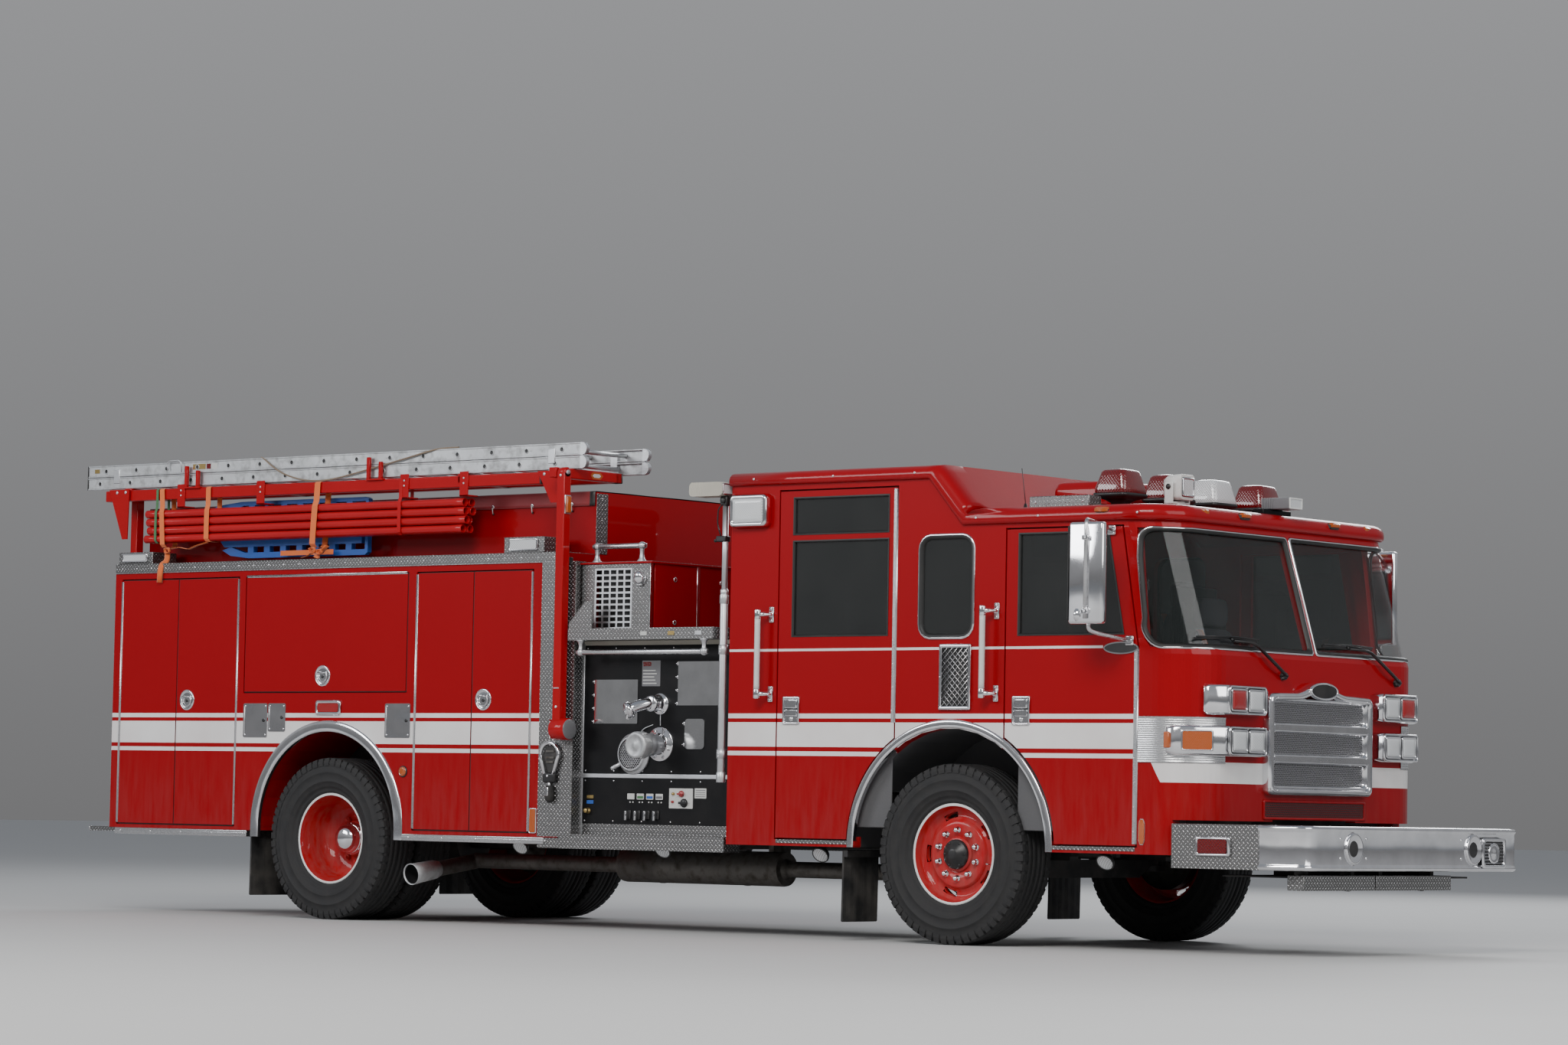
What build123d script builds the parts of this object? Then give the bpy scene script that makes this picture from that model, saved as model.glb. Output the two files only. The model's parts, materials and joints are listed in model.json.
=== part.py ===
from build123d import *
from math import cos, radians, sin
import os

# Fire pumper with a four-door tilting cab, side compartments and a lowering ladder rack.
# Millimetres. +X is forward, +Y is the left side, +Z is up and z = 0 is the ground.

# Axles and overall stations
FRONT_AXLE_X = 2605
HALF_WIDTH = 1245
DOOR_THICKNESS = 45
BODY_WALL = 45
PANEL_GAP = 10
SEAT_GAP = 0.3

# Tyres and wheels
TYRE_RADIUS = 533
TYRE_WIDTH = 300
TREAD_HALF = 126
SIDEWALL_RADIUS = 425
TYRE_OUTER_Y = 1220
RIM_RADIUS = 300
RIM_WIDTH = 232
RIM_WALL = 12
DUAL_PITCH = 340
HUB_BORE = 40
RAIL_FLATS = 8
FITTING_FLATS = 20
NUT_CIRCLE = 143
NUT_RADIUS = 21
NUT_COUNT = 10
HAND_HOLES = 5
HAND_HOLE_CIRCLE = 243
NUT_HEIGHT = 34
WHEEL_DISC = 68
HUB_RADIUS = 80
DRUM_RADIUS = 215
REAR_HUB_RADIUS = 110

# Chassis
FRAME_HALF = 432
FRAME_TOP = 880
FRAME_HEIGHT = 250
FRAME_FLANGE = 80
FRAME_GAUGE = 12
KINGPIN_Y = 855
KINGPIN_RADIUS = 22
PIN_CLEARANCE = 0.3
EYE_HALF = 62
EAR_THICKNESS = 34
MOUNT_PAD_HEIGHT = 20

# Cab
CAB_REAR = FRONT_AXLE_X - 1697
CAB_FRONT = FRONT_AXLE_X + 1745
CAB_BOTTOM = 559
CAB_FLOOR = FRAME_TOP + MOUNT_PAD_HEIGHT
FLOOR_THICKNESS = 60
CORNER_RADIUS = 300
CORNER_FLATS = 12
ARCH_FLATS = 32
BELT_Z = 1700
EAVE_Z = 2470
SCREEN_RAKE = 226
RAISED_EAVE_Z = 2750
ROOF_THICKNESS = 85
RAMP_TOP_X = FRONT_AXLE_X - 167
RAMP_RUN = 280
NOSE_NOTCH_X = FRONT_AXLE_X + 1575
NOSE_NOTCH_Z = 758
CAB_WALL = 65
CAB_SPLIT_X = FRONT_AXLE_X + 1195
PIVOT_X = CAB_FRONT - 32
PIVOT_Z = NOSE_NOTCH_Z + 37
PIVOT_PIN = 20
CREW_DOOR = (FRONT_AXLE_X - 1314, FRONT_AXLE_X - 406)
CREW_DOOR_TOP = 2712
HALF_GAP = PANEL_GAP / 2
CREW_WINDOW_Z = ((1825, 2403), (2443, 2666))
FRONT_DOOR = (FRONT_AXLE_X + 402, FRONT_AXLE_X + 1348)
FRONT_DOOR_TOP = 2438
PILLAR_BEND_Z = 1740
PILLAR_TOP_X = FRONT_AXLE_X + 1230
SCREEN_TOP = 2424
SCREEN_BOTTOM = 1739
SCREEN_REAR_X = FRONT_AXLE_X + 1388
CENTRE_POST = 14
OVAL_WINDOW_X = FRONT_AXLE_X - 34
OVAL_WINDOW_WIDTH = 396
OVAL_WINDOW_Z = (1808, 2410)
GLASS_INSET = 14
GLASS_THICKNESS = 8
ROOF_FRONT_Z = EAVE_Z + 98
GRILLE_HALF = 553
GRILLE_Z = (910, 1512)
GRILLE_BORDER = 48
GRILLE_BAR = 40
TUNNEL_HALF = 420
TUNNEL_TOP = 1430
TUNNEL_REAR = FRONT_AXLE_X - 900
TUNNEL_FRONT = FRONT_AXLE_X + 1100
FRONT_ARCH_RADIUS = 758
FRONT_ARCH_Z = 567
ARCH_TRIM = 52
ARCH_TRIM_PROUD = 18
FRONT_ARCH_X = FRONT_AXLE_X + 5
WHEEL_BOX_RADIUS = FRONT_ARCH_RADIUS - ARCH_TRIM
STEP_WELL_Y = 880
STEP_WELLS = ((FRONT_AXLE_X - 1400, FRONT_AXLE_X - 780), (FRONT_AXLE_X + 790, FRONT_AXLE_X + 1440))
FLAP_FRONT_X = FRONT_AXLE_X - 780

# Body behind the cab
PUMP_FRONT = CAB_REAR - 20
PUMP_LENGTH = 1360
PUMP_HALF = 1150
PUMP_BOTTOM = 600
SHELF_Z = 1816
SHELF_THICKNESS = 73
SHELF_OVERHANG = 150
PUMP_REAR = PUMP_FRONT - PUMP_LENGTH
BODY_FRONT = PUMP_REAR - 10
CROSSLAY_REAR = PUMP_REAR + 114
CROSSLAY_FRONT = CROSSLAY_REAR + 580
CROSSLAY_HALF = 1200
CROSSLAY_TOP = 2297
BODY_LENGTH = 4155
BODY_REAR = BODY_FRONT - BODY_LENGTH
BODY_BOTTOM = 575
BODY_TOP = 2379
BODY_INNER = 560
FRONT_POST = 245
REAR_ARCH_BEHIND = 2062
REAR_ARCH_X = BODY_FRONT - REAR_ARCH_BEHIND
REAR_AXLE_X = REAR_ARCH_X - 12
FLAP_REAR_X = REAR_AXLE_X - 710
TAILBOARD = 205
REAR_ARCH_RADIUS = 705
REAR_ARCH_Z = 605
DOOR_BOTTOM = 602
DOOR_TOP = 2272
LIFT_DOOR_BOTTOM = 1497
JAMB = 25
HOSE_HALF = 940
HOSE_WALL = 30
HOSE_TOP = 2780
HOSE_FLOOR = 1900
COVER_THICKNESS = 8
COVER_SKIRT = 95

# Ladder rack
ARM_SIZE = 64
HUB_Z = 1257
ARM_LENGTH = 1623
FRONT_ARM_Y = 1300
REAR_ARM_Y = 1020
ARM_STANDOFF = 12
ARM_FRONT = BODY_FRONT + ARM_STANDOFF + ARM_SIZE
ARM_PIN = 25
RACK_PIN = 16
HUB_RADIUS_RACK = 68
RACK_TUBE = 64
RACK_NEAR_Y = 1150
RACK_FAR_Y = 735
PIVOT_ABOVE_RACK = 31
RACK_BOTTOM = HUB_Z + ARM_LENGTH - PIVOT_ABOVE_RACK
LADDER_LENGTH = 4674
LADDER_REAR = BODY_REAR - 409
RAIL_HEIGHT = 83
RAIL_WIDTH = 30
RUNG_PITCH = 305
RUNG_RADIUS = 16
LADDER_FAR_Y = 550
PIPE_RADIUS = 28
PIPE_FLATS = 12
PIPE_LENGTH = 3040
PIPE_FRONT = BODY_FRONT - 900
PIPE_ROWS = 4
PIPE_COLUMNS = 2
PIPE_PITCH = 57
PIPE_BOTTOM = RACK_BOTTOM - 321
PIPE_OUTER_Y = 1172
STRAP_X = (PIPE_FRONT - 2843, PIPE_FRONT - 2413, PIPE_FRONT - 1393)

# Front bumper
BUMPER_FRONT = CAB_FRONT + 700
BUMPER_REAR = FRONT_AXLE_X + 1590
BUMPER_BOTTOM = 487
BUMPER_TOP = 739
BUMPER_FACE_HALF = 1113
BUMPER_GAUGE = 8
EXTENSION_Z = (520, 690)
GEARBOX_REAR = FRONT_AXLE_X - 840

os.makedirs("parts", exist_ok=True)


def finish(piece, name):
    """Label a finished piece and write it out under its own name."""
    piece.part.label = name
    export_step(piece.part, f"parts/{name}.step")


def block(x0, x1, y0, y1, z0, z1, mode=Mode.ADD):
    """A block between two opposite corners."""
    with Locations(((x0 + x1) / 2, (y0 + y1) / 2, (z0 + z1) / 2)):
        Box(abs(x1 - x0), abs(y1 - y0), abs(z1 - z0), mode=mode)


def rod(start, end, radius, mode=Mode.ADD, flats=0):
    """A bar between two points, round or, for small tube and rungs, with a few flats."""
    reach = Vector(*end) - Vector(*start)
    with BuildSketch(Plane(origin=start, z_dir=reach)) as ring:
        if flats:
            RegularPolygon(radius, flats, rotation=180 / flats)
        else:
            Circle(radius)
    extrude(ring.sketch, amount=reach.length, mode=mode)


def side_plate(points, y0, y1, mode=Mode.ADD):
    """A plate drawn in side view, as (x, z) points, standing from y0 to y1."""
    with BuildSketch(Plane.XZ.offset(-y0)) as outline:
        Polygon(*points, align=None)
    extrude(outline.sketch, amount=y0 - y1, mode=mode)


def cross_bar(points, x0, x1, mode=Mode.ADD):
    """A bar drawn in end view, as (y, z) points, running from x0 to x1."""
    with BuildSketch(Plane.YZ.offset(x0)) as outline:
        Polygon(*points, align=None)
    extrude(outline.sketch, amount=x1 - x0, mode=mode)


def disc(x, z, radius, y0, y1, mode=Mode.ADD, flats=0):
    """A round plate that faces sideways, standing from y0 to y1."""
    rod((x, y0, z), (x, y1, z), radius, mode, flats)


def wheel_axis(x, z=TYRE_RADIUS):
    """The axis of a wheel that stands at x."""
    return Axis((x, 0, z), (0, 1, 0))


def wheel_plane(x, z=TYRE_RADIUS):
    """The plane that a wheel's section is drawn in: its first axis is the wheel's radius."""
    return Plane(origin=(x, 0, z), x_dir=(1, 0, 0), z_dir=(0, 0, 1))


def cab_plan(front, inset, rear=CAB_REAR):
    """The cab's outline from above, its two front corners rounded in short flats, set in by a wall."""
    radius = CORNER_RADIUS - inset
    centre_x, centre_y = front - CORNER_RADIUS, HALF_WIDTH - CORNER_RADIUS
    turns = [radians(90 * step / CORNER_FLATS) for step in range(CORNER_FLATS + 1)]
    corner = [(centre_x + radius * sin(turn), centre_y + radius * cos(turn)) for turn in turns]
    with BuildSketch() as plan:
        Polygon((rear, -HALF_WIDTH + inset), (rear, HALF_WIDTH - inset), *corner,
                *[(x, -y) for x, y in reversed(corner)], align=None)
    return plan.sketch


def cab_form(inset, bottom, top, rear=CAB_REAR):
    """The cab's outer form, upright to the belt line and raked back over the windscreen."""
    with BuildPart() as form:
        with BuildSketch(Plane.XY.offset(bottom)):
            add(cab_plan(CAB_FRONT, inset, rear))
        extrude(amount=BELT_Z - bottom)
        with BuildSketch(Plane.XY.offset(BELT_Z)):
            add(cab_plan(CAB_FRONT, inset, rear))
        with BuildSketch(Plane.XY.offset(EAVE_Z)):
            add(cab_plan(CAB_FRONT - SCREEN_RAKE, inset, rear))
        loft(ruled=True)
        with BuildSketch(Plane.XY.offset(EAVE_Z)):
            add(cab_plan(CAB_FRONT - SCREEN_RAKE, inset, rear))
        extrude(amount=top - EAVE_Z)
    return form.part


def dual_y(side):
    """The plane between a pair of rear wheels."""
    return side * (TYRE_OUTER_Y - TYRE_WIDTH / 2 - DUAL_PITCH / 2)


SIDES = (("right", -1), ("left", 1))


# Tyres: one on each front wheel and a pair on each rear wheel
def tyre_section(middle_y):
    """A tyre's section, from its bead out to its widest point and in to its tread."""
    bead = RIM_WIDTH / 2 - 4
    half = TYRE_WIDTH / 2
    points = [(RIM_RADIUS, -bead), (RIM_RADIUS, bead), (SIDEWALL_RADIUS, half), (TYRE_RADIUS, TREAD_HALF),
              (TYRE_RADIUS, -TREAD_HALF), (SIDEWALL_RADIUS, -half)]
    with BuildSketch() as section:
        Polygon(*[(r, middle_y + y) for r, y in points], align=None)
    return section.sketch


def front_wheel_section(side):
    """A single wheel: rim, well, a disc near its outer face, hub and brake drum."""
    middle = side * (TYRE_OUTER_Y - TYRE_WIDTH / 2)
    rim = RIM_WIDTH / 2
    well = RIM_RADIUS - RIM_WALL
    points = [
        (RIM_RADIUS - SEAT_GAP, -rim), (RIM_RADIUS - SEAT_GAP, rim), (well, rim),
        (well - 40, WHEEL_DISC - 30), (195, WHEEL_DISC), (HUB_RADIUS, WHEEL_DISC),
        (HUB_RADIUS, WHEEL_DISC + 46), (HUB_BORE + PIN_CLEARANCE, WHEEL_DISC + 46),
        (HUB_BORE + PIN_CLEARANCE, WHEEL_DISC - 66), (DRUM_RADIUS, WHEEL_DISC - 66),
        (well - 12, WHEEL_DISC - 60), (well, -rim),
    ]
    with BuildSketch() as section:
        Polygon(*[(r, middle + side * y) for r, y in points], align=None)
    return section.sketch


def rear_wheel_section(side):
    """One of a pair of wheels: its disc sits against its twin's, far inside the rim."""
    middle = dual_y(side)
    offset = DUAL_PITCH / 2
    rim = RIM_WIDTH / 2
    well = RIM_RADIUS - RIM_WALL
    points = [
        (RIM_RADIUS - SEAT_GAP, offset - rim), (RIM_RADIUS - SEAT_GAP, offset + rim),
        (well, offset + rim), (well - 12, offset - rim + 50), (230, 14), (REAR_HUB_RADIUS, 14),
        (REAR_HUB_RADIUS - 16, 150), (0, 150), (0, 0), (250, 0), (well, offset - rim),
    ]
    with BuildSketch() as section:
        Polygon(*[(r, middle + side * y) for r, y in points], align=None)
    return section.sketch


for side_name, side in SIDES:
    with BuildPart() as front_tyre:
        with BuildSketch(wheel_plane(FRONT_AXLE_X)):
            add(tyre_section(side * (TYRE_OUTER_Y - TYRE_WIDTH / 2)))
        revolve(axis=wheel_axis(FRONT_AXLE_X))
    finish(front_tyre, f"{side_name}_front_tyre")

    with BuildPart() as rear_tyres:
        with BuildSketch(wheel_plane(REAR_AXLE_X)):
            add(tyre_section(dual_y(side) + DUAL_PITCH / 2))
            add(tyre_section(dual_y(side) - DUAL_PITCH / 2))
        revolve(axis=wheel_axis(REAR_AXLE_X))
    finish(rear_tyres, f"{side_name}_rear_tyres")

    nut_face = side * (TYRE_OUTER_Y - TYRE_WIDTH / 2 + WHEEL_DISC)
    nut_plane = Plane(origin=(FRONT_AXLE_X, nut_face, TYRE_RADIUS), x_dir=(1, 0, 0), z_dir=(0, side, 0))
    with BuildPart() as front_wheel:
        with BuildSketch(wheel_plane(FRONT_AXLE_X)):
            add(front_wheel_section(side))
        revolve(axis=wheel_axis(FRONT_AXLE_X))
        with BuildSketch(nut_plane):
            with PolarLocations(NUT_CIRCLE, NUT_COUNT):
                RegularPolygon(NUT_RADIUS, 6)
        extrude(amount=NUT_HEIGHT)
        with BuildSketch(nut_plane):
            with PolarLocations(HAND_HOLE_CIRCLE, HAND_HOLES):
                Rectangle(34, 76)
        extrude(amount=-76, mode=Mode.SUBTRACT)
    finish(front_wheel, f"{side_name}_front_wheel")

    hub_face = dual_y(side) - side * 160
    with BuildPart() as rear_wheels:
        with BuildSketch(wheel_plane(REAR_AXLE_X)):
            add(rear_wheel_section(side))
            mirror(about=Plane.XZ.offset(-dual_y(side)))
        revolve(axis=wheel_axis(REAR_AXLE_X))
        disc(REAR_AXLE_X, TYRE_RADIUS, HUB_BORE + PIN_CLEARANCE, hub_face - side, hub_face + side * 150,
             Mode.SUBTRACT)
    finish(rear_wheels, f"{side_name}_rear_wheels")

    # The knuckle's two ears hold the beam's eye, and its spindle carries the front wheel
    pin_y = side * KINGPIN_Y
    spindle_end = side * (TYRE_OUTER_Y - TYRE_WIDTH / 2 + WHEEL_DISC + 30)
    with BuildPart() as knuckle:
        for ear_z in (TYRE_RADIUS - EYE_HALF - 3 - EAR_THICKNESS, TYRE_RADIUS + EYE_HALF + 3):
            rod((FRONT_AXLE_X, pin_y, ear_z), (FRONT_AXLE_X, pin_y, ear_z + EAR_THICKNESS), 52)
        block(FRONT_AXLE_X - 50, FRONT_AXLE_X + 50, pin_y + side * 56, pin_y + side * 86,
              TYRE_RADIUS - EYE_HALF - 3 - EAR_THICKNESS, TYRE_RADIUS + EYE_HALF + 3 + EAR_THICKNESS)
        for ear_z in (TYRE_RADIUS - EYE_HALF - 3 - EAR_THICKNESS, TYRE_RADIUS + EYE_HALF + 3):
            block(FRONT_AXLE_X - 50, FRONT_AXLE_X + 50, pin_y, pin_y + side * 86, ear_z,
                  ear_z + EAR_THICKNESS)
        rod((FRONT_AXLE_X, pin_y, TYRE_RADIUS - EYE_HALF - 10),
            (FRONT_AXLE_X, pin_y, TYRE_RADIUS + EYE_HALF + 10), KINGPIN_RADIUS)
        disc(FRONT_AXLE_X, TYRE_RADIUS, HUB_BORE, pin_y + side * 60, spindle_end)
    finish(knuckle, f"{side_name}_knuckle")


# Chassis: two channel rails, cross members, pads under the cab, its pivots and the fuel tank
FRAME_REAR = BODY_REAR + 40
FRAME_FRONT = PIVOT_X - 120
CROSS_MEMBERS = (FRAME_REAR + 60, REAR_AXLE_X - 900, REAR_AXLE_X + 800, BODY_FRONT - 200,
                 PUMP_FRONT + 100, FRONT_AXLE_X + 1000)
with BuildPart() as chassis_frame:
    outer, web, inner = -FRAME_HALF, -FRAME_HALF + FRAME_GAUGE, -FRAME_HALF + FRAME_FLANGE
    low, high = FRAME_TOP - FRAME_HEIGHT, FRAME_TOP
    cross_bar([(outer, low), (inner, low), (inner, low + FRAME_GAUGE), (web, low + FRAME_GAUGE),
               (web, high - FRAME_GAUGE), (inner, high - FRAME_GAUGE), (inner, high), (outer, high)],
              FRAME_REAR, FRAME_FRONT)
    rod((PIVOT_X, -FRAME_HALF - 56, PIVOT_Z), (PIVOT_X, -FRAME_HALF + 40, PIVOT_Z), PIVOT_PIN)
    block(FRAME_FRONT - 60, PIVOT_X, outer, outer + 40, PIVOT_Z - 25, PIVOT_Z + 25)
    disc(PIVOT_X, PIVOT_Z, 25, outer, outer + 40)
    block(FRAME_FRONT - 60, BUMPER_FRONT - BUMPER_GAUGE, outer, outer + 50, *EXTENSION_Z)
    for pad_x in (CAB_REAR + 250, FRAME_FRONT - 150):
        block(pad_x - 60, pad_x + 60, outer, inner, FRAME_TOP, CAB_FLOOR - SEAT_GAP)
    block(FLAP_FRONT_X - 15, FLAP_FRONT_X + 15, -TYRE_OUTER_Y, outer, 500, 540)
    block(FLAP_FRONT_X - 15, FLAP_FRONT_X + 15, outer - 40, outer, 500, low + 60)
    mirror(about=Plane.XZ)
    for member_x in CROSS_MEMBERS:
        block(member_x - 45, member_x + 45, outer + 2, -outer - 2, low + 40, high - 30)
    block(CROSS_MEMBERS[0], FRAME_REAR + 900, inner + 20, -inner - 20, low - 30, high - 60)
finish(chassis_frame, "chassis_frame")

# Axles: the dropped front beam, the rear housing and banjo, the drive shaft and the leaf springs
with BuildPart() as axles:
    beam_y = KINGPIN_Y - 60
    with BuildSketch(Plane.YZ.offset(FRONT_AXLE_X - 45)):
        with BuildLine():
            Polyline((0, 395), (beam_y - 130, 395), (beam_y, 470), (KINGPIN_Y, 470),
                     (KINGPIN_Y, 596), (beam_y, 596), (beam_y - 130, 505), (0, 505), close=True)
        make_face()
        mirror(about=Plane.YZ)
    extrude(amount=90)
    for side_name, side in SIDES:
        eye = (FRONT_AXLE_X, side * KINGPIN_Y)
        rod((*eye, TYRE_RADIUS - EYE_HALF), (*eye, TYRE_RADIUS + EYE_HALF), 48)
        block(FRONT_AXLE_X - 60, FRONT_AXLE_X + 60, side * (KINGPIN_Y + 40), side * (KINGPIN_Y + 60),
              400, 660, Mode.SUBTRACT)
        rod((*eye, 300), (*eye, 760), KINGPIN_RADIUS + PIN_CLEARANCE, Mode.SUBTRACT)
        housing_end = side * (abs(dual_y(side)) - 166)
        disc(REAR_AXLE_X, TYRE_RADIUS, 68, 0, housing_end)
        disc(REAR_AXLE_X, TYRE_RADIUS, HUB_BORE, housing_end, dual_y(side) - side * 20)
        for spring_x, spring_y, half_span, seat_z in (
                (FRONT_AXLE_X, side * 500, 640, 505), (REAR_AXLE_X, side * 500, 700, 601)):
            block(spring_x - half_span, spring_x + half_span, spring_y - 42, spring_y + 42,
                  seat_z + 24, seat_z + 60)
            block(spring_x - half_span * 0.6, spring_x + half_span * 0.6, spring_y - 42, spring_y + 42,
                  seat_z, seat_z + 24)
            for end in (-1, 1):
                hanger_x = spring_x + end * half_span
                block(hanger_x - 30, hanger_x + 30, side * (FRAME_HALF + SEAT_GAP), side * (FRAME_HALF + 42),
                      seat_z + 24, 740)
    rod((REAR_AXLE_X - 150, 0, TYRE_RADIUS), (REAR_AXLE_X + 190, 0, TYRE_RADIUS), 170)
    rod((REAR_AXLE_X + 180, 0, TYRE_RADIUS), (GEARBOX_REAR - 4, 0, 600), 55)
finish(axles, "axles")

# Engine under the cab floor, with its gearbox, and the exhaust that runs back on the right
with BuildPart() as engine_and_exhaust:
    block(FRONT_AXLE_X - 520, FRONT_AXLE_X + 830, -330, 330, 600, 1330)
    block(GEARBOX_REAR, FRONT_AXLE_X - 520, -230, 230, 540, 1060)
    block(FRONT_AXLE_X - 520, FRONT_AXLE_X - 150, -280, 280, 500, 600)
    rod((FRONT_AXLE_X - 760, -590, 405), (FRONT_AXLE_X - 480, -250, 540), 50)
    rod((PUMP_REAR, -590, 405), (PUMP_FRONT - 30, -590, 405), 105)
    rod((PUMP_FRONT - 60, -590, 405), (FRONT_AXLE_X - 760, -590, 405), 50)
    rod((REAR_AXLE_X + 760, -590, 405), (PUMP_REAR + 30, -590, 405), 50)
    rod((REAR_AXLE_X + 760, -1010, 340), (REAR_AXLE_X + 760, -560, 405), 50)
    for hanger_x in (PUMP_REAR + 120, PUMP_FRONT - 150):
        block(hanger_x - 20, hanger_x + 20, -600, -FRAME_HALF, 470, PUMP_BOTTOM)
finish(engine_and_exhaust, "engine_and_exhaust")

# Front bumper: side wings, angled corners and a channel face, with its deck and steps
with BuildPart() as front_bumper:
    wing = BUMPER_REAR + 584
    with BuildSketch(Plane.XY.offset(BUMPER_BOTTOM)) as bumper_plan:
        with BuildLine():
            Polyline((BUMPER_REAR, -HALF_WIDTH), (wing, -HALF_WIDTH), (BUMPER_FRONT, -BUMPER_FACE_HALF),
                     (BUMPER_FRONT, BUMPER_FACE_HALF), (wing, HALF_WIDTH), (BUMPER_REAR, HALF_WIDTH),
                     close=True)
        make_face()
    extrude(amount=BUMPER_TOP - BUMPER_BOTTOM)
    with BuildSketch(Plane.XY.offset(BUMPER_BOTTOM)):
        offset(bumper_plan.sketch, amount=-BUMPER_GAUGE, kind=Kind.INTERSECTION)
    extrude(amount=BUMPER_TOP - BUMPER_BOTTOM - BUMPER_GAUGE, mode=Mode.SUBTRACT)
    block(BUMPER_REAR - 1, CAB_FRONT + 14, -HALF_WIDTH + BUMPER_GAUGE, HALF_WIDTH - BUMPER_GAUGE,
          BUMPER_BOTTOM - 1, BUMPER_TOP + 1, Mode.SUBTRACT)
    block(CAB_FRONT - 60, BUMPER_FRONT - 2, -900, 900, 440, EXTENSION_Z[0] - SEAT_GAP)
    block(BUMPER_FRONT - 170, BUMPER_FRONT - 60, -1100, 478, 375, 441)
    for horn_y in (-677, 628):
        rod((BUMPER_FRONT - 40, horn_y, 613), (BUMPER_FRONT + 10, horn_y, 613), 79, Mode.SUBTRACT)
    rod((BUMPER_FRONT - 8, 835, 595), (BUMPER_FRONT + 22, 835, 595), 85)
finish(front_bumper, "front_bumper")

# Body: compartments on both sides, each with a rebate that its doors close against
# name, front and rear edge behind the body's front, bottom, top
COMPARTMENTS = (
    ("front", 251, 1271, DOOR_BOTTOM, DOOR_TOP),
    ("wheel", 1352, 2862, LIFT_DOOR_BOTTOM, DOOR_TOP),
    ("rear", 2931, 4083, DOOR_BOTTOM, DOOR_TOP),
)
# name, front and rear edge behind the body's front, bottom, top
BODY_DOORS = (
    ("front_door_a", 251, 766, DOOR_BOTTOM, DOOR_TOP),
    ("front_door_b", 766, 1271, DOOR_BOTTOM, DOOR_TOP),
    ("lift_door", 1352, 2862, LIFT_DOOR_BOTTOM, DOOR_TOP),
    ("rear_door_a", 2931, 3519, DOOR_BOTTOM, DOOR_TOP),
    ("rear_door_b", 3519, 4083, DOOR_BOTTOM, DOOR_TOP),
)
with BuildPart() as body_compartments:
    block(BODY_REAR, BODY_FRONT, -HALF_WIDTH, -BODY_INNER, BODY_BOTTOM, BODY_TOP)
    for name, front, rear, bottom, top in COMPARTMENTS:
        low_x, high_x = BODY_FRONT - rear - HALF_GAP, BODY_FRONT - front + HALF_GAP
        low_z, high_z = bottom - HALF_GAP, top + HALF_GAP
        block(low_x, high_x, -HALF_WIDTH - 1, -HALF_WIDTH + DOOR_THICKNESS + SEAT_GAP, low_z, high_z,
              Mode.SUBTRACT)
        block(low_x + JAMB, high_x - JAMB, -HALF_WIDTH, -BODY_INNER - BODY_WALL, low_z + JAMB,
              high_z - JAMB, Mode.SUBTRACT)
    disc(REAR_ARCH_X, REAR_ARCH_Z, REAR_ARCH_RADIUS - ARCH_TRIM, -HALF_WIDTH - 1, -BODY_INNER + 1,
         Mode.SUBTRACT, ARCH_FLATS)
    block(REAR_ARCH_X - REAR_ARCH_RADIUS + ARCH_TRIM, REAR_ARCH_X + REAR_ARCH_RADIUS - ARCH_TRIM,
          -HALF_WIDTH - 1, -BODY_INNER + 1, BODY_BOTTOM - 1, REAR_ARCH_Z, Mode.SUBTRACT)
    mirror(about=Plane.XZ)
    block(BODY_FRONT, BODY_FRONT + 8, -FRONT_ARM_Y - 40, -HALF_WIDTH + 200, HUB_Z - 60, HUB_Z + 60)
    rod((BODY_FRONT, -FRONT_ARM_Y, HUB_Z), (ARM_FRONT + 60, -FRONT_ARM_Y, HUB_Z), ARM_PIN)
    rod((BODY_REAR - ARM_STANDOFF - ARM_SIZE - 12, -REAR_ARM_Y, HUB_Z), (BODY_REAR + 30, -REAR_ARM_Y, HUB_Z),
        ARM_PIN)
finish(body_compartments, "body_compartments")


for side_name, side in SIDES:
    for name, front, rear, bottom, top in BODY_DOORS:
        with BuildPart() as door:
            block(BODY_FRONT - rear + HALF_GAP, BODY_FRONT - front - HALF_GAP, side * HALF_WIDTH,
                  side * (HALF_WIDTH - DOOR_THICKNESS), bottom + HALF_GAP, top - HALF_GAP)
        finish(door, f"{side_name}_{name}")

# Hose bed: a tub between the compartments, its walls standing on them
with BuildPart() as hose_bed:
    block(BODY_REAR, BODY_FRONT, -BODY_INNER, BODY_INNER, FRAME_TOP, HOSE_FLOOR)
    block(BODY_REAR + HOSE_WALL, BODY_FRONT - HOSE_WALL, -BODY_INNER + HOSE_WALL, BODY_INNER - HOSE_WALL,
          FRAME_TOP + HOSE_WALL, HOSE_FLOOR - HOSE_WALL, Mode.SUBTRACT)
    block(BODY_FRONT - HOSE_WALL, BODY_FRONT, -BODY_INNER, BODY_INNER, HOSE_FLOOR, BODY_TOP)
    block(BODY_REAR, BODY_FRONT, -HOSE_HALF, HOSE_HALF, BODY_TOP, HOSE_TOP)
    block(BODY_REAR - 1, BODY_FRONT - HOSE_WALL, -HOSE_HALF + HOSE_WALL, HOSE_HALF - HOSE_WALL,
          BODY_TOP - 1, HOSE_TOP + 1, Mode.SUBTRACT)
finish(hose_bed, "hose_bed")

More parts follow.
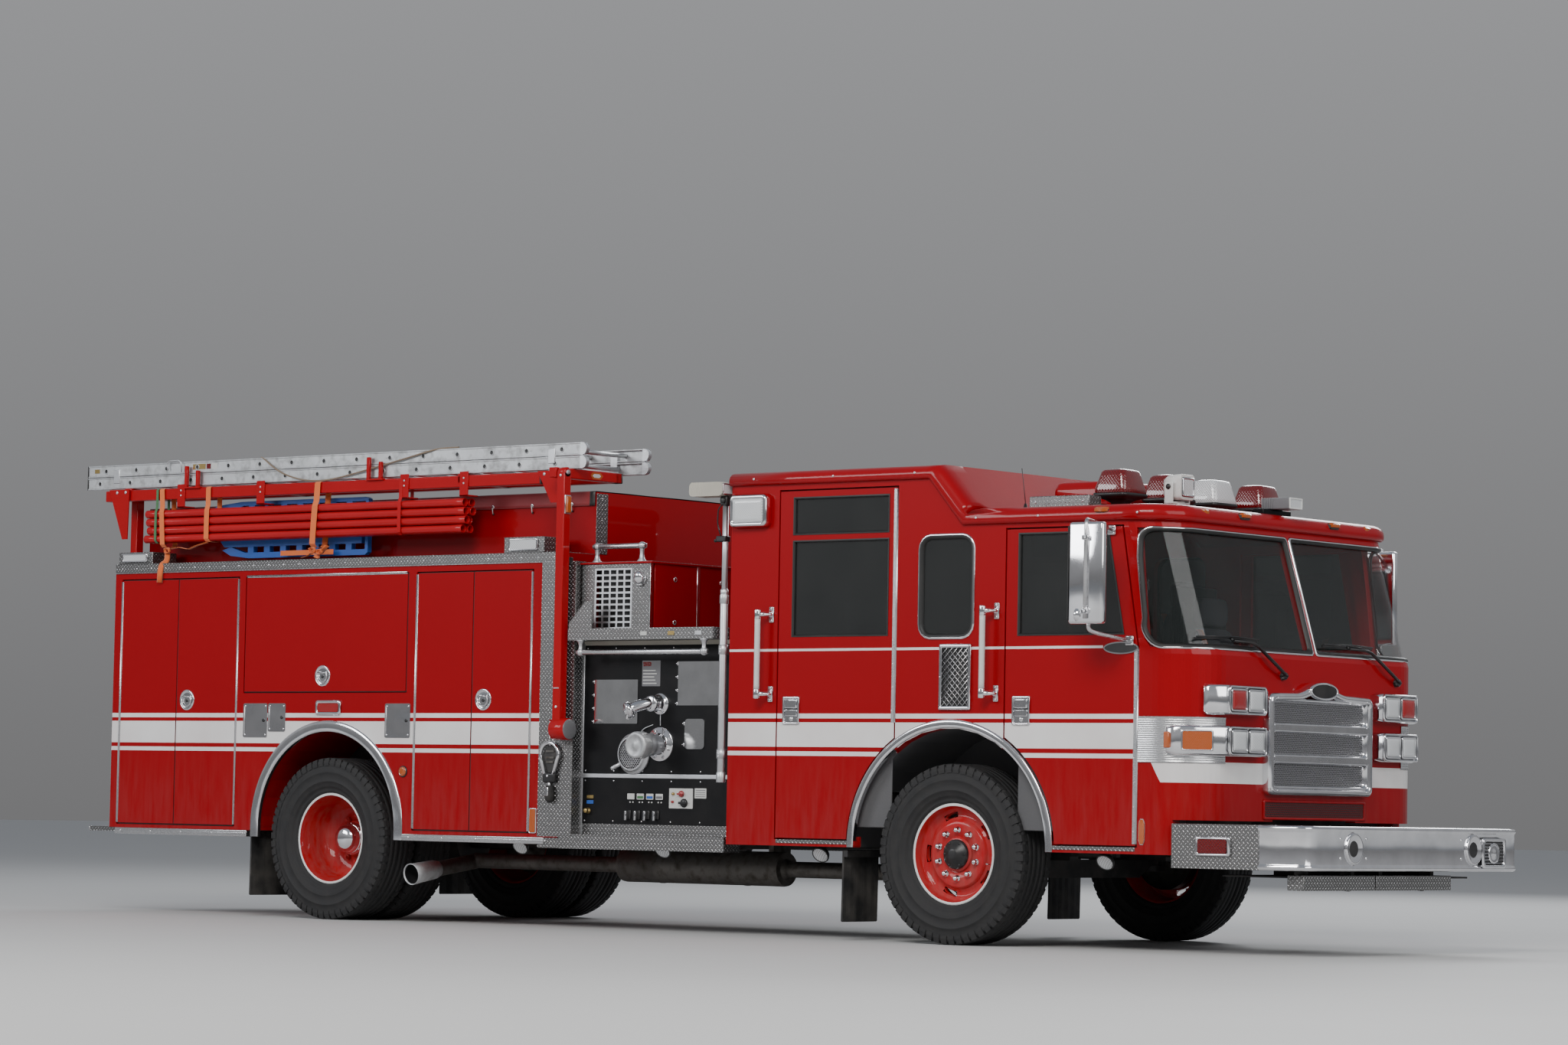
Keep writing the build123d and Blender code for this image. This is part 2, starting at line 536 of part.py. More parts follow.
with BuildPart() as hose_bed_cover:
    skirt = HOSE_HALF + SEAT_GAP
    block(BODY_REAR, BODY_FRONT, -skirt - COVER_THICKNESS, skirt + COVER_THICKNESS,
          HOSE_TOP - COVER_SKIRT, HOSE_TOP + SEAT_GAP + COVER_THICKNESS)
    block(BODY_REAR - 1, BODY_FRONT + 1, -skirt, skirt, HOSE_TOP - COVER_SKIRT - 1, HOSE_TOP + SEAT_GAP,
          Mode.SUBTRACT)
finish(hose_bed_cover, "hose_bed_cover")

# Bright trim of the body: tailboard, rub rails, wheel arch rings and the boxes on the top
with BuildPart() as body_trim:
    block(BODY_REAR - TAILBOARD, BODY_REAR + 60, -HALF_WIDTH, HALF_WIDTH, 547, 574)
    for rail_rear, rail_front in ((BODY_REAR + 60, FLAP_REAR_X - 15),
                                  (REAR_ARCH_X + REAR_ARCH_RADIUS, BODY_FRONT - FRONT_POST + 60)):
        for side_name, side in SIDES:
            block(rail_rear, rail_front, side * (HALF_WIDTH - 50), side * (HALF_WIDTH + 10), 530,
                  BODY_BOTTOM)
    for side_name, side in SIDES:
        outer_y = side * (HALF_WIDTH + ARCH_TRIM_PROUD)
        with BuildSketch(Plane.XZ.offset(-side * HALF_WIDTH)) as ring:
            with Locations((REAR_ARCH_X, REAR_ARCH_Z)):
                Circle(REAR_ARCH_RADIUS)
                Circle(REAR_ARCH_RADIUS - ARCH_TRIM + 0.5, mode=Mode.SUBTRACT)
            with Locations((REAR_ARCH_X, REAR_ARCH_Z - REAR_ARCH_RADIUS)):
                Rectangle(3 * REAR_ARCH_RADIUS, 2 * REAR_ARCH_RADIUS, mode=Mode.SUBTRACT)
            for end in (-1, 1):
                with Locations((REAR_ARCH_X + end * (REAR_ARCH_RADIUS - ARCH_TRIM / 2 + 0.25),
                                REAR_ARCH_Z - 35)):
                    Rectangle(ARCH_TRIM - 0.5, 70)
        extrude(ring.sketch, amount=-side * ARCH_TRIM_PROUD)
        for box_rear, box_front, box_top in ((BODY_REAR, BODY_REAR + 340, 2465),
                                             (BODY_FRONT - 530, BODY_FRONT - 180, 2485)):
            block(box_rear, box_front, side * 1000, side * 1225, BODY_TOP, box_top)
finish(body_trim, "body_trim")

# Pump module: a panelled housing astride the frame, its running boards and tread shelf
with BuildPart() as pump_module:
    block(PUMP_REAR, PUMP_FRONT, -PUMP_HALF, PUMP_HALF, PUMP_BOTTOM, SHELF_Z)
    block(PUMP_REAR - 1, PUMP_FRONT + 1, -FRAME_HALF, FRAME_HALF, PUMP_BOTTOM - 1, FRAME_TOP,
          Mode.SUBTRACT)
    block(PUMP_REAR + 40, PUMP_FRONT - 40, -PUMP_HALF + 40, PUMP_HALF - 40, FRAME_TOP + 40, SHELF_Z - 40,
          Mode.SUBTRACT)
    block(PUMP_REAR + 95, PUMP_FRONT - 73, -PUMP_HALF - SHELF_OVERHANG, PUMP_HALF + SHELF_OVERHANG,
          SHELF_Z, SHELF_Z + SHELF_THICKNESS)
    for side_name, side in SIDES:
        block(PUMP_REAR, PUMP_FRONT, side * (PUMP_HALF - 60), side * HALF_WIDTH, 508, PUMP_BOTTOM)
finish(pump_module, "pump_module")

with BuildPart() as pump_top_box:
    top_deck = SHELF_Z + SHELF_THICKNESS
    block(CROSSLAY_REAR, CROSSLAY_FRONT, -CROSSLAY_HALF, CROSSLAY_HALF, top_deck, CROSSLAY_TOP)
    block(CROSSLAY_REAR + 30, CROSSLAY_FRONT - 30, -CROSSLAY_HALF + 30, CROSSLAY_HALF - 30,
          top_deck + 30, CROSSLAY_TOP - 30, Mode.SUBTRACT)
    block(CROSSLAY_REAR - 12, CROSSLAY_FRONT + 12, -CROSSLAY_HALF - 12, CROSSLAY_HALF + 12,
          CROSSLAY_TOP, CROSSLAY_TOP + 16)
finish(pump_top_box, "pump_top_box")

# Pump fittings on each side: a capped inlet, a discharge elbow, a strainer and the grab rails
with BuildPart() as pump_fittings:
    inlet_x, discharge_x = PUMP_REAR + 757, PUMP_REAR + 752
    disc(inlet_x, 1169, 108, -PUMP_HALF, -PUMP_HALF - 22, flats=FITTING_FLATS)
    rod((inlet_x, -PUMP_HALF - 20, 1169), (inlet_x, -PUMP_HALF - 240, 1130), 70, flats=FITTING_FLATS)
    rod((inlet_x, -PUMP_HALF - 180, 1140), (inlet_x, -PUMP_HALF - 262, 1126), 84, flats=FITTING_FLATS)
    disc(discharge_x, 1420, 62, -PUMP_HALF, -PUMP_HALF - 60, flats=FITTING_FLATS)
    rod((discharge_x, -PUMP_HALF - 50, 1420), (discharge_x, -PUMP_HALF - 225, 1376), 42, flats=FITTING_FLATS)
    disc(PUMP_REAR + 543, 1108, 130, -PUMP_HALF, -PUMP_HALF - 42, flats=FITTING_FLATS)
    rail_y = -PUMP_HALF - SHELF_OVERHANG + 17
    rod((PUMP_REAR + 160, rail_y, 1740), (PUMP_REAR + 1240, rail_y, 1740), 17, flats=RAIL_FLATS)
    for post_x in (PUMP_REAR + 190, PUMP_REAR + 1210):
        rod((post_x, rail_y, 1740), (post_x, rail_y, SHELF_Z), 13, flats=RAIL_FLATS)
    rail_top = CROSSLAY_TOP + 119
    rod((CROSSLAY_REAR + 6, -1100, rail_top), (CROSSLAY_FRONT - 120, -1100, rail_top), 17, flats=RAIL_FLATS)
    for post_x in (CROSSLAY_REAR + 36, CROSSLAY_FRONT - 150):
        rod((post_x, -1100, rail_top), (post_x, -1100, CROSSLAY_TOP + 16), 13, flats=RAIL_FLATS)
    mirror(about=Plane.XZ)
finish(pump_fittings, "pump_fittings")

# Telescoping floodlight on the right front corner of the pump module
with BuildPart() as floodlight:
    mast_x, mast_y = PUMP_FRONT - 30, -HALF_WIDTH
    rod((mast_x, mast_y, 950), (mast_x, mast_y, 2050), 25)
    rod((mast_x, mast_y, 2050), (mast_x, mast_y, 2640), 19)
    for clamp_z in (1080, 1720):
        block(mast_x - 30, mast_x + 29, mast_y, -PUMP_HALF, clamp_z, clamp_z + 60)
    block(mast_x - 30, mast_x + 29, mast_y - 30, mast_y + 30, 2640, 2690)
    block(mast_x - 245, mast_x + 25, mast_y - 70, mast_y + 70, 2690, 2780)
finish(floodlight, "floodlight")

# Mud flaps: behind the rear wheels from the body, behind the front ones from their brackets
with BuildPart() as mud_flaps:
    for side_name, side in SIDES:
        block(FLAP_REAR_X - 6, FLAP_REAR_X + 6, side * 620, side * TYRE_OUTER_Y, 140, BODY_BOTTOM)
        block(FLAP_FRONT_X - 27, FLAP_FRONT_X - 15, side * 880, side * TYRE_OUTER_Y, 110, 540)
finish(mud_flaps, "mud_flaps")

# Cab tub: floor, wheel boxes, engine tunnel, step wells and rear wall
with BuildPart() as cab_tub:
    with BuildSketch(Plane.XY.offset(CAB_FLOOR)):
        add(cab_plan(CAB_FRONT, CAB_WALL, CAB_REAR))
    extrude(amount=FLOOR_THICKNESS)
    inner_y = HALF_WIDTH - CAB_WALL
    for side_name, side in SIDES:
        disc(FRONT_ARCH_X, FRONT_ARCH_Z, WHEEL_BOX_RADIUS + 40, side * (BODY_INNER - 40), side * inner_y,
             flats=ARCH_FLATS)
    block(CAB_REAR, CAB_FRONT, -HALF_WIDTH, HALF_WIDTH, -500, CAB_FLOOR, Mode.SUBTRACT)
    block(TUNNEL_REAR, TUNNEL_FRONT, -TUNNEL_HALF, TUNNEL_HALF, CAB_FLOOR, TUNNEL_TOP)
    for side_name, side in SIDES:
        disc(FRONT_ARCH_X, FRONT_ARCH_Z, WHEEL_BOX_RADIUS, side * BODY_INNER, side * HALF_WIDTH,
             Mode.SUBTRACT, ARCH_FLATS)
    block(TUNNEL_REAR + 40, TUNNEL_FRONT - 40, -TUNNEL_HALF + 40, TUNNEL_HALF - 40, CAB_FLOOR - 1,
          TUNNEL_TOP - 40, Mode.SUBTRACT)
    for side_name, side in SIDES:
        for well_rear, well_front in STEP_WELLS:
            block(well_rear, well_front, side * STEP_WELL_Y, side * inner_y, CAB_BOTTOM,
                  CAB_FLOOR + FLOOR_THICKNESS)
            block(well_rear + 30, well_front - 30, side * (STEP_WELL_Y + 30), side * (inner_y + 1),
                  CAB_BOTTOM + 30, CAB_FLOOR + FLOOR_THICKNESS + 1, Mode.SUBTRACT)
    block(CAB_REAR, CAB_REAR + CAB_WALL, -inner_y, inner_y, CAB_BOTTOM, RAISED_EAVE_Z)
    block(CAB_REAR - 1, CAB_REAR + CAB_WALL + 1, -FRAME_HALF - 20, FRAME_HALF + 20, CAB_BOTTOM - 1,
          CAB_FLOOR, Mode.SUBTRACT)
finish(cab_tub, "cab_tub")

# Cab walls, cut from one form: the sides behind the split line and the nose before it
EAVE_POINTS = [(CAB_REAR, RAISED_EAVE_Z), (RAMP_TOP_X + 71, RAISED_EAVE_Z), (RAMP_TOP_X + 241, EAVE_Z)]


def cut_arch(radius):
    """The front wheel opening through both side walls."""
    disc(FRONT_ARCH_X, FRONT_ARCH_Z, radius, -HALF_WIDTH - 60, HALF_WIDTH + 60, Mode.SUBTRACT, ARCH_FLATS)
    block(FRONT_ARCH_X - radius, FRONT_ARCH_X + radius, -HALF_WIDTH - 60, HALF_WIDTH + 60, CAB_BOTTOM - 1,
          FRONT_ARCH_Z, Mode.SUBTRACT)


def door_outline(grow):
    """Side outlines of the crew door and of the front door, grown by a gap or set in by a jamb."""
    crew = [(CREW_DOOR[0] - grow, DOOR_BOTTOM - grow), (CREW_DOOR[1] + grow, DOOR_BOTTOM - grow),
            (CREW_DOOR[1] + grow, CREW_DOOR_TOP + grow), (CREW_DOOR[0] - grow, CREW_DOOR_TOP + grow)]
    front = [(FRONT_DOOR[0] - grow, DOOR_BOTTOM - grow), (FRONT_DOOR[1] + grow, DOOR_BOTTOM - grow),
             (FRONT_DOOR[1] + grow, PILLAR_BEND_Z), (PILLAR_TOP_X + grow, FRONT_DOOR_TOP + grow),
             (FRONT_DOOR[0] - grow, FRONT_DOOR_TOP + grow)]
    return crew, front


def screen_outline(grow):
    """Side outline of the wrap-round windscreen."""
    return [(SCREEN_REAR_X - 70 - grow, SCREEN_TOP + grow), (CAB_FRONT + 100, SCREEN_TOP + grow),
            (CAB_FRONT + 100, SCREEN_BOTTOM - grow), (SCREEN_REAR_X + 40, SCREEN_BOTTOM - grow),
            (SCREEN_REAR_X - grow, SCREEN_BOTTOM + 50)]


def oval_window(grow, y0, y1, mode):
    """The small window between the doors, with round corners."""
    with BuildSketch(Plane.XZ.offset(-y0)) as pane:
        with Locations((OVAL_WINDOW_X, (OVAL_WINDOW_Z[0] + OVAL_WINDOW_Z[1]) / 2)):
            RectangleRounded(OVAL_WINDOW_WIDTH + 2 * grow, OVAL_WINDOW_Z[1] - OVAL_WINDOW_Z[0] + 2 * grow,
                             80 + grow)
    extrude(pane.sketch, amount=y0 - y1, mode=mode)


def cab_wall(behind):
    """The cab's outer wall with its openings, on one side of the split line."""
    reach = HALF_WIDTH + 60
    with BuildPart() as wall:
        add(cab_form(0, CAB_BOTTOM, RAISED_EAVE_Z))
        add(cab_form(CAB_WALL, CAB_BOTTOM - 1, RAISED_EAVE_Z + 1, CAB_REAR - 500), mode=Mode.SUBTRACT)
        if behind:
            block(CAB_SPLIT_X, CAB_FRONT + 100, -reach, reach, 0, 4000, Mode.SUBTRACT)
            side_plate([*EAVE_POINTS[1:], (CAB_FRONT, EAVE_Z), (CAB_FRONT, 3000), (EAVE_POINTS[1][0], 3000)],
                       -reach, reach, Mode.SUBTRACT)
            oval_window(0, -reach, reach, Mode.SUBTRACT)
        else:
            block(CAB_REAR - 600, CAB_SPLIT_X, -reach, reach, 0, 4000, Mode.SUBTRACT)
            block(CAB_SPLIT_X - 1, CAB_FRONT + 1, -reach, reach, EAVE_Z, 3000, Mode.SUBTRACT)
            block(NOSE_NOTCH_X, CAB_FRONT + 1, -reach, reach, CAB_BOTTOM - 2, NOSE_NOTCH_Z, Mode.SUBTRACT)
            side_plate(screen_outline(0), -reach, -CENTRE_POST, Mode.SUBTRACT)
            side_plate(screen_outline(0), CENTRE_POST, reach, Mode.SUBTRACT)
            block(CAB_FRONT - CAB_WALL - 1, CAB_FRONT + 1, -FRAME_HALF - 14, FRAME_HALF + 14,
                  NOSE_NOTCH_Z - 1, CAB_FLOOR - 15, Mode.SUBTRACT)
        for grow, depth in ((HALF_GAP, DOOR_THICKNESS + SEAT_GAP), (HALF_GAP - JAMB, CAB_WALL + 5)):
            for outline in door_outline(grow):
                side_plate(outline, -reach, -HALF_WIDTH + depth, Mode.SUBTRACT)
                side_plate(outline, HALF_WIDTH - depth, reach, Mode.SUBTRACT)
        cut_arch(FRONT_ARCH_RADIUS - ARCH_TRIM)
    return wall.part


with BuildPart() as cab_sides:
    add(cab_wall(True))
finish(cab_sides, "cab_sides")

with BuildPart() as cab_nose:
    add(cab_wall(False))
    for side_name, side in SIDES:
        block(PIVOT_X - 36, CAB_FRONT - CAB_WALL + 1, side * (FRAME_HALF + 14), side * (FRAME_HALF + 52),
              NOSE_NOTCH_Z, CAB_FLOOR)
        disc(PIVOT_X, PIVOT_Z, PIVOT_PIN + PIN_CLEARANCE, side * FRAME_HALF, side * (FRAME_HALF + 60),
             Mode.SUBTRACT)
finish(cab_nose, "cab_nose")

# Roof: raised over the crew, a ramp, then the lower front with its rounded brow
with BuildPart() as cab_roof:
    lip_x = CAB_FRONT - SCREEN_RAKE + 14
    roof_points = [*EAVE_POINTS, (lip_x, EAVE_Z), (lip_x, EAVE_Z + 32),
                   (lip_x - 104, ROOF_FRONT_Z), (RAMP_TOP_X + RAMP_RUN, ROOF_FRONT_Z),
                   (RAMP_TOP_X, RAISED_EAVE_Z + ROOF_THICKNESS), (CAB_REAR, RAISED_EAVE_Z + ROOF_THICKNESS)]
    side_plate(roof_points, -HALF_WIDTH - 12, HALF_WIDTH + 12)
    with BuildSketch(Plane.XY.offset(EAVE_Z - 1)):
        with Locations(((CAB_REAR + lip_x) / 2, 0)):
            brow = Rectangle(lip_x - CAB_REAR, 2 * HALF_WIDTH + 24)
        fillet(brow.vertices().group_by(Axis.X)[-1], CORNER_RADIUS)
    extrude(amount=600, mode=Mode.INTERSECT)
finish(cab_roof, "cab_roof")

with BuildPart() as cab_glass:
    add(cab_form(GLASS_INSET, SCREEN_BOTTOM - 50, RAISED_EAVE_Z))
    add(cab_form(GLASS_INSET + GLASS_THICKNESS, SCREEN_BOTTOM - 60, RAISED_EAVE_Z + 1, CAB_REAR - 500),
        mode=Mode.SUBTRACT)
    side_plate(screen_outline(-SEAT_GAP), -HALF_WIDTH, HALF_WIDTH, Mode.INTERSECT)
    block(CAB_SPLIT_X, CAB_FRONT, -CENTRE_POST - SEAT_GAP, CENTRE_POST + SEAT_GAP, SCREEN_BOTTOM - 60, EAVE_Z,
          Mode.SUBTRACT)
    for side_name, side in SIDES:
        pane_y = side * (HALF_WIDTH - GLASS_INSET)
        oval_window(-SEAT_GAP, pane_y, pane_y - side * GLASS_THICKNESS, Mode.ADD)
finish(cab_glass, "cab_glass")

# Cab doors: as thick as the wall they close, with their windows cut through
# window outlines in side view, shared by a door and its glass
CREW_WINDOWS = [
    [(CREW_DOOR[0] + 110, low_z), (CREW_DOOR[1] - 65, low_z), (CREW_DOOR[1] - 65, high_z),
     (CREW_DOOR[0] + 110, high_z)]
    for low_z, high_z in CREW_WINDOW_Z
]
FRONT_WINDOWS = [
    [(FRONT_DOOR[0] + 92, 1815), (FRONT_DOOR[1] - 103, 1815), (FRONT_DOOR[1] - 217, 2408),
     (FRONT_DOOR[0] + 92, 2408)]
]


def shrink(points, gap):
    """A convex outline pulled in towards its middle by a small gap."""
    middle_x = sum(x for x, z in points) / len(points)
    middle_z = sum(z for x, z in points) / len(points)
    return [(x + (gap if x < middle_x else -gap), z + (gap if z < middle_z else -gap)) for x, z in points]


for side_name, side in SIDES:
    outer_y, inner_y = side * HALF_WIDTH, side * (HALF_WIDTH - DOOR_THICKNESS)
    pane_y = side * (HALF_WIDTH - GLASS_INSET)
    for door_name, outline, windows in (("crew_door", door_outline(-HALF_GAP)[0], CREW_WINDOWS),
                                        ("front_door", door_outline(-HALF_GAP)[1], FRONT_WINDOWS)):
        with BuildPart() as door:
            side_plate(outline, outer_y, inner_y)
            for window in windows:
                side_plate(window, outer_y + side, inner_y - side, Mode.SUBTRACT)
            disc(FRONT_ARCH_X, FRONT_ARCH_Z, FRONT_ARCH_RADIUS + PANEL_GAP, outer_y + side, inner_y - side,
                 Mode.SUBTRACT)
        finish(door, f"{side_name}_{door_name}")

        with BuildPart() as glass:
            for window in windows:
                side_plate(shrink(window, SEAT_GAP), pane_y, pane_y - side * GLASS_THICKNESS)
        finish(glass, f"{side_name}_{door_name}_glass")

    with BuildPart() as mirror_head:
        head_y = side * (HALF_WIDTH + 305)
        arm_x = FRONT_DOOR[1] - 130
        block(arm_x - 130, arm_x + 110, head_y - side * 20, head_y + side * 35, 1857, 2439)
        rod((arm_x, head_y, 1800), (arm_x, head_y, 1857), 14, flats=RAIL_FLATS)
        rod((arm_x, outer_y, 1800), (arm_x, head_y + side * 14, 1800), 14, flats=RAIL_FLATS)
        rod((arm_x - 60, outer_y, 2425), (arm_x - 60, head_y - side * 20, 2425), 14, flats=RAIL_FLATS)
    finish(mirror_head, f"{side_name}_mirror")

# Cab front: grille surround with three mesh windows, and the lamp clusters
with BuildPart() as grille:
    block(CAB_FRONT, CAB_FRONT + 55, -GRILLE_HALF, GRILLE_HALF, GRILLE_Z[0], GRILLE_Z[1])
    bay = (GRILLE_Z[1] - GRILLE_Z[0] - 2 * GRILLE_BORDER - 2 * GRILLE_BAR) / 3
    for row in range(3):
        low_z = GRILLE_Z[0] + GRILLE_BORDER + row * (bay + GRILLE_BAR)
        block(CAB_FRONT + 20, CAB_FRONT + 56, -GRILLE_HALF + GRILLE_BORDER, GRILLE_HALF - GRILLE_BORDER,
              low_z, low_z + bay, Mode.SUBTRACT)
    with BuildSketch(Plane.YZ.offset(CAB_FRONT)) as crest:
        with Locations((0, GRILLE_Z[1])):
            Ellipse(150, 62)
    extrude(crest.sketch, amount=66)
finish(grille, "grille")

# plan outlines of a lamp bezel, outboard side first, then its low and high edge
LAMP_BEZELS = (
    ([(CAB_FRONT - 150, -1170), (CAB_FRONT - 60, -1172), (CAB_FRONT + 70, -1000), (CAB_FRONT + 70, -710),
      (CAB_FRONT - 150, -710)], 1358, 1532),
    ([(CAB_FRONT - 200, -1262), (CAB_FRONT - 125, -1262), (CAB_FRONT + 75, -985), (CAB_FRONT + 75, -735),
      (CAB_FRONT - 200, -735)], 1122, 1300),
)
with BuildPart() as lamp_clusters:
    for outline, low_z, high_z in LAMP_BEZELS:
        with BuildSketch(Plane.XY.offset(low_z)) as bezel:
            Polygon(*outline, align=None)
        extrude(bezel.sketch, amount=high_z - low_z)
    add(cab_form(0, CAB_BOTTOM, RAISED_EAVE_Z), mode=Mode.SUBTRACT)
    block(CAB_REAR + 21, CAB_REAR + 311, -HALF_WIDTH, -HALF_WIDTH - 62, 2498, 2693)
    mirror(about=Plane.XZ)
finish(lamp_clusters, "lamp_clusters")

# Roof equipment: four beacons on feet, a spotlight, a cooling unit, a step plate, an emitter
BEACON_Y = (-750, -250, 200, 700)
with BuildPart() as roof_beacons:
    beacon_x = FRONT_AXLE_X + 860
    for beacon_y in BEACON_Y:
        block(beacon_x - 60, beacon_x + 60, beacon_y - 60, beacon_y + 60, ROOF_FRONT_Z, ROOF_FRONT_Z + 60)
        with BuildSketch(Plane.XY.offset(ROOF_FRONT_Z + 60)):
            with Locations((beacon_x, beacon_y)):
                dome = Rectangle(280, 300)
            chamfer(dome.vertices(), 60)
        with BuildSketch(Plane.XY.offset(ROOF_FRONT_Z + 235)):
            with Locations((beacon_x, beacon_y)):
                crown = Rectangle(170, 190)
            chamfer(crown.vertices(), 50)
        loft(ruled=True)
    rod((beacon_x + 300, -600, ROOF_FRONT_Z), (beacon_x + 300, -600, ROOF_FRONT_Z + 60), 30)
    rod((beacon_x + 240, -600, ROOF_FRONT_Z + 120), (beacon_x + 380, -600, ROOF_FRONT_Z + 120), 78)
    block(RAMP_TOP_X + RAMP_RUN + 60, beacon_x - 220, -480, 480, ROOF_FRONT_Z, ROOF_FRONT_Z + 205)
    block(beacon_x - 420, beacon_x + 10, -1080, -960, ROOF_FRONT_Z, ROOF_FRONT_Z + 70)
    block(CAB_FRONT - 340, CAB_FRONT - 316, -40, 40, ROOF_FRONT_Z, ROOF_FRONT_Z + 40)
    block(CAB_FRONT - 352, CAB_FRONT - 150, -70, 70, ROOF_FRONT_Z + 40, ROOF_FRONT_Z + 95)
finish(roof_beacons, "roof_beacons")

# Bright trim of the cab: wheel arch rings and the grab rails beside the doors
with BuildPart() as cab_trim:
    for side_name, side in SIDES:
        with BuildSketch(Plane.XZ.offset(-side * HALF_WIDTH)) as ring:
            with Locations((FRONT_ARCH_X, FRONT_ARCH_Z)):
                Circle(FRONT_ARCH_RADIUS)
                Circle(FRONT_ARCH_RADIUS - ARCH_TRIM + 0.5, mode=Mode.SUBTRACT)
            with Locations((FRONT_ARCH_X, CAB_BOTTOM - FRONT_ARCH_RADIUS)):
                Rectangle(3 * FRONT_ARCH_RADIUS, 2 * FRONT_ARCH_RADIUS, mode=Mode.SUBTRACT)
        extrude(ring.sketch, amount=-side * ARCH_TRIM_PROUD)
        for rail_x in (CREW_DOOR[0] - 103, FRONT_DOOR[0] - 114):
            rail_y = side * (HALF_WIDTH + 75)
            rod((rail_x, rail_y, 1450), (rail_x, rail_y, 1985), 19, flats=RAIL_FLATS)
            for post_z in (1475, 1960):
                rod((rail_x, side * HALF_WIDTH, post_z), (rail_x, rail_y, post_z), 15, flats=RAIL_FLATS)
finish(cab_trim, "cab_trim")

# Inside the cab: dashboard with the steering wheel, and seven seats
DRIVER_Y = 700
with BuildPart() as dashboard:
    block(CAB_FRONT - 420, CAB_FRONT - CAB_WALL, -930, 930, 1180, 1640)
    block(CAB_FRONT - 420, CAB_FRONT - CAB_WALL, -930, 930, CAB_FLOOR + FLOOR_THICKNESS, 1180)
    block(CAB_FRONT - 421, CAB_FRONT - 300, -931, 931, CAB_FLOOR, 1180, Mode.SUBTRACT)
    column_end = (CAB_FRONT - 560, DRIVER_Y, 1590)
    rod((CAB_FRONT - 380, DRIVER_Y, 1430), column_end, 28)
    wheel_tilt = Plane(origin=column_end, z_dir=(-180, 0, 160))
    with BuildSketch(wheel_tilt) as rim:
        Circle(230)
        Circle(200, mode=Mode.SUBTRACT)
        Rectangle(420, 44)
    extrude(rim.sketch, amount=26)
finish(dashboard, "dashboard")

# seat back's rear face and the way it faces, its middle, half width, height of its support
SEAT_ROWS = (
    (FRONT_DOOR[0] + 60, 1, (-DRIVER_Y, DRIVER_Y), CAB_FLOOR + FLOOR_THICKNESS),
    (FRONT_DOOR[0] - 20, -1, (-760, 760),
     FRONT_ARCH_Z + (WHEEL_BOX_RADIUS + 40) * cos(radians(180 / ARCH_FLATS)) + SEAT_GAP),
    (CAB_REAR + CAB_WALL, 1, (-800, 0, 800), CAB_FLOOR + FLOOR_THICKNESS),
)
SEAT_HALF, SEAT_BACK, SEAT_DEPTH = 250, 110, 500
with BuildPart() as seats:
    for back_x, facing, middles, floor_z in SEAT_ROWS:
        for middle_y in middles:
            pad_z = max(floor_z + 90, 1300)
            block(back_x, back_x + facing * SEAT_BACK, middle_y - SEAT_HALF, middle_y + SEAT_HALF, pad_z,
                  pad_z + 830)
            block(back_x, back_x + facing * SEAT_DEPTH, middle_y - SEAT_HALF, middle_y + SEAT_HALF, pad_z,
                  pad_z + 110)
            block(back_x + facing * (SEAT_DEPTH - 240), back_x + facing * (SEAT_DEPTH - 40),
                  middle_y - SEAT_HALF + 20, middle_y + SEAT_HALF - 20, floor_z, pad_z)
finish(seats, "seats")


# Ladder rack: two parallel arms that swing out, and the level frame they carry
def rack_arm(x0, x1, arm_y, hub_front):
    """An arm standing on its hub, with its pivot eyes bored through."""
    top_z = HUB_Z + ARM_LENGTH
    with BuildPart() as arm:
        block(x0, x1, -arm_y - ARM_SIZE / 2, -arm_y + ARM_SIZE / 2, HUB_Z, top_z)
        rod((x0, -arm_y, top_z), (x1, -arm_y, top_z), ARM_SIZE / 2)
        rod((x0, -arm_y, HUB_Z), (hub_front, -arm_y, HUB_Z), HUB_RADIUS_RACK)
        rod((x0 - 1, -arm_y, HUB_Z), (hub_front + 1, -arm_y, HUB_Z), ARM_PIN + PIN_CLEARANCE, Mode.SUBTRACT)
        rod((x0 - 1, -arm_y, top_z), (x1 + 1, -arm_y, top_z), RACK_PIN + PIN_CLEARANCE, Mode.SUBTRACT)
    return arm.part


with BuildPart() as rack_front_arm:
    add(rack_arm(ARM_FRONT - ARM_SIZE, ARM_FRONT, FRONT_ARM_Y, ARM_FRONT + 60))
finish(rack_front_arm, "rack_front_arm")

with BuildPart() as rack_rear_arm:
    add(rack_arm(BODY_REAR - ARM_STANDOFF - ARM_SIZE, BODY_REAR - ARM_STANDOFF, REAR_ARM_Y,
                 BODY_REAR - ARM_STANDOFF))
finish(rack_rear_arm, "rack_rear_arm")

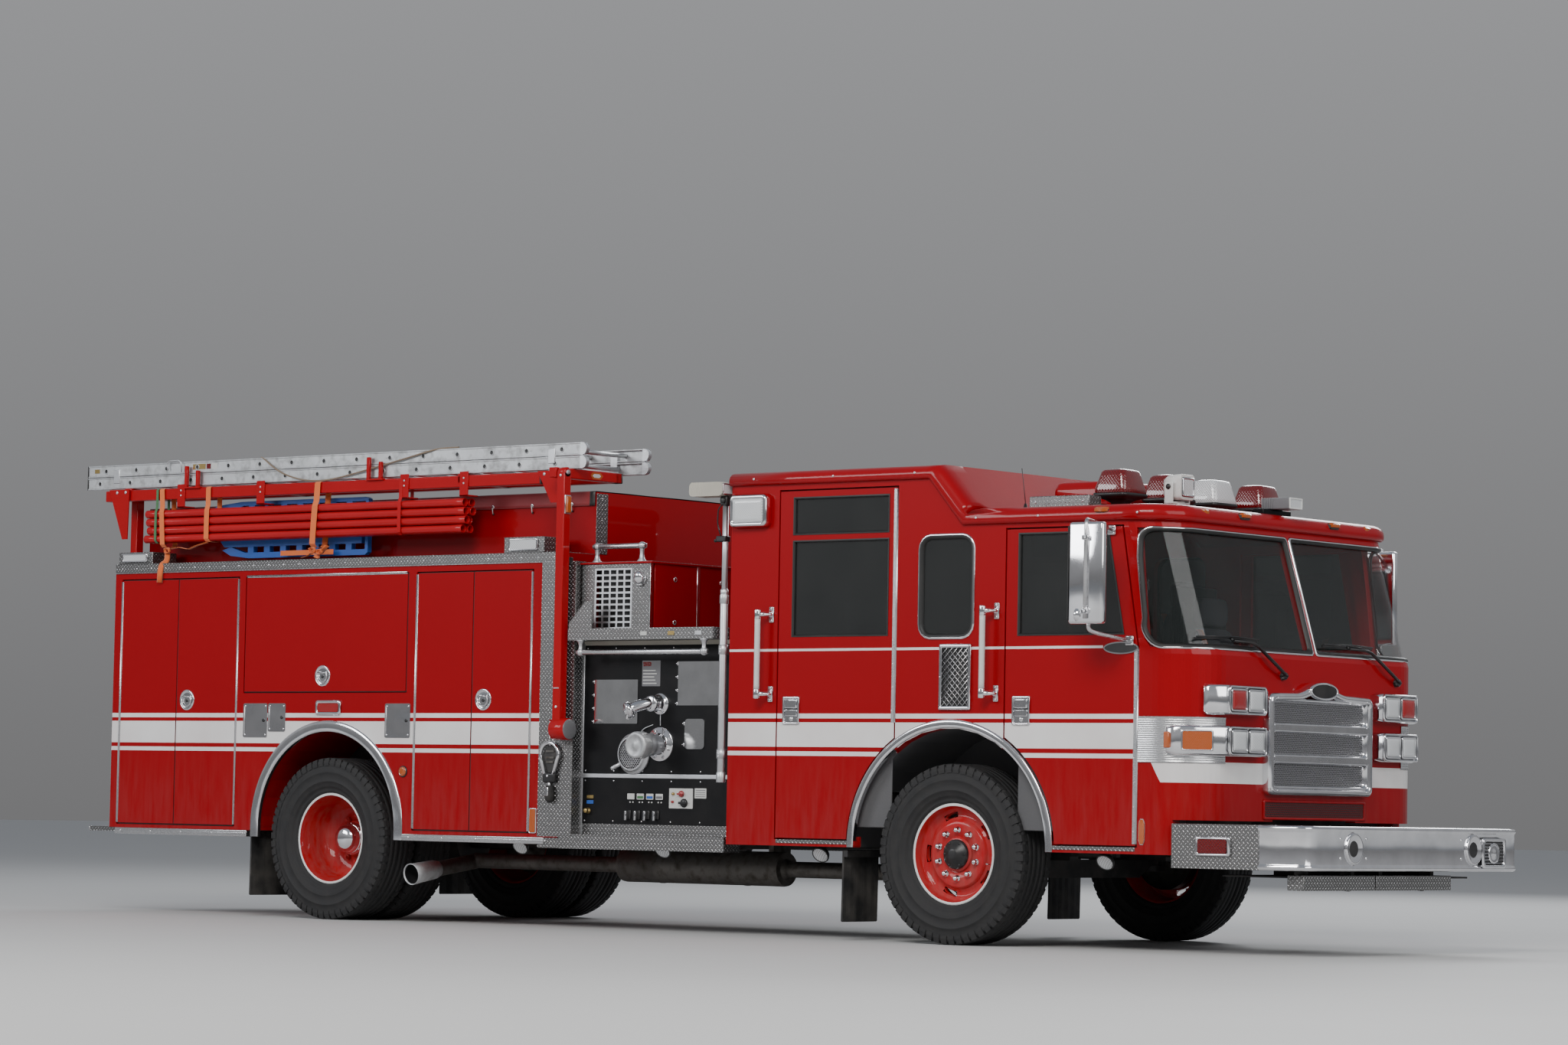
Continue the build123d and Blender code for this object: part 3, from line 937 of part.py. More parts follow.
RACK_FRONT = ARM_FRONT - ARM_SIZE - 6
RACK_REAR = BODY_REAR - ARM_STANDOFF + 6
with BuildPart() as rack_frame:
    half = RACK_TUBE / 2
    top_z = RACK_BOTTOM + RACK_TUBE
    pivot_z = HUB_Z + ARM_LENGTH
    block(RACK_REAR - 195, RACK_FRONT - 272, -RACK_NEAR_Y - half, -RACK_NEAR_Y + half, RACK_BOTTOM - 24,
          top_z - 13)
    block(RACK_REAR, RACK_FRONT, -RACK_FAR_Y - half, -RACK_FAR_Y + half, RACK_BOTTOM, top_z)
    near_edge = RACK_NEAR_Y + half
    for cross_x, outer_y in ((RACK_FRONT - RACK_TUBE, FRONT_ARM_Y + half), (RACK_FRONT - 1000, near_edge),
                             (RACK_REAR + 1300, near_edge), (RACK_REAR, near_edge)):
        block(cross_x, cross_x + RACK_TUBE, -outer_y, -RACK_FAR_Y + half, RACK_BOTTOM, top_z)
    rod((RACK_FRONT - 20, -FRONT_ARM_Y, pivot_z), (ARM_FRONT + 6, -FRONT_ARM_Y, pivot_z), RACK_PIN)
    rod((RACK_REAR + 20, -REAR_ARM_Y, pivot_z), (RACK_REAR - ARM_SIZE - 12, -REAR_ARM_Y, pivot_z), RACK_PIN)
finish(rack_frame, "rack_frame")

# Ladders: a bed section and a fly section stacked on the rack, with their rungs
with BuildPart() as ladders:
    bed_z = RACK_BOTTOM + RACK_TUBE + SEAT_GAP
    for section_z in (bed_z, bed_z + RAIL_HEIGHT + 3):
        for rail_y in (-RACK_NEAR_Y, -LADDER_FAR_Y):
            block(LADDER_REAR, LADDER_REAR + LADDER_LENGTH, rail_y - RAIL_WIDTH / 2, rail_y + RAIL_WIDTH / 2,
                  section_z, section_z + RAIL_HEIGHT)
        for rung in range(int((LADDER_LENGTH - 200) / RUNG_PITCH) + 1):
            rung_x = LADDER_REAR + 130 + rung * RUNG_PITCH
            rod((rung_x, -RACK_NEAR_Y, section_z + RAIL_HEIGHT / 2),
                (rung_x, -LADDER_FAR_Y, section_z + RAIL_HEIGHT / 2), RUNG_RADIUS, flats=RAIL_FLATS)
    for guide_x in (LADDER_REAR + 300, LADDER_REAR + LADDER_LENGTH - 300):
        for rail_y in (-RACK_NEAR_Y, -LADDER_FAR_Y):
            block(guide_x - 30, guide_x + 30, rail_y - RAIL_WIDTH / 2 - 3, rail_y + RAIL_WIDTH / 2 + 3,
                  bed_z + 40, bed_z + 2 * RAIL_HEIGHT - 30)
finish(ladders, "ladders")

# Hard hoses strapped under the rack, two deep, and the board behind them
with BuildPart() as pipes:
    for row in range(PIPE_ROWS):
        for column in range(PIPE_COLUMNS):
            pipe_y = -PIPE_OUTER_Y + column * PIPE_PITCH
            pipe_z = PIPE_BOTTOM + PIPE_RADIUS + row * PIPE_PITCH
            rod((PIPE_FRONT - PIPE_LENGTH, pipe_y, pipe_z), (PIPE_FRONT, pipe_y, pipe_z), PIPE_RADIUS,
                flats=PIPE_FLATS)
            for end_x, inward in ((PIPE_FRONT - PIPE_LENGTH, 1), (PIPE_FRONT, -1)):
                rod((end_x - inward, pipe_y, pipe_z), (end_x + inward * 90, pipe_y, pipe_z), PIPE_RADIUS - 4,
                    Mode.SUBTRACT, PIPE_FLATS)
    strap_outer = -PIPE_OUTER_Y - PIPE_RADIUS
    strap_inner = -PIPE_OUTER_Y + (PIPE_COLUMNS - 1) * PIPE_PITCH + PIPE_RADIUS
    strap_top = RACK_BOTTOM + RACK_TUBE - 13 + SEAT_GAP
    for strap_x in STRAP_X:
        with BuildSketch(Plane.YZ.offset(strap_x - 25)) as loop:
            Polygon((strap_outer - 3, PIPE_BOTTOM - 3), (strap_inner + 3, PIPE_BOTTOM - 3),
                    (strap_inner + 3, strap_top + 4), (strap_outer - 3, strap_top + 4), align=None)
            Polygon((strap_outer + 2, PIPE_BOTTOM + 2), (strap_inner - 2, PIPE_BOTTOM + 2),
                    (strap_inner - 2, strap_top), (strap_outer + 2, strap_top), align=None,
                    mode=Mode.SUBTRACT)
        extrude(loop.sketch, amount=50)
finish(pipes, "pipes")

with BuildPart() as backboard:
    board_y = -PIPE_OUTER_Y + (PIPE_COLUMNS - 1) * PIPE_PITCH + PIPE_RADIUS + 3 + SEAT_GAP
    side_plate([(STRAP_X[2] + 410, 2450), (STRAP_X[2] + 410, 2770), (STRAP_X[1] - 190, 2800),
                (STRAP_X[1] - 190, 2410), (STRAP_X[2] + 250, 2410)], board_y, board_y + 44)
finish(backboard, "backboard")
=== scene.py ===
"""A two-axle fire pumper, dressed for the studio.

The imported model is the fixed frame.  Each class below is one sub-assembly of the
vehicle: it holds its sizes in metres and builds and finishes its own pieces.
"""

from __future__ import annotations

import json
import logging
import math
from dataclasses import dataclass
from enum import Enum
from typing import Any, Callable, Iterable, Sequence

import bmesh
import bpy
from mathutils import Matrix, Vector

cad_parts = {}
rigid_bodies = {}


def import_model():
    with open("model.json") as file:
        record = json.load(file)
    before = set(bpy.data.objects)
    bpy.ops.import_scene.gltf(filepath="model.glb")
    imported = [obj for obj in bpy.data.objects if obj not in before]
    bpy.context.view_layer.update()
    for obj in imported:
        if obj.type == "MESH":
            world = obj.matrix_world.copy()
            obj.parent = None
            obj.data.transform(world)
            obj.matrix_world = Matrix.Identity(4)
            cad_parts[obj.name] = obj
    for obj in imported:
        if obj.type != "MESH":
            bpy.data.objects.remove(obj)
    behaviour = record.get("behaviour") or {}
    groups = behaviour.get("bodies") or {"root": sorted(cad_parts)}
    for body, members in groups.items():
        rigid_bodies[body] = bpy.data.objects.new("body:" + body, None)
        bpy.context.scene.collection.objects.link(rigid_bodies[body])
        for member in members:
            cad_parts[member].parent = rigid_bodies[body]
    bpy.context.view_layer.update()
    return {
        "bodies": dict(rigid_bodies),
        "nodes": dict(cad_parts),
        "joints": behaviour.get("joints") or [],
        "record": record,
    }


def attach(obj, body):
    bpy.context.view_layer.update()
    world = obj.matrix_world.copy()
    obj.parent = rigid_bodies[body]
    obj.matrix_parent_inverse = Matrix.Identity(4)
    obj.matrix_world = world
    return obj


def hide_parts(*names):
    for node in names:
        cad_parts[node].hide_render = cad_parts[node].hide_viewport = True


log = logging.getLogger("pumper")
Point = tuple[float, float, float]
Flat = tuple[float, float]
Colour = tuple[float, float, float]
X_AXIS: Point = (1, 0, 0)
Y_AXIS: Point = (0, 1, 0)
Z_AXIS: Point = (0, 0, 1)
RIGHTWARD: Point = (0, -1, 0)
SQUARE_ON = 0.72
TINY = 1e-6


class Side(Enum):
    """The two sides of the vehicle, by the sign of Y."""

    RIGHT = -1
    LEFT = 1

    @property
    def word(self) -> str:
        """The side's name as the nodes spell it."""
        return self.name.lower()


# Shader maths


def operators(operation: str) -> tuple[Callable[..., "Value"], Callable[..., "Value"]]:
    """An arithmetic operator over Math nodes, and its reflected twin.

    Args:
        operation: The Math node's operation.

    Returns:
        The method for a value on the left, and the one for a value on the right.
    """
    return (lambda self, other: self.math(operation, self, other),
            lambda self, other: self.math(operation, other, self))


class Value:
    """A shader socket that takes part in Python arithmetic."""

    __add__, __radd__ = operators("ADD")
    __sub__, __rsub__ = operators("SUBTRACT")
    __mul__, __rmul__ = operators("MULTIPLY")
    __truediv__, _ = operators("DIVIDE")
    __pow__, _ = operators("POWER")
    __gt__, _ = operators("GREATER_THAN")
    __lt__, _ = operators("LESS_THAN")

    def __init__(self, graph: "Graph", socket: bpy.types.NodeSocket) -> None:
        """Wraps a socket.

        Args:
            graph: The node tree that the socket belongs to.
            socket: An output socket.
        """
        self.graph, self.socket = graph, socket

    def math(self, operation: str, *terms: Any, clamp: bool = False) -> "Value":
        """Adds one Math node over these terms."""
        return self.graph.node("ShaderNodeMath", list(terms), operation=operation, use_clamp=clamp)

    def __abs__(self) -> "Value":
        """Size without sign."""
        return self.math("ABSOLUTE", self)

    def floor(self) -> "Value":
        """Whole part."""
        return self.math("FLOOR", self)

    def fract(self) -> "Value":
        """Part after the point."""
        return self.math("FRACT", self)

    def wrap(self, low: float, high: float) -> "Value":
        """Brings the value round into a range."""
        return self.math("WRAP", self, high, low)

    def sine(self) -> "Value":
        """Sine."""
        return self.math("SINE", self)

    def clamp(self) -> "Value":
        """Held between zero and one."""
        return self.math("ADD", self, 0.0, clamp=True)

    def within(self, low: float, high: float) -> "Value":
        """One inside a range, nought outside it."""
        return (self > low) * (self < high)

    def ramp(self, low: float, high: float) -> "Value":
        """Rises from nought at low to one at high."""
        return ((self - low) / (high - low)).clamp()


class Graph:
    """The node tree of one material, with its shading point already taken apart."""

    def __init__(self, name: str) -> None:
        """Starts an empty material.

        Args:
            name: The material's name.
        """
        self.material = bpy.data.materials.new(name)
        self.material.use_nodes = True
        self.tree = self.material.node_tree
        self.tree.nodes.clear()
        self.where = self.node("ShaderNodeTexCoord", output="Object")
        self.x, self.y, self.z = self.split(self.where)
        self._facing: tuple[Value, Value, Value] | None = None

    def node(self, kind: str, inputs: Any = (), output: Any = 0, stops: Any = None, **settings: Any) -> Value:
        """Adds one node of any type.

        Args:
            kind: The node's type.
            inputs: Values or links for its sockets, as a list in order or a dict by name.
            output: The output socket to hand back, by number or name.
            stops: A colour ramp's stops as (place, colour).
            **settings: Properties of the node, set before its sockets.

        Returns:
            The output socket, wrapped.
        """
        made = self.tree.nodes.new(kind)
        for key, value in settings.items():
            setattr(made, key, value)
        if stops is not None:
            ramp = made.color_ramp
            while len(ramp.elements) < len(stops):
                ramp.elements.new(0.5)
            for element, (place, colour) in zip(ramp.elements, stops):
                element.position = place
                element.color = (*colour, 1.0)
        pairs = inputs.items() if isinstance(inputs, dict) else enumerate(inputs)
        for key, value in pairs:
            if isinstance(value, Value):
                self.tree.links.new(value.socket, made.inputs[key])
            elif value is not None:
                target = made.inputs[key]
                if isinstance(value, tuple) and len(value) == 3 and target.type == "RGBA":
                    value = (*value, 1.0)
                target.default_value = value
        return Value(self, made.outputs[output])

    def split(self, vector: Value) -> tuple[Value, Value, Value]:
        """Takes a vector apart into its three numbers."""
        parts = self.node("ShaderNodeSeparateXYZ", [vector])
        sockets = parts.socket.node.outputs
        return Value(self, sockets[0]), Value(self, sockets[1]), Value(self, sockets[2])

    @property
    def facing(self) -> tuple[Value, Value, Value]:
        """The surface normal in the piece's own frame, taken apart."""
        if self._facing is None:
            self._facing = self.split(self.node("ShaderNodeTexCoord", output="Normal"))
        return self._facing

    def flat(self) -> tuple[Value, Value]:
        """Two coordinates that lie in whichever main plane the surface faces."""
        across, _, up = self.facing
        faces_x = abs(across) > SQUARE_ON
        faces_z = abs(up) > SQUARE_ON
        u = self.x * (1 - faces_x) + self.y * faces_x
        v = self.z * (1 - faces_z) + self.y * faces_z
        return u, v

    def noise(self, scale: float, detail: float = 4.0, stretch: Point = (1.0, 1.0, 1.0),
              rough: float = 0.55) -> Value:
        """Smooth noise over the piece.

        Args:
            scale: Cycles in a metre.
            detail: Number of octaves.
            stretch: Factor on each axis before the noise is read.
            rough: How strong the finer octaves are.

        Returns:
            A number from nought to one.
        """
        place = self.node("ShaderNodeMapping", {"Vector": self.where, "Scale": stretch})
        return self.node("ShaderNodeTexNoise",
                         {"Vector": place, "Scale": scale, "Detail": detail, "Roughness": rough})

    def cells(self, scale: float, stretch: Point = (1.0, 1.0, 1.0), output: str = "Distance") -> Value:
        """Voronoi cells over the piece."""
        place = self.node("ShaderNodeMapping", {"Vector": self.where, "Scale": stretch})
        return self.node("ShaderNodeTexVoronoi", {"Vector": place, "Scale": scale}, output=output)

    def mix(self, factor: Any, first: Any, second: Any) -> Value:
        """Blends two colours.

        Args:
            factor: How much of the second shows.
            first: A colour or a link.
            second: A colour or a link.

        Returns:
            The blended colour.
        """
        made = self.node("ShaderNodeMix", {0: factor}, output=2, data_type="RGBA")
        for number, colour in ((6, first), (7, second)):
            target = made.socket.node.inputs[number]
            if isinstance(colour, Value):
                self.tree.links.new(colour.socket, target)
            else:
                target.default_value = (*colour, 1.0)
        return made

    def bump(self, height: Value, strength: float, depth: float, under: Value | None = None) -> Value:
        """A bumped normal from a height."""
        inputs: dict[str, Any] = {"Height": height, "Strength": strength, "Distance": depth}
        if under is not None:
            inputs["Normal"] = under
        return self.node("ShaderNodeBump", inputs)

    def close(self, **sockets: Any) -> bpy.types.Material:
        """Ends the tree in one Principled surface.

        Args:
            **sockets: Principled inputs, with spaces written as underscores.

        Returns:
            The finished material.
        """
        named = {key.replace("_", " "): value for key, value in sockets.items()}
        surface = self.node("ShaderNodeBsdfPrincipled", named)
        self.node_output(surface)
        return self.material

    def node_output(self, surface: Value) -> None:
        """Links a shader to the material's output."""
        made = self.tree.nodes.new("ShaderNodeOutputMaterial")
        self.tree.links.new(surface.socket, made.inputs["Surface"])


# Finishes

RED: Colour = (0.300, 0.0015, 0.006)
WHITE: Colour = (0.80, 0.80, 0.79)
BANDS: tuple[Flat, ...] = ((1.103, 1.130), (1.157, 1.305), (1.329, 1.358))
BANDS_TO = 3.955
FLANK_Y = 1.19


@dataclass(frozen=True)
class Finish:
    """A finish that is made once and then shared by every piece that wears it."""

    name: str

    def material(self) -> bpy.types.Material:
        """The finish's material, made on first use."""
        found = bpy.data.materials.get(self.name)
        return found if found else self.make(Graph(self.name))

    def make(self, g: Graph) -> bpy.types.Material:
        """Fills the tree; each kind of finish has its own."""
        raise NotImplementedError


@dataclass(frozen=True)
class Enamel(Finish):
    """Gloss coachwork enamel with a clear coat, faint orange peel and road film low down."""

    colour: Colour = RED
    gloss: float = 0.22
    film: float = 0.12

    def body_colour(self, g: Graph) -> Any:
        """The colour or the link to it, before shading."""
        return self.colour

    def make(self, g: Graph) -> bpy.types.Material:
        """Builds the enamel."""
        colour = self.body_colour(g)
        cloud = g.noise(1.7, 3.0)
        deep = tuple(c * 0.86 for c in self.colour)
        if isinstance(colour, Value):
            tone = g.mix(cloud.ramp(0.3, 0.75) * 0.30, colour, g.mix(0.75, colour, deep))
        else:
            tone = g.mix(cloud.ramp(0.3, 0.75), colour, deep)
        streak = g.noise(9.0, 5.0, (2.5, 2.5, 0.35))
        low = (1.0 - g.z.ramp(0.55, 1.25)) * streak.ramp(0.35, 0.8) * self.film
        tone = g.mix(low, tone, (0.23, 0.19, 0.16))
        rough = self.gloss + streak * 0.06 + low * 0.5
        peel = g.noise(160.0, 2.0)
        return g.close(
            Base_Color=tone, Roughness=rough + 0.1, Coat_Weight=0.38 - low * 0.30, Coat_Roughness=0.03,
            Specular_IOR_Level=0.08, Metallic=0.0, Normal=g.bump(peel, 0.035, 0.002),
        )


@dataclass(frozen=True)
class Livery(Enamel):
    """Red enamel that carries the white reflective side bands."""

    line: tuple[float, float] = (1.735, 1.750)
    line_from: float = 0.908
    line_to: float = 3.705

    def body_colour(self, g: Graph) -> Any:
        """Red with the bands laid on the faces that look sideways."""
        _, sideways, _ = g.facing
        flank = (abs(sideways) > 0.8) * (abs(g.y) > FLANK_Y)
        bands: Any = 0.0
        for low, high in BANDS:
            bands = g.z.within(low, high) + bands
        bands = bands * (g.x < BANDS_TO)
        line = g.z.within(*self.line) * g.x.within(self.line_from, self.line_to)
        mask = (bands + line).clamp() * flank
        return g.mix(mask, self.colour, WHITE)


@dataclass(frozen=True)
class NoseLivery(Enamel):
    """Red enamel with the white chevron band that sweeps round the cab's corner."""

    band: tuple[float, float] = (0.970, 1.090)
    starts: float = 4.044

    def body_colour(self, g: Graph) -> Any:
        """Red with the chevron, whose rear end is cut on a slant."""
        tip = g.x - (self.starts + (self.band[1] - g.z) * 0.55)
        mask = g.z.within(*self.band) * (tip > 0)
        back = (g.x < BANDS_TO) * (abs(g.y) > FLANK_Y)
        for low, high in BANDS:
            mask = mask + g.z.within(low, high) * back
        return g.mix(mask.clamp(), self.colour, WHITE)


@dataclass(frozen=True)
class Metal(Finish):
    """Polished, brushed or cast metal with smudges and fine grain."""

    colour: Colour = (0.78, 0.78, 0.80)
    rough: float = 0.07
    grain: float = 0.0
    smudge: float = 0.10
    stretch: Point = (1.0, 1.0, 40.0)
    dirt: float = 0.0
    ripple: float = 0.0

    def make(self, g: Graph) -> bpy.types.Material:
        """Builds the metal, with the long ripples that pressed sheet has."""
        haze = g.noise(7.0, 5.0)
        lines = g.noise(60.0, 3.0, self.stretch)
        rough = self.rough + haze.ramp(0.45, 0.9) * self.smudge + lines * self.grain
        dull = tuple(c * 0.80 for c in self.colour)
        tone = g.mix(haze.ramp(0.35, 0.8), self.colour, dull)
        if self.dirt:
            grime = g.noise(16.0, 6.0).ramp(0.48, 0.8) * self.dirt
            tone = g.mix(grime, tone, (0.10, 0.085, 0.07))
            rough = rough + grime * 0.4
        return g.close(
            Base_Color=tone, Metallic=1.0, Roughness=rough,
            Normal=g.bump(lines, 0.05 + self.grain * 0.5, 0.001,
                          g.bump(g.noise(3.2, 1.0), self.ripple, 0.02)),
        )


@dataclass(frozen=True)
class TreadPlate(Finish):
    """Bright checker plate: raised lozenges that lean one way and then the other."""

    pitch: float = 0.029
    colour: Colour = (0.74, 0.74, 0.75)

    def make(self, g: Graph) -> bpy.types.Material:
        """Builds the plate's lozenges from the plane that each face lies in."""
        u, v = g.flat()
        p = (u + v) / self.pitch
        q = (u - v) / self.pitch
        odd = ((p.floor() + q.floor()) * 0.5).fract() * 2.0
        a = p.fract() - 0.5
        b = q.fract() - 0.5
        along = a * odd + b * (1 - odd)
        across = b * odd + a * (1 - odd)
        oval = 1.0 - ((along / 0.46) ** 2.0 + (across / 0.15) ** 2.0)
        lug = oval.clamp() ** 0.6
        haze = g.noise(6.0, 5.0)
        tone = g.mix(haze.ramp(0.3, 0.8), self.colour, tuple(c * 0.72 for c in self.colour))
        # Painted shade: the flat between the lozenges is darkened almost to black.
        tone = g.mix((1.0 - lug) * 0.88, tone, (0.13, 0.127, 0.122))
        rough = 0.34 - lug * 0.16 + haze * 0.1
        return g.close(Base_Color=tone, Metallic=1.0, Roughness=rough, Normal=g.bump(lug, 0.85, 0.004))


@dataclass(frozen=True)
class Plastic(Finish):
    """Moulded plastic, painted steel or rubber, with a pebble grain and a little dust."""

    colour: Colour = (0.02, 0.02, 0.022)
    rough: float = 0.5
    grain: float = 0.25
    size: float = 320.0
    dust: float = 0.2
    dust_colour: Colour = (0.20, 0.18, 0.16)
    coat: float = 0.0
    shine: float = 0.5

    def make(self, g: Graph) -> bpy.types.Material:
        """Builds the surface."""
        pebble = g.noise(self.size, 3.0)
        settle = g.noise(5.0, 6.0).ramp(0.42, 0.85) * self.dust
        tone = g.mix(pebble.ramp(0.3, 0.7), self.colour, tuple(c * 0.75 for c in self.colour))
        tone = g.mix(settle, tone, self.dust_colour)
        return g.close(
            Base_Color=tone, Roughness=self.rough + settle * 0.4, Coat_Weight=self.coat,
            Specular_IOR_Level=self.shine,
            Normal=g.bump(pebble, self.grain, 0.001),
        )


@dataclass(frozen=True)
class TyreRubber(Finish):
    """Tyre rubber with a fine grit and patches of grey dust; the side wall's rings are in the tyre's shape.
    """

    colour: Colour = (0.012, 0.012, 0.013)

    def make(self, g: Graph) -> bpy.types.Material:
        """Builds the rubber, with grit and dust."""
        grit = g.noise(220.0, 4.0)
        dust = g.noise(14.0, 6.0).ramp(0.4, 0.8)
        tone = g.mix(dust * 0.4, self.colour, (0.050, 0.047, 0.044))
        tone = g.mix(grit.ramp(0.5, 0.9) * 0.25, tone, (0.036, 0.035, 0.034))
        return g.close(Base_Color=tone, Roughness=0.72 + dust * 0.15, Normal=g.bump(grit, 0.22, 0.002))


@dataclass(frozen=True)
class Lens(Finish):
    """A moulded lamp lens, ribbed on its inside."""

    colour: Colour = (0.60, 0.02, 0.015)
    ribs: float = 110.0
    clear: float = 0.25

    def make(self, g: Graph) -> bpy.types.Material:
        """Builds the lens."""
        u, v = g.flat()
        ribs = (u * self.ribs * 6.283).sine() * (v * self.ribs * 6.283).sine()
        tone = g.mix(ribs.ramp(-0.6, 0.9), tuple(c * 0.55 for c in self.colour), self.colour)
        return g.close(
            Base_Color=tone, Roughness=0.12 + g.noise(30.0) * 0.04, Coat_Weight=1.0, Coat_Roughness=0.03,
            Transmission_Weight=self.clear, IOR=1.48, Normal=g.bump(ribs, 0.25, 0.002),
        )


@dataclass(frozen=True)
class Pane(Finish):
    """Window glass, with the tint of its own sheet and a light film of dust."""

    tint: Colour = (0.020, 0.028, 0.026)
    opaque: float = 0.16

    def make(self, g: Graph) -> bpy.types.Material:
        """Builds the glass."""
        film = g.noise(3.5, 6.0)
        return g.close(
            Base_Color=g.mix(film * 0.03, self.tint, (0.5, 0.5, 0.48)), Roughness=0.015 + film * 0.03,
            Alpha=self.opaque + film * 0.06, Coat_Weight=1.0, Coat_Roughness=0.02, IOR=1.5,
            Specular_IOR_Level=0.8,
        )


@dataclass(frozen=True)
class Cloth(Finish):
    """Woven or coated cloth: two sets of threads with painted shade between them, soft wear and folds as
    bumps.
    """

    colour: Colour = (0.40, 0.012, 0.018)
    threads: float = 420.0
    rough: float = 0.62
    sheen: float = 0.25
    wear: Colour = (0.50, 0.08, 0.07)

    def make(self, g: Graph) -> bpy.types.Material:
        """Builds the weave in the plane that the cloth faces."""
        u, v = g.flat()
        weft = (u * self.threads * 3.1416).sine()
        warp = (v * self.threads * 3.1416).sine()
        over = ((u * self.threads).floor() + (v * self.threads).floor()) * 0.5
        turn = over.fract() * 2.0
        weave = abs(weft) * turn + abs(warp) * (1 - turn)
        old = g.noise(4.0, 6.0).ramp(0.45, 0.85)
        tone = g.mix(old * 0.35, self.colour, self.wear)
        # Painted shade: darker between the threads.
        tone = g.mix((1 - weave) * 0.35, tone, tuple(c * 0.45 for c in self.colour))
        return g.close(
            Base_Color=tone, Roughness=self.rough + old * 0.12, Sheen_Weight=self.sheen,
            Normal=g.bump(weave, 0.35, 0.001, g.bump(g.noise(11.0, 4.0), 0.25, 0.01)),
        )


@dataclass(frozen=True)
class Mesh(Finish):
    """A plate of round-cornered holes, as in a stamped grille, with the holes painted dark as painted shade.
    """

    pitch: float = 0.018
    hole: float = 0.41
    colour: Colour = (0.70, 0.70, 0.72)
    # Painted shade: the colour painted inside the holes.
    behind: Colour = (0.012, 0.012, 0.013)
    metal: float = 1.0
    aspect: float = 0.6

    def make(self, g: Graph) -> bpy.types.Material:
        """Builds staggered holes in the plane that each face lies in."""
        u, v = g.flat()
        row = v / (self.pitch * self.aspect)
        shift = (row.floor() * 0.5).fract()
        a = (u / self.pitch + shift).fract() - 0.5
        b = row.fract() - 0.5
        away = ((abs(a) / self.hole) ** 2.2 + (abs(b) / self.hole) ** 2.2)
        rim = away.ramp(0.75, 1.15)
        haze = g.noise(9.0, 5.0)
        # Painted shade: inside the holes the plate takes the dark hole colour.
        tone = g.mix(rim, self.behind, g.mix(haze * 0.4, self.colour, tuple(c * 0.6 for c in self.colour)))
        return g.close(
            Base_Color=tone, Metallic=rim * self.metal, Roughness=0.55 - rim * 0.33 + haze * 0.05,
            Normal=g.bump(rim, 0.9, 0.004),
        )


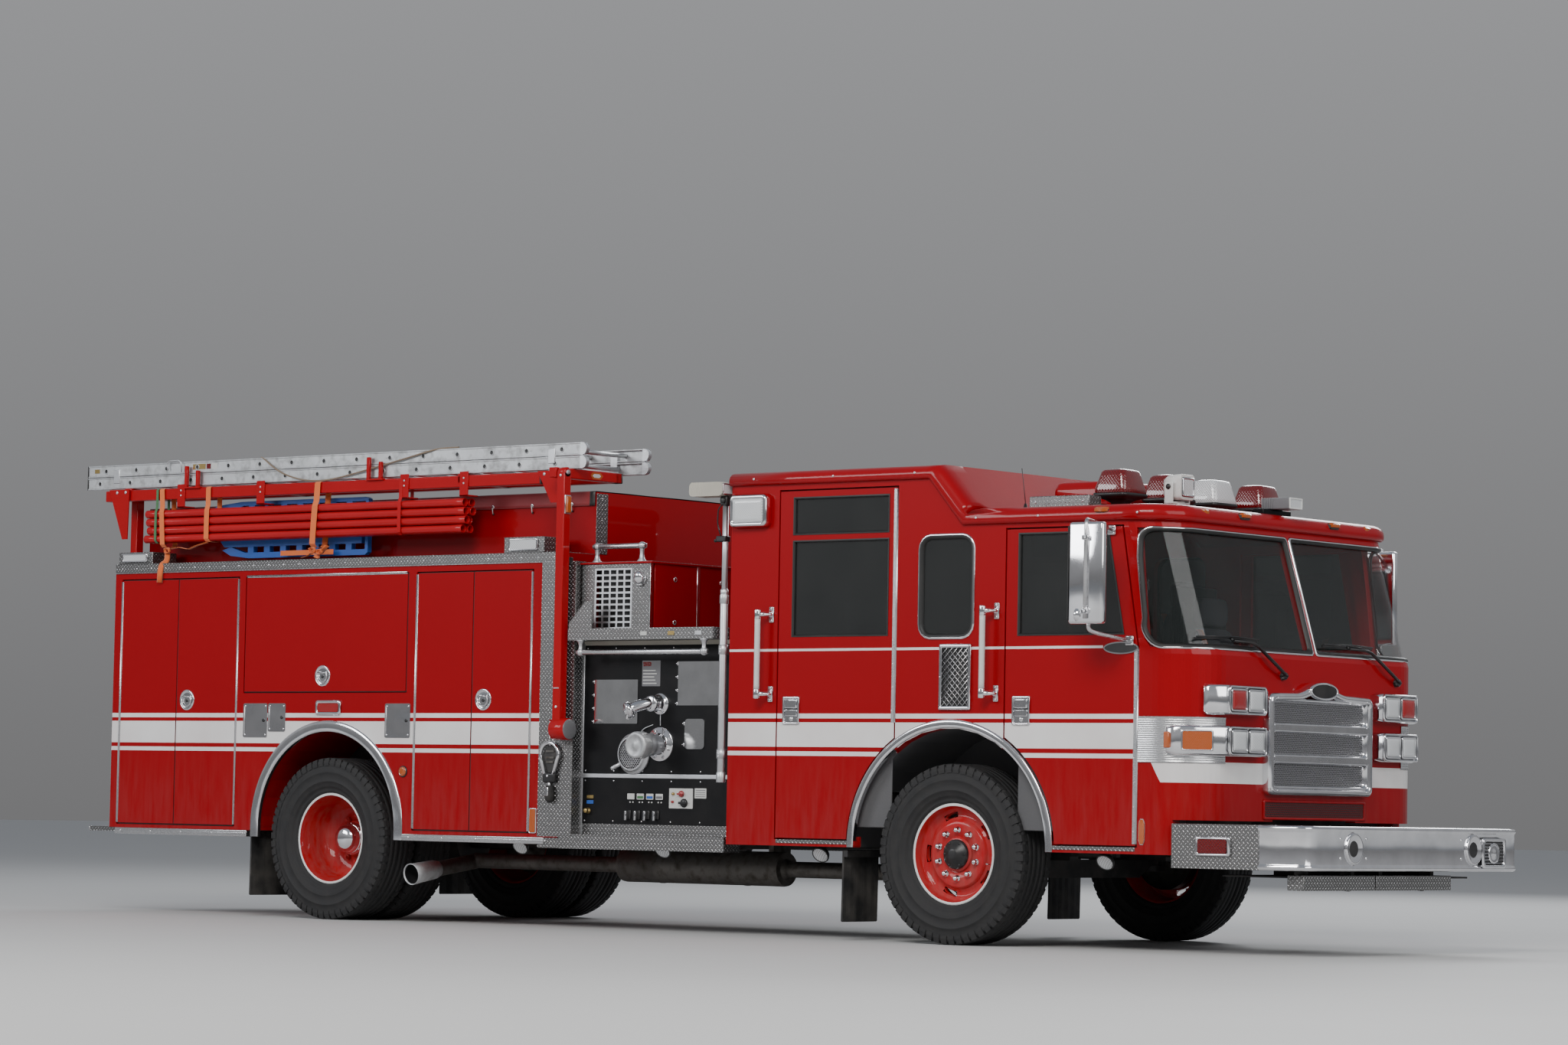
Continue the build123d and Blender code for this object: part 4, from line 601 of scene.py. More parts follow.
class Shop:
    """Every finish that the vehicle wears, by name."""

    red = Livery("coach_red_banded")
    plain_red = Enamel("coach_red")
    nose_red = NoseLivery("coach_red_chevron")
    wheel_red = Enamel("wheel_red", colour=(0.46, 0.010, 0.015), gloss=0.3, film=0.35)
    rack_red = Enamel("rack_red", colour=(0.38, 0.004, 0.008), gloss=0.3, film=0.0)
    pipe_red = Enamel("pipe_red", colour=(0.42, 0.008, 0.012), gloss=0.35, film=0.0)
    white = Enamel("coach_white", colour=WHITE)
    chrome = Metal("bright_chrome", colour=(0.84, 0.84, 0.86), ripple=0.45)
    stainless = Metal("brushed_stainless", colour=(0.66, 0.66, 0.67), rough=0.18, grain=0.16)
    satin = Metal("satin_aluminium", colour=(0.66, 0.67, 0.69), rough=0.32, grain=0.18,
                  stretch=(1.0, 30.0, 30.0))
    weathered = Metal("weathered_aluminium", colour=(0.60, 0.61, 0.62), rough=0.42, grain=0.20,
                      stretch=(1.0, 30.0, 30.0), dirt=0.5)
    iron = Metal("sooty_iron", colour=(0.16, 0.15, 0.14), rough=0.55, smudge=0.2, dirt=0.8)
    brass = Metal("dull_brass", colour=(0.55, 0.40, 0.16), rough=0.3, dirt=0.3)
    tread = TreadPlate("checker_plate")
    black = Plastic("satin_black", colour=(0.012, 0.012, 0.013), rough=0.38, grain=0.12, dust=0.12)
    chassis = Plastic("chassis_black", colour=(0.014, 0.014, 0.015), rough=0.55, dust=0.55, grain=0.3)
    panel_black = Plastic("panel_black", colour=(0.006, 0.006, 0.007), rough=0.36, grain=0.4, size=420.0,
                          dust=0.04, shine=0.2)
    rubber = Plastic("flap_rubber", colour=(0.014, 0.014, 0.014), rough=0.75, dust=0.5)
    gasket = Plastic("gasket_rubber", colour=(0.010, 0.010, 0.010), rough=0.5, dust=0.1)
    grey = Plastic("cab_trim_grey", colour=(0.10, 0.10, 0.105), rough=0.7, dust=0.1)
    tyre = TyreRubber("tyre_rubber")
    red_lens = Lens("lens_red", colour=(0.46, 0.004, 0.006), clear=0.08)
    deep_red_lens = Lens("lens_deep_red", colour=(0.20, 0.002, 0.004), ribs=50.0, clear=0.15)
    amber_lens = Lens("lens_amber", colour=(0.60, 0.11, 0.003), clear=0.08)
    clear_lens = Lens("lens_clear", colour=(0.88, 0.90, 0.92), clear=0.12, ribs=60.0)
    white_plastic = Plastic("lamp_white", colour=(0.72, 0.72, 0.70), rough=0.35, dust=0.12)
    beige = Plastic("lamp_beige", colour=(0.50, 0.47, 0.40), rough=0.5, dust=0.3)
    screen = Pane("screen_glass")
    tinted = Pane("tinted_glass", tint=(0.012, 0.014, 0.014), opaque=0.80)
    vinyl = Cloth("cover_vinyl", colour=(0.30, 0.010, 0.018), threads=260.0, rough=0.45)
    seat = Cloth("seat_cloth", colour=(0.035, 0.035, 0.040), threads=330.0, wear=(0.09, 0.09, 0.09))
    strap = Cloth("strap_orange", colour=(0.75, 0.14, 0.015), threads=500.0, wear=(0.70, 0.24, 0.08))
    green_strap = Cloth("strap_green", colour=(0.04, 0.16, 0.05), threads=500.0, wear=(0.08, 0.20, 0.08))
    rope = Cloth("rope_brown", colour=(0.20, 0.14, 0.09), threads=700.0, wear=(0.30, 0.24, 0.16))
    blue = Plastic("board_blue", colour=(0.02, 0.10, 0.42), rough=0.4, grain=0.3, dust=0.12)
    grille_mesh = Mesh("stamped_mesh")
    dark_mesh = Mesh("dark_mesh", colour=(0.20, 0.012, 0.014), metal=0.2, pitch=0.022)
    plate_white = Plastic("placard_white", colour=(0.62, 0.62, 0.60), rough=0.35, dust=0.1)
    plate_grey = Plastic("placard_grey", colour=(0.16, 0.16, 0.17), rough=0.35, dust=0.1)
    mirror = Metal("mirror_glass", colour=(0.90, 0.91, 0.92), rough=0.01, smudge=0.02)


# Mesh maker


def frame_of(direction: Point) -> tuple[Vector, Vector, Vector]:
    """Two vectors square to a direction, and the direction itself."""
    w = Vector(direction).normalized()
    u = w.orthogonal().normalized() if abs(w.z) > 0.9 else Vector(Z_AXIS).cross(w).normalized()
    return u, w.cross(u).normalized(), w


def bearings(count: int, ahead: float = 0.0) -> list[float]:
    """Equal steps of one full turn, in radians, the first of them part of a step ahead."""
    return [math.tau * (k + ahead) / count for k in range(count)]


def arc(cx: float, cy: float, radius: float, start: float, end: float, steps: int) -> list[Flat]:
    """Points along an arc, in degrees."""
    angles = [math.radians(start + (end - start) * k / steps) for k in range(steps + 1)]
    return [(cx + radius * math.cos(a), cy + radius * math.sin(a)) for a in angles]


def rounded(low: Flat, high: Flat, radius: float, steps: int = 5) -> list[Flat]:
    """A rectangle's outline with round corners, anticlockwise.

    Args:
        low: Its low corner.
        high: Its high corner.
        radius: The corners' radius.
        steps: Steps round each corner.

    Returns:
        The outline's points.
    """
    (a, b), (c, d), r = low, high, radius
    return (
        arc(c - r, b + r, r, -90, 0, steps) + arc(c - r, d - r, r, 0, 90, steps)
        + arc(a + r, d - r, r, 90, 180, steps) + arc(a + r, b + r, r, 180, 270, steps)
    )


def centred(half_u: float, half_v: float, radius: float, steps: int = 4) -> list[Flat]:
    """A round-cornered rectangle about the plane's origin, from its half sizes."""
    return rounded((-half_u, -half_v), (half_u, half_v), radius, steps)


def grown(outline: Sequence[Flat], amount: float) -> list[Flat]:
    """An outline pushed outward along its own corners.

    Args:
        outline: Points, anticlockwise.
        amount: How far each edge moves out.

    Returns:
        The same number of points.
    """
    points = [Vector(p) for p in outline]
    made = []
    for i, here in enumerate(points):
        before, after = points[i - 1], points[(i + 1) % len(points)]
        e1, e2 = (here - before).normalized(), (after - here).normalized()
        n1, n2 = Vector((e1.y, -e1.x)), Vector((e2.y, -e2.x))
        way = n1 + n2
        if way.length < TINY:
            way = n1
        way.normalize()
        made.append(tuple(here + way * amount / max(0.35, way.dot(n1))))
    return made


class Plane3:
    """A flat place in the vehicle to draw outlines on."""

    def __init__(self, origin: Point, across: Point, up: Point) -> None:
        """Sets the plane.

        Args:
            origin: The point that the outline's nought stands for.
            across: The direction of its first coordinate.
            up: The direction of its second coordinate.
        """
        self.origin = Vector(origin)
        self.across = Vector(across).normalized()
        self.up = Vector(up).normalized()
        self.out = self.across.cross(self.up).normalized()

    def at(self, u: float, v: float, w: float = 0.0) -> Vector:
        """A point of the vehicle from coordinates on the plane and off it."""
        return self.origin + self.across * u + self.up * v + self.out * w


def facing_ahead(*at: float) -> Plane3:
    """The plane square to X at a point, seen from the front: left, then up."""
    return Plane3(at, Y_AXIS, Z_AXIS)


def facing_back(*at: float) -> Plane3:
    """The plane square to X at a point, seen from behind: right, then up."""
    return Plane3(at, RIGHTWARD, Z_AXIS)


def flank(side: Side, y: float) -> Plane3:
    """The plane of one side, drawn in x and z, with its out direction pointing away from the cab.

    Args:
        side: Which side.
        y: How far out from the middle.

    Returns:
        The plane; on the left its first coordinate runs backward, so outlines mirror.
    """
    if side is Side.RIGHT:
        return Plane3((0, -y, 0), X_AXIS, Z_AXIS)
    return Plane3((0, y, 0), (-1, 0, 0), Z_AXIS)


GROUND = Plane3((0, 0, 0), X_AXIS, Y_AXIS)


class Form:
    """One piece of the vehicle while its mesh is being made."""

    def __init__(self, name: str, body: str, finish: Finish, slot: str) -> None:
        """Starts an empty mesh.

        Args:
            name: The piece's name.
            body: The moving body that it rides on.
            finish: What it is dressed in unless a part says otherwise.
            slot: Not used; the name of the record's material slot that it belongs to.
        """
        self.name, self.body, self.slot = name, body, slot
        self.mesh = bmesh.new()
        self.finishes: list[Finish] = [finish]
        self.now = 0

    def wear(self, finish: Finish) -> "Form":
        """Dresses what is made next in another finish."""
        if finish not in self.finishes:
            self.finishes.append(finish)
        self.now = self.finishes.index(finish)
        return self

    def _stamp(self, faces: Iterable[bmesh.types.BMFace], smooth: bool = False) -> None:
        """Marks faces with the finish in hand."""
        for face in faces:
            face.material_index = self.now
            face.smooth = smooth

    def _close(self, made: list[bmesh.types.BMFace], bevel: float, steps: int, sharp: float = 30.0) -> None:
        """Bevels the sharp edges of the faces just made, and marks them all."""
        self._stamp(made, False)
        if bevel > 0:
            edges = {e for f in made for e in f.edges if e.is_valid and len(e.link_faces) == 2
                     and e.calc_face_angle(0.0) > math.radians(sharp)}
            done = bmesh.ops.bevel(
                self.mesh, geom=list(edges), offset=bevel, segments=steps, profile=0.5, affect="EDGES",
                clamp_overlap=True,
            )
            self._stamp(done["faces"], True)

    def box(self, low: Point, high: Point, bevel: float = 0.002, steps: int = 1) -> "Form":
        """A block with eased edges.

        Args:
            low: One corner.
            high: The opposite corner.
            bevel: How far its edges are eased.
            steps: Segments across each eased edge.

        Returns:
            This form, so that calls chain.
        """
        corners = [[min(a, b), max(a, b)] for a, b in zip(low, high)]
        middle = Vector([sum(c) / 2 for c in corners])
        size = [c[1] - c[0] for c in corners]
        matrix = Matrix.Translation(middle) @ Matrix.Diagonal((*size, 1.0))
        verts = bmesh.ops.create_cube(self.mesh, size=1.0, matrix=matrix)["verts"]
        faces = list({f for v in verts for f in v.link_faces})
        self._close(faces, min(bevel, min(size) * 0.45), steps)
        return self

    def slab(self, plane: Plane3, outline: Sequence[Flat], low: float, high: float, bevel: float = 0.0,
             steps: int = 1, smooth: bool = False) -> "Form":
        """A plate cut to an outline.

        Args:
            plane: Where the outline is drawn.
            outline: Its points, anticlockwise.
            low: How far off the plane its back lies.
            high: How far off the plane its front lies.
            bevel: How far its edges are eased.
            steps: Segments across each eased edge.
            smooth: Whether its rim is shaded round.

        Returns:
            This form.
        """
        back = [self.mesh.verts.new(plane.at(u, v, low)) for u, v in outline]
        front = [self.mesh.verts.new(plane.at(u, v, high)) for u, v in outline]
        faces = [self.mesh.faces.new(front), self.mesh.faces.new(back[::-1])]
        count = len(outline)
        rim = [self.mesh.faces.new((back[i], back[(i + 1) % count], front[(i + 1) % count], front[i]))
               for i in range(count)]
        self._close(faces + rim, bevel, steps)
        if smooth:
            for face in rim:
                if face.is_valid:
                    face.smooth = True
        return self

    def ring(self, plane: Plane3, outer: Sequence[Flat], inner: Sequence[Flat], low: float, high: float,
             crown: float = 0.0) -> "Form":
        """A frame between two outlines of as many points, such as a gasket.

        Args:
            plane: Where the outlines are drawn.
            outer: The outer edge.
            inner: The inner edge.
            low: Back of the frame off the plane.
            high: Front of the frame off the plane.
            crown: How much the middle of its face stands up.

        Returns:
            This form.
        """
        middle = [((a + c) / 2, (b + d) / 2) for (a, b), (c, d) in zip(outer, inner)]
        rows = ((outer, low), (outer, high), (middle, high + crown), (inner, high), (inner, low))
        return self.shell(plane, rows, round_too=True, smooth=crown > 0)

    def loft(self, loops: Sequence[Sequence[Vector]], closed: bool = True, round_too: bool = False,
             smooth: bool = True, caps: bool = False) -> "Form":
        """A skin through loops of points.

        Args:
            loops: Rows of as many points each.
            closed: Whether each row closes on itself.
            round_too: Whether the last row joins back to the first.
            smooth: Whether it is shaded round.
            caps: Whether the first and last rows are filled.

        Returns:
            This form.
        """
        rows = [[self.mesh.verts.new(p) for p in loop] for loop in loops]
        pairs = list(zip(rows, rows[1:])) + ([(rows[-1], rows[0])] if round_too else [])
        made = []
        for first, second in pairs:
            count = len(first)
            for i in range(count if closed else count - 1):
                j = (i + 1) % count
                made.append(self.mesh.faces.new((first[i], first[j], second[j], second[i])))
        if caps:
            made.append(self.mesh.faces.new(rows[0][::-1]))
            made.append(self.mesh.faces.new(rows[-1]))
        self._stamp(made, smooth)
        if caps:
            made[-1].smooth = made[-2].smooth = False
        return self

    def shell(self, plane: Plane3, rows: Iterable[tuple[Sequence[Flat], float]], **how: bool) -> "Form":
        """A skin through outlines that stand at their own heights off a plane.

        Args:
            plane: Where the outlines are drawn.
            rows: Each outline with its height.
            **how: What `loft` takes.

        Returns:
            This form.
        """
        return self.loft([[plane.at(u, v, out) for u, v in outline] for outline, out in rows], **how)

    def lathe(self, origin: Point, axis: Point, profile: Sequence[Flat], steps: int = 32,
              sweep: float = 360.0,
              sharp: bool = False) -> "Form":
        """A turned piece.

        Args:
            origin: A point on its axis.
            axis: Its axis.
            profile: Points as (radius, distance along the axis).
            steps: Facets round it.
            sweep: Degrees turned through.
            sharp: Whether it is shaded flat.

        Returns:
            This form.
        """
        u, v, w = frame_of(axis)
        base = Vector(origin)
        whole = sweep >= 359.9
        rows = []
        for radius, along in profile:
            if radius < TINY:
                rows.append([self.mesh.verts.new(base + w * along)])
                continue
            count = steps if whole else steps + 1
            turn = [math.radians(sweep) * k / steps for k in range(count)]
            rows.append([self.mesh.verts.new(base + w * along + (u * math.cos(t) + v * math.sin(t)) * radius)
                         for t in turn])
        made = []
        for first, second in zip(rows, rows[1:]):
            count = max(len(first), len(second))
            if count == 1:
                continue
            for i in range(count if whole else count - 1):
                j = (i + 1) % count
                if len(first) == 1:
                    corners = (first[0], second[j], second[i])
                elif len(second) == 1:
                    corners = (first[i], first[j], second[0])
                else:
                    corners = (first[i], first[j], second[j], second[i])
                made.append(self.mesh.faces.new(corners))
        self._stamp(made, not sharp)
        return self

    def turned(self, origin: Point, axis: Point, *rows: tuple[Finish, int, Sequence[Flat]]) -> "Form":
        """Several turned pieces on one axis.

        Args:
            origin: A point on their axis.
            axis: Their axis.
            *rows: For each its finish, the facets round it and its profile.

        Returns:
            This form.
        """
        for finish, steps, profile in rows:
            self.wear(finish).lathe(origin, axis, profile, steps)
        return self

    def framed(self, plane: Plane3, outer: Sequence[Flat], inner: Sequence[Flat], rim: Sequence[float],
               inset: Finish, pane: Sequence[float], frame: Finish | None = None) -> "Form":
        """A frame with a lens or a plate set in it.

        Args:
            plane: Where the outlines are drawn.
            outer: The frame's outer edge.
            inner: The outline of what is set in it.
            rim: The frame's back, front and crown, as `ring` takes them.
            inset: The finish of what is set in it.
            pane: Its back, front, bevel and steps, as `slab` takes them.
            frame: The frame's finish, chrome when none is given.

        Returns:
            This form.
        """
        return self.wear(frame or Shop.chrome).ring(plane, outer, inner,
                                                    *rim).wear(inset).slab(plane, inner, *pane)

    def rod(self, start: Point, end: Point, radius: float, steps: int = 16, ease: float = 0.0) -> "Form":
        """A round bar between two points.

        Args:
            start: One end.
            end: The other.
            radius: Its radius.
            steps: Facets round it.
            ease: How far its ends are rounded over.

        Returns:
            This form.
        """
        reach = (Vector(end) - Vector(start)).length
        e = min(ease, radius * 0.9, reach * 0.45)
        if e > 0:
            profile = [(0, 0), (radius - e, 0), (radius - e * 0.3, e * 0.3), (radius, e), (radius, reach - e),
                       (radius - e * 0.3, reach - e * 0.3), (radius - e, reach), (0, reach)]
        else:
            profile = [(0, 0), (radius, 0), (radius, reach), (0, reach)]
        before = set(self.mesh.faces)
        self.lathe(start, tuple(Vector(end) - Vector(start)), profile, steps)
        if e <= 0:
            for face in self.mesh.faces:
                if face not in before and len(face.verts) == 3:
                    face.smooth = False
        return self

    def tube(self, points: Sequence[Point], radius: float, steps: int = 12, bend: float = 0.0,
             turns: int = 6, flat: float = 1.0, caps: bool = True) -> "Form":
        """A bar bent along a path.

        Args:
            points: The corners that it passes.
            radius: Its radius.
            steps: Facets round it.
            bend: The radius of its bends, nought for mitred corners.
            turns: Steps round each bend.
            flat: How wide its section is against its thickness, for a strap.
            caps: Whether its ends are closed.

        Returns:
            This form.
        """
        path = [Vector(p) for p in points]
        if bend > 0:
            eased = [path[0]]
            for before, here, after in zip(path, path[1:], path[2:]):
                back, on = (before - here), (after - here)
                reach = min(bend, back.length * 0.45, on.length * 0.45)
                a, b = here + back.normalized() * reach, here + on.normalized() * reach
                for k in range(turns + 1):
                    t = k / turns
                    eased.append(a * (1 - t) ** 2 + here * 2 * t * (1 - t) + b * t ** 2)
            path = eased + [path[-1]]
        loops = []
        u, v, _ = frame_of(tuple(path[1] - path[0]))
        for i, here in enumerate(path):
            ahead = (path[min(i + 1, len(path) - 1)] - path[max(i - 1, 0)]).normalized()
            u = (u - ahead * u.dot(ahead)).normalized()
            v = ahead.cross(u).normalized()
            loops.append([here + u * math.cos(t) * radius * flat + v * math.sin(t) * radius
                          for t in bearings(steps)])
        return self.loft(loops, caps=caps)

    def bolt(self, at: Point, out: Point, radius: float = 0.011, height: float = 0.007) -> "Form":
        """A domed fastener head standing on a surface."""
        return self.lathe(at, out, [(radius, 0), (radius, height * 0.45), (radius * 0.75, height * 0.85),
                                    (0, height)], 10)

    def nut(self, at: Point, out: Point, radius: float, height: float) -> "Form":
        """A six-sided nut with a chamfered face."""
        profile = [(radius, 0), (radius, height * 0.8), (radius * 0.82, height), (0, height)]
        return self.lathe(at, out, profile, 6, sharp=True)

    def done(self, replaces: Sequence[str] = (), weld: bool = False) -> bpy.types.Object:
        """Turns the form into a piece of the vehicle.

        Args:
            replaces: The frame's nodes that it stands for.
            weld: Whether points that meet are joined.

        Returns:
            The new object.
        """
        if weld:
            bmesh.ops.remove_doubles(self.mesh, verts=self.mesh.verts, dist=0.0002)
        bmesh.ops.recalc_face_normals(self.mesh, faces=self.mesh.faces)
        data = bpy.data.meshes.new(self.name)
        self.mesh.to_mesh(data)
        self.mesh.free()
        for finish in self.finishes:
            data.materials.append(finish.material())
        piece = bpy.data.objects.new(self.name, data)
        bpy.context.scene.collection.objects.link(piece)
        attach(piece, self.body)
        if replaces:
            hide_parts(*replaces)
        log.info("%s: %d faces on %s", self.name, len(data.polygons), self.body)
        return piece


def dress(frame: dict[str, Any], node: str, finish: Finish) -> None:
    """Gives a carried-over node its finish.

    Args:
        frame: What the frame's loader returned.
        node: The node's name.
        finish: The finish that it wears.
    """
    data = frame["nodes"][node].data
    data.materials.clear()
    data.materials.append(finish.material())


# Studio


@dataclass
class Studio:
    """A pale floor, soft lights and a camera at the photograph's viewing angle."""

    eye: Point = (18.786, -22.535, 0.782)
    heading: float = 0.687
    lift: float = 0.063
    roll: float = 0.018
    lens_mm: float = 104.17

    def camera(self) -> None:
        """Makes the camera and hands it to the scene."""
        lens = bpy.data.cameras.new("studio_camera")
        lens.lens, lens.sensor_width = self.lens_mm, 36.0
        lens.clip_end = 200.0
        piece = bpy.data.objects.new("studio_camera", lens)
        bpy.context.scene.collection.objects.link(piece)
        a, b, r = self.heading, self.lift, self.roll
        ahead = Vector((-math.sin(a) * math.cos(b), math.cos(a) * math.cos(b), math.sin(b)))
        level = Vector((math.cos(a), math.sin(a), 0))
        over = level.cross(ahead)
        right = level * math.cos(r) + over * math.sin(r)
        up = right.cross(ahead)
        basis = Matrix((right, up, -ahead)).transposed().to_4x4()
        piece.matrix_world = Matrix.Translation(self.eye) @ basis
        bpy.context.scene.camera = piece

    def floor(self) -> None:
        """Makes a wide, flat, pale floor."""
        data = bpy.data.meshes.new("studio_floor")
        made = bmesh.new()
        size = 90.0
        corners = [made.verts.new(p) for p in ((-size, -size, 0), (size, -size, 0), (size, size, 0),
                                               (-size, size, 0))]
        made.faces.new(corners)
        made.to_mesh(data)
        made.free()
        g = Graph("studio_floor")
        grain = g.noise(0.8, 5.0)
        tone = g.mix(grain * 0.2, (0.56, 0.56, 0.555), (0.50, 0.50, 0.495))
        data.materials.append(g.close(Base_Color=tone, Roughness=0.62 + grain * 0.1))
        piece = bpy.data.objects.new("studio_floor", data)
        bpy.context.scene.collection.objects.link(piece)

    def lamp(self, name: str, at: Point, aim: Point, size: tuple[float, float], watts: float,
             tint: Colour = (1, 1, 1)) -> None:
        """Hangs one soft panel light.

        Args:
            name: Its name.
            at: Where it hangs.
            aim: What it faces.
            size: Its width and height.
            watts: Its power.
            tint: Its colour.
        """
        data = bpy.data.lights.new(name, "AREA")
        data.shape, data.size, data.size_y, data.energy, data.color = "RECTANGLE", *size, watts, tint
        piece = bpy.data.objects.new(name, data)
        bpy.context.scene.collection.objects.link(piece)
        piece.location = at
        piece.rotation_euler = (Vector(aim) - Vector(at)).to_track_quat("-Z", "Y").to_euler()

    def light(self) -> None:
        """Sets the soft sky and the panel lights."""
        world = bpy.data.worlds.new("studio_sky")
        bpy.context.scene.world = world
        world.use_nodes = True
        tree = world.node_tree
        tree.nodes.clear()
        where = tree.nodes.new("ShaderNodeTexCoord")
        split = tree.nodes.new("ShaderNodeSeparateXYZ")
        ramp = tree.nodes.new("ShaderNodeValToRGB")
        stops = ((0.0, (0.30, 0.30, 0.30)), (0.47, (0.34, 0.34, 0.34)), (0.51, (0.46, 0.46, 0.47)),
                 (0.62, (0.90, 0.91, 0.94)), (1.0, (0.56, 0.62, 0.72)))
        while len(ramp.color_ramp.elements) < len(stops):
            ramp.color_ramp.elements.new(0.5)
        for element, (place, colour) in zip(ramp.color_ramp.elements, stops):
            element.position, element.color = place, (*colour, 1.0)
        scale = tree.nodes.new("ShaderNodeMapRange")
        scale.inputs["From Min"].default_value = -1.0
        back = tree.nodes.new("ShaderNodeBackground")
        back.inputs["Strength"].default_value = 0.42
        out = tree.nodes.new("ShaderNodeOutputWorld")
        tree.links.new(where.outputs["Generated"], split.inputs[0])
        tree.links.new(split.outputs["Z"], scale.inputs["Value"])
        tree.links.new(scale.outputs[0], ramp.inputs[0])
        tree.links.new(ramp.outputs[0], back.inputs[0])
        tree.links.new(back.outputs[0], out.inputs[0])
        self.lamp("key_panel", (9.0, -16.0, 13.0), (0.5, 0, 1.2), (9.0, 6.0), 2600, (1.0, 0.98, 0.95))
        self.lamp("side_panel", (-9.0, -15.0, 8.0), (-2.0, 0, 1.4), (8.0, 5.0), 1100, (0.95, 0.97, 1.0))
        self.lamp("front_panel", (19.0, -2.0, 8.0), (4.0, 0, 1.4), (12.0, 8.0), 1100, (1.0, 1.0, 1.0))
        self.lamp("back_panel", (-4.0, 17.0, 10.0), (-1.0, 0, 1.5), (10.0, 5.0), 1300, (0.96, 0.98, 1.0))

    def build(self) -> None:
        """Sets up the whole studio."""
        self.camera()
        self.floor()
        self.light()


# Wheels

FRONT_AXLE_X = 2.605
REAR_AXLE_X = -2.556
AXLE_Z = 0.533
HALF_WIDTH = 1.245


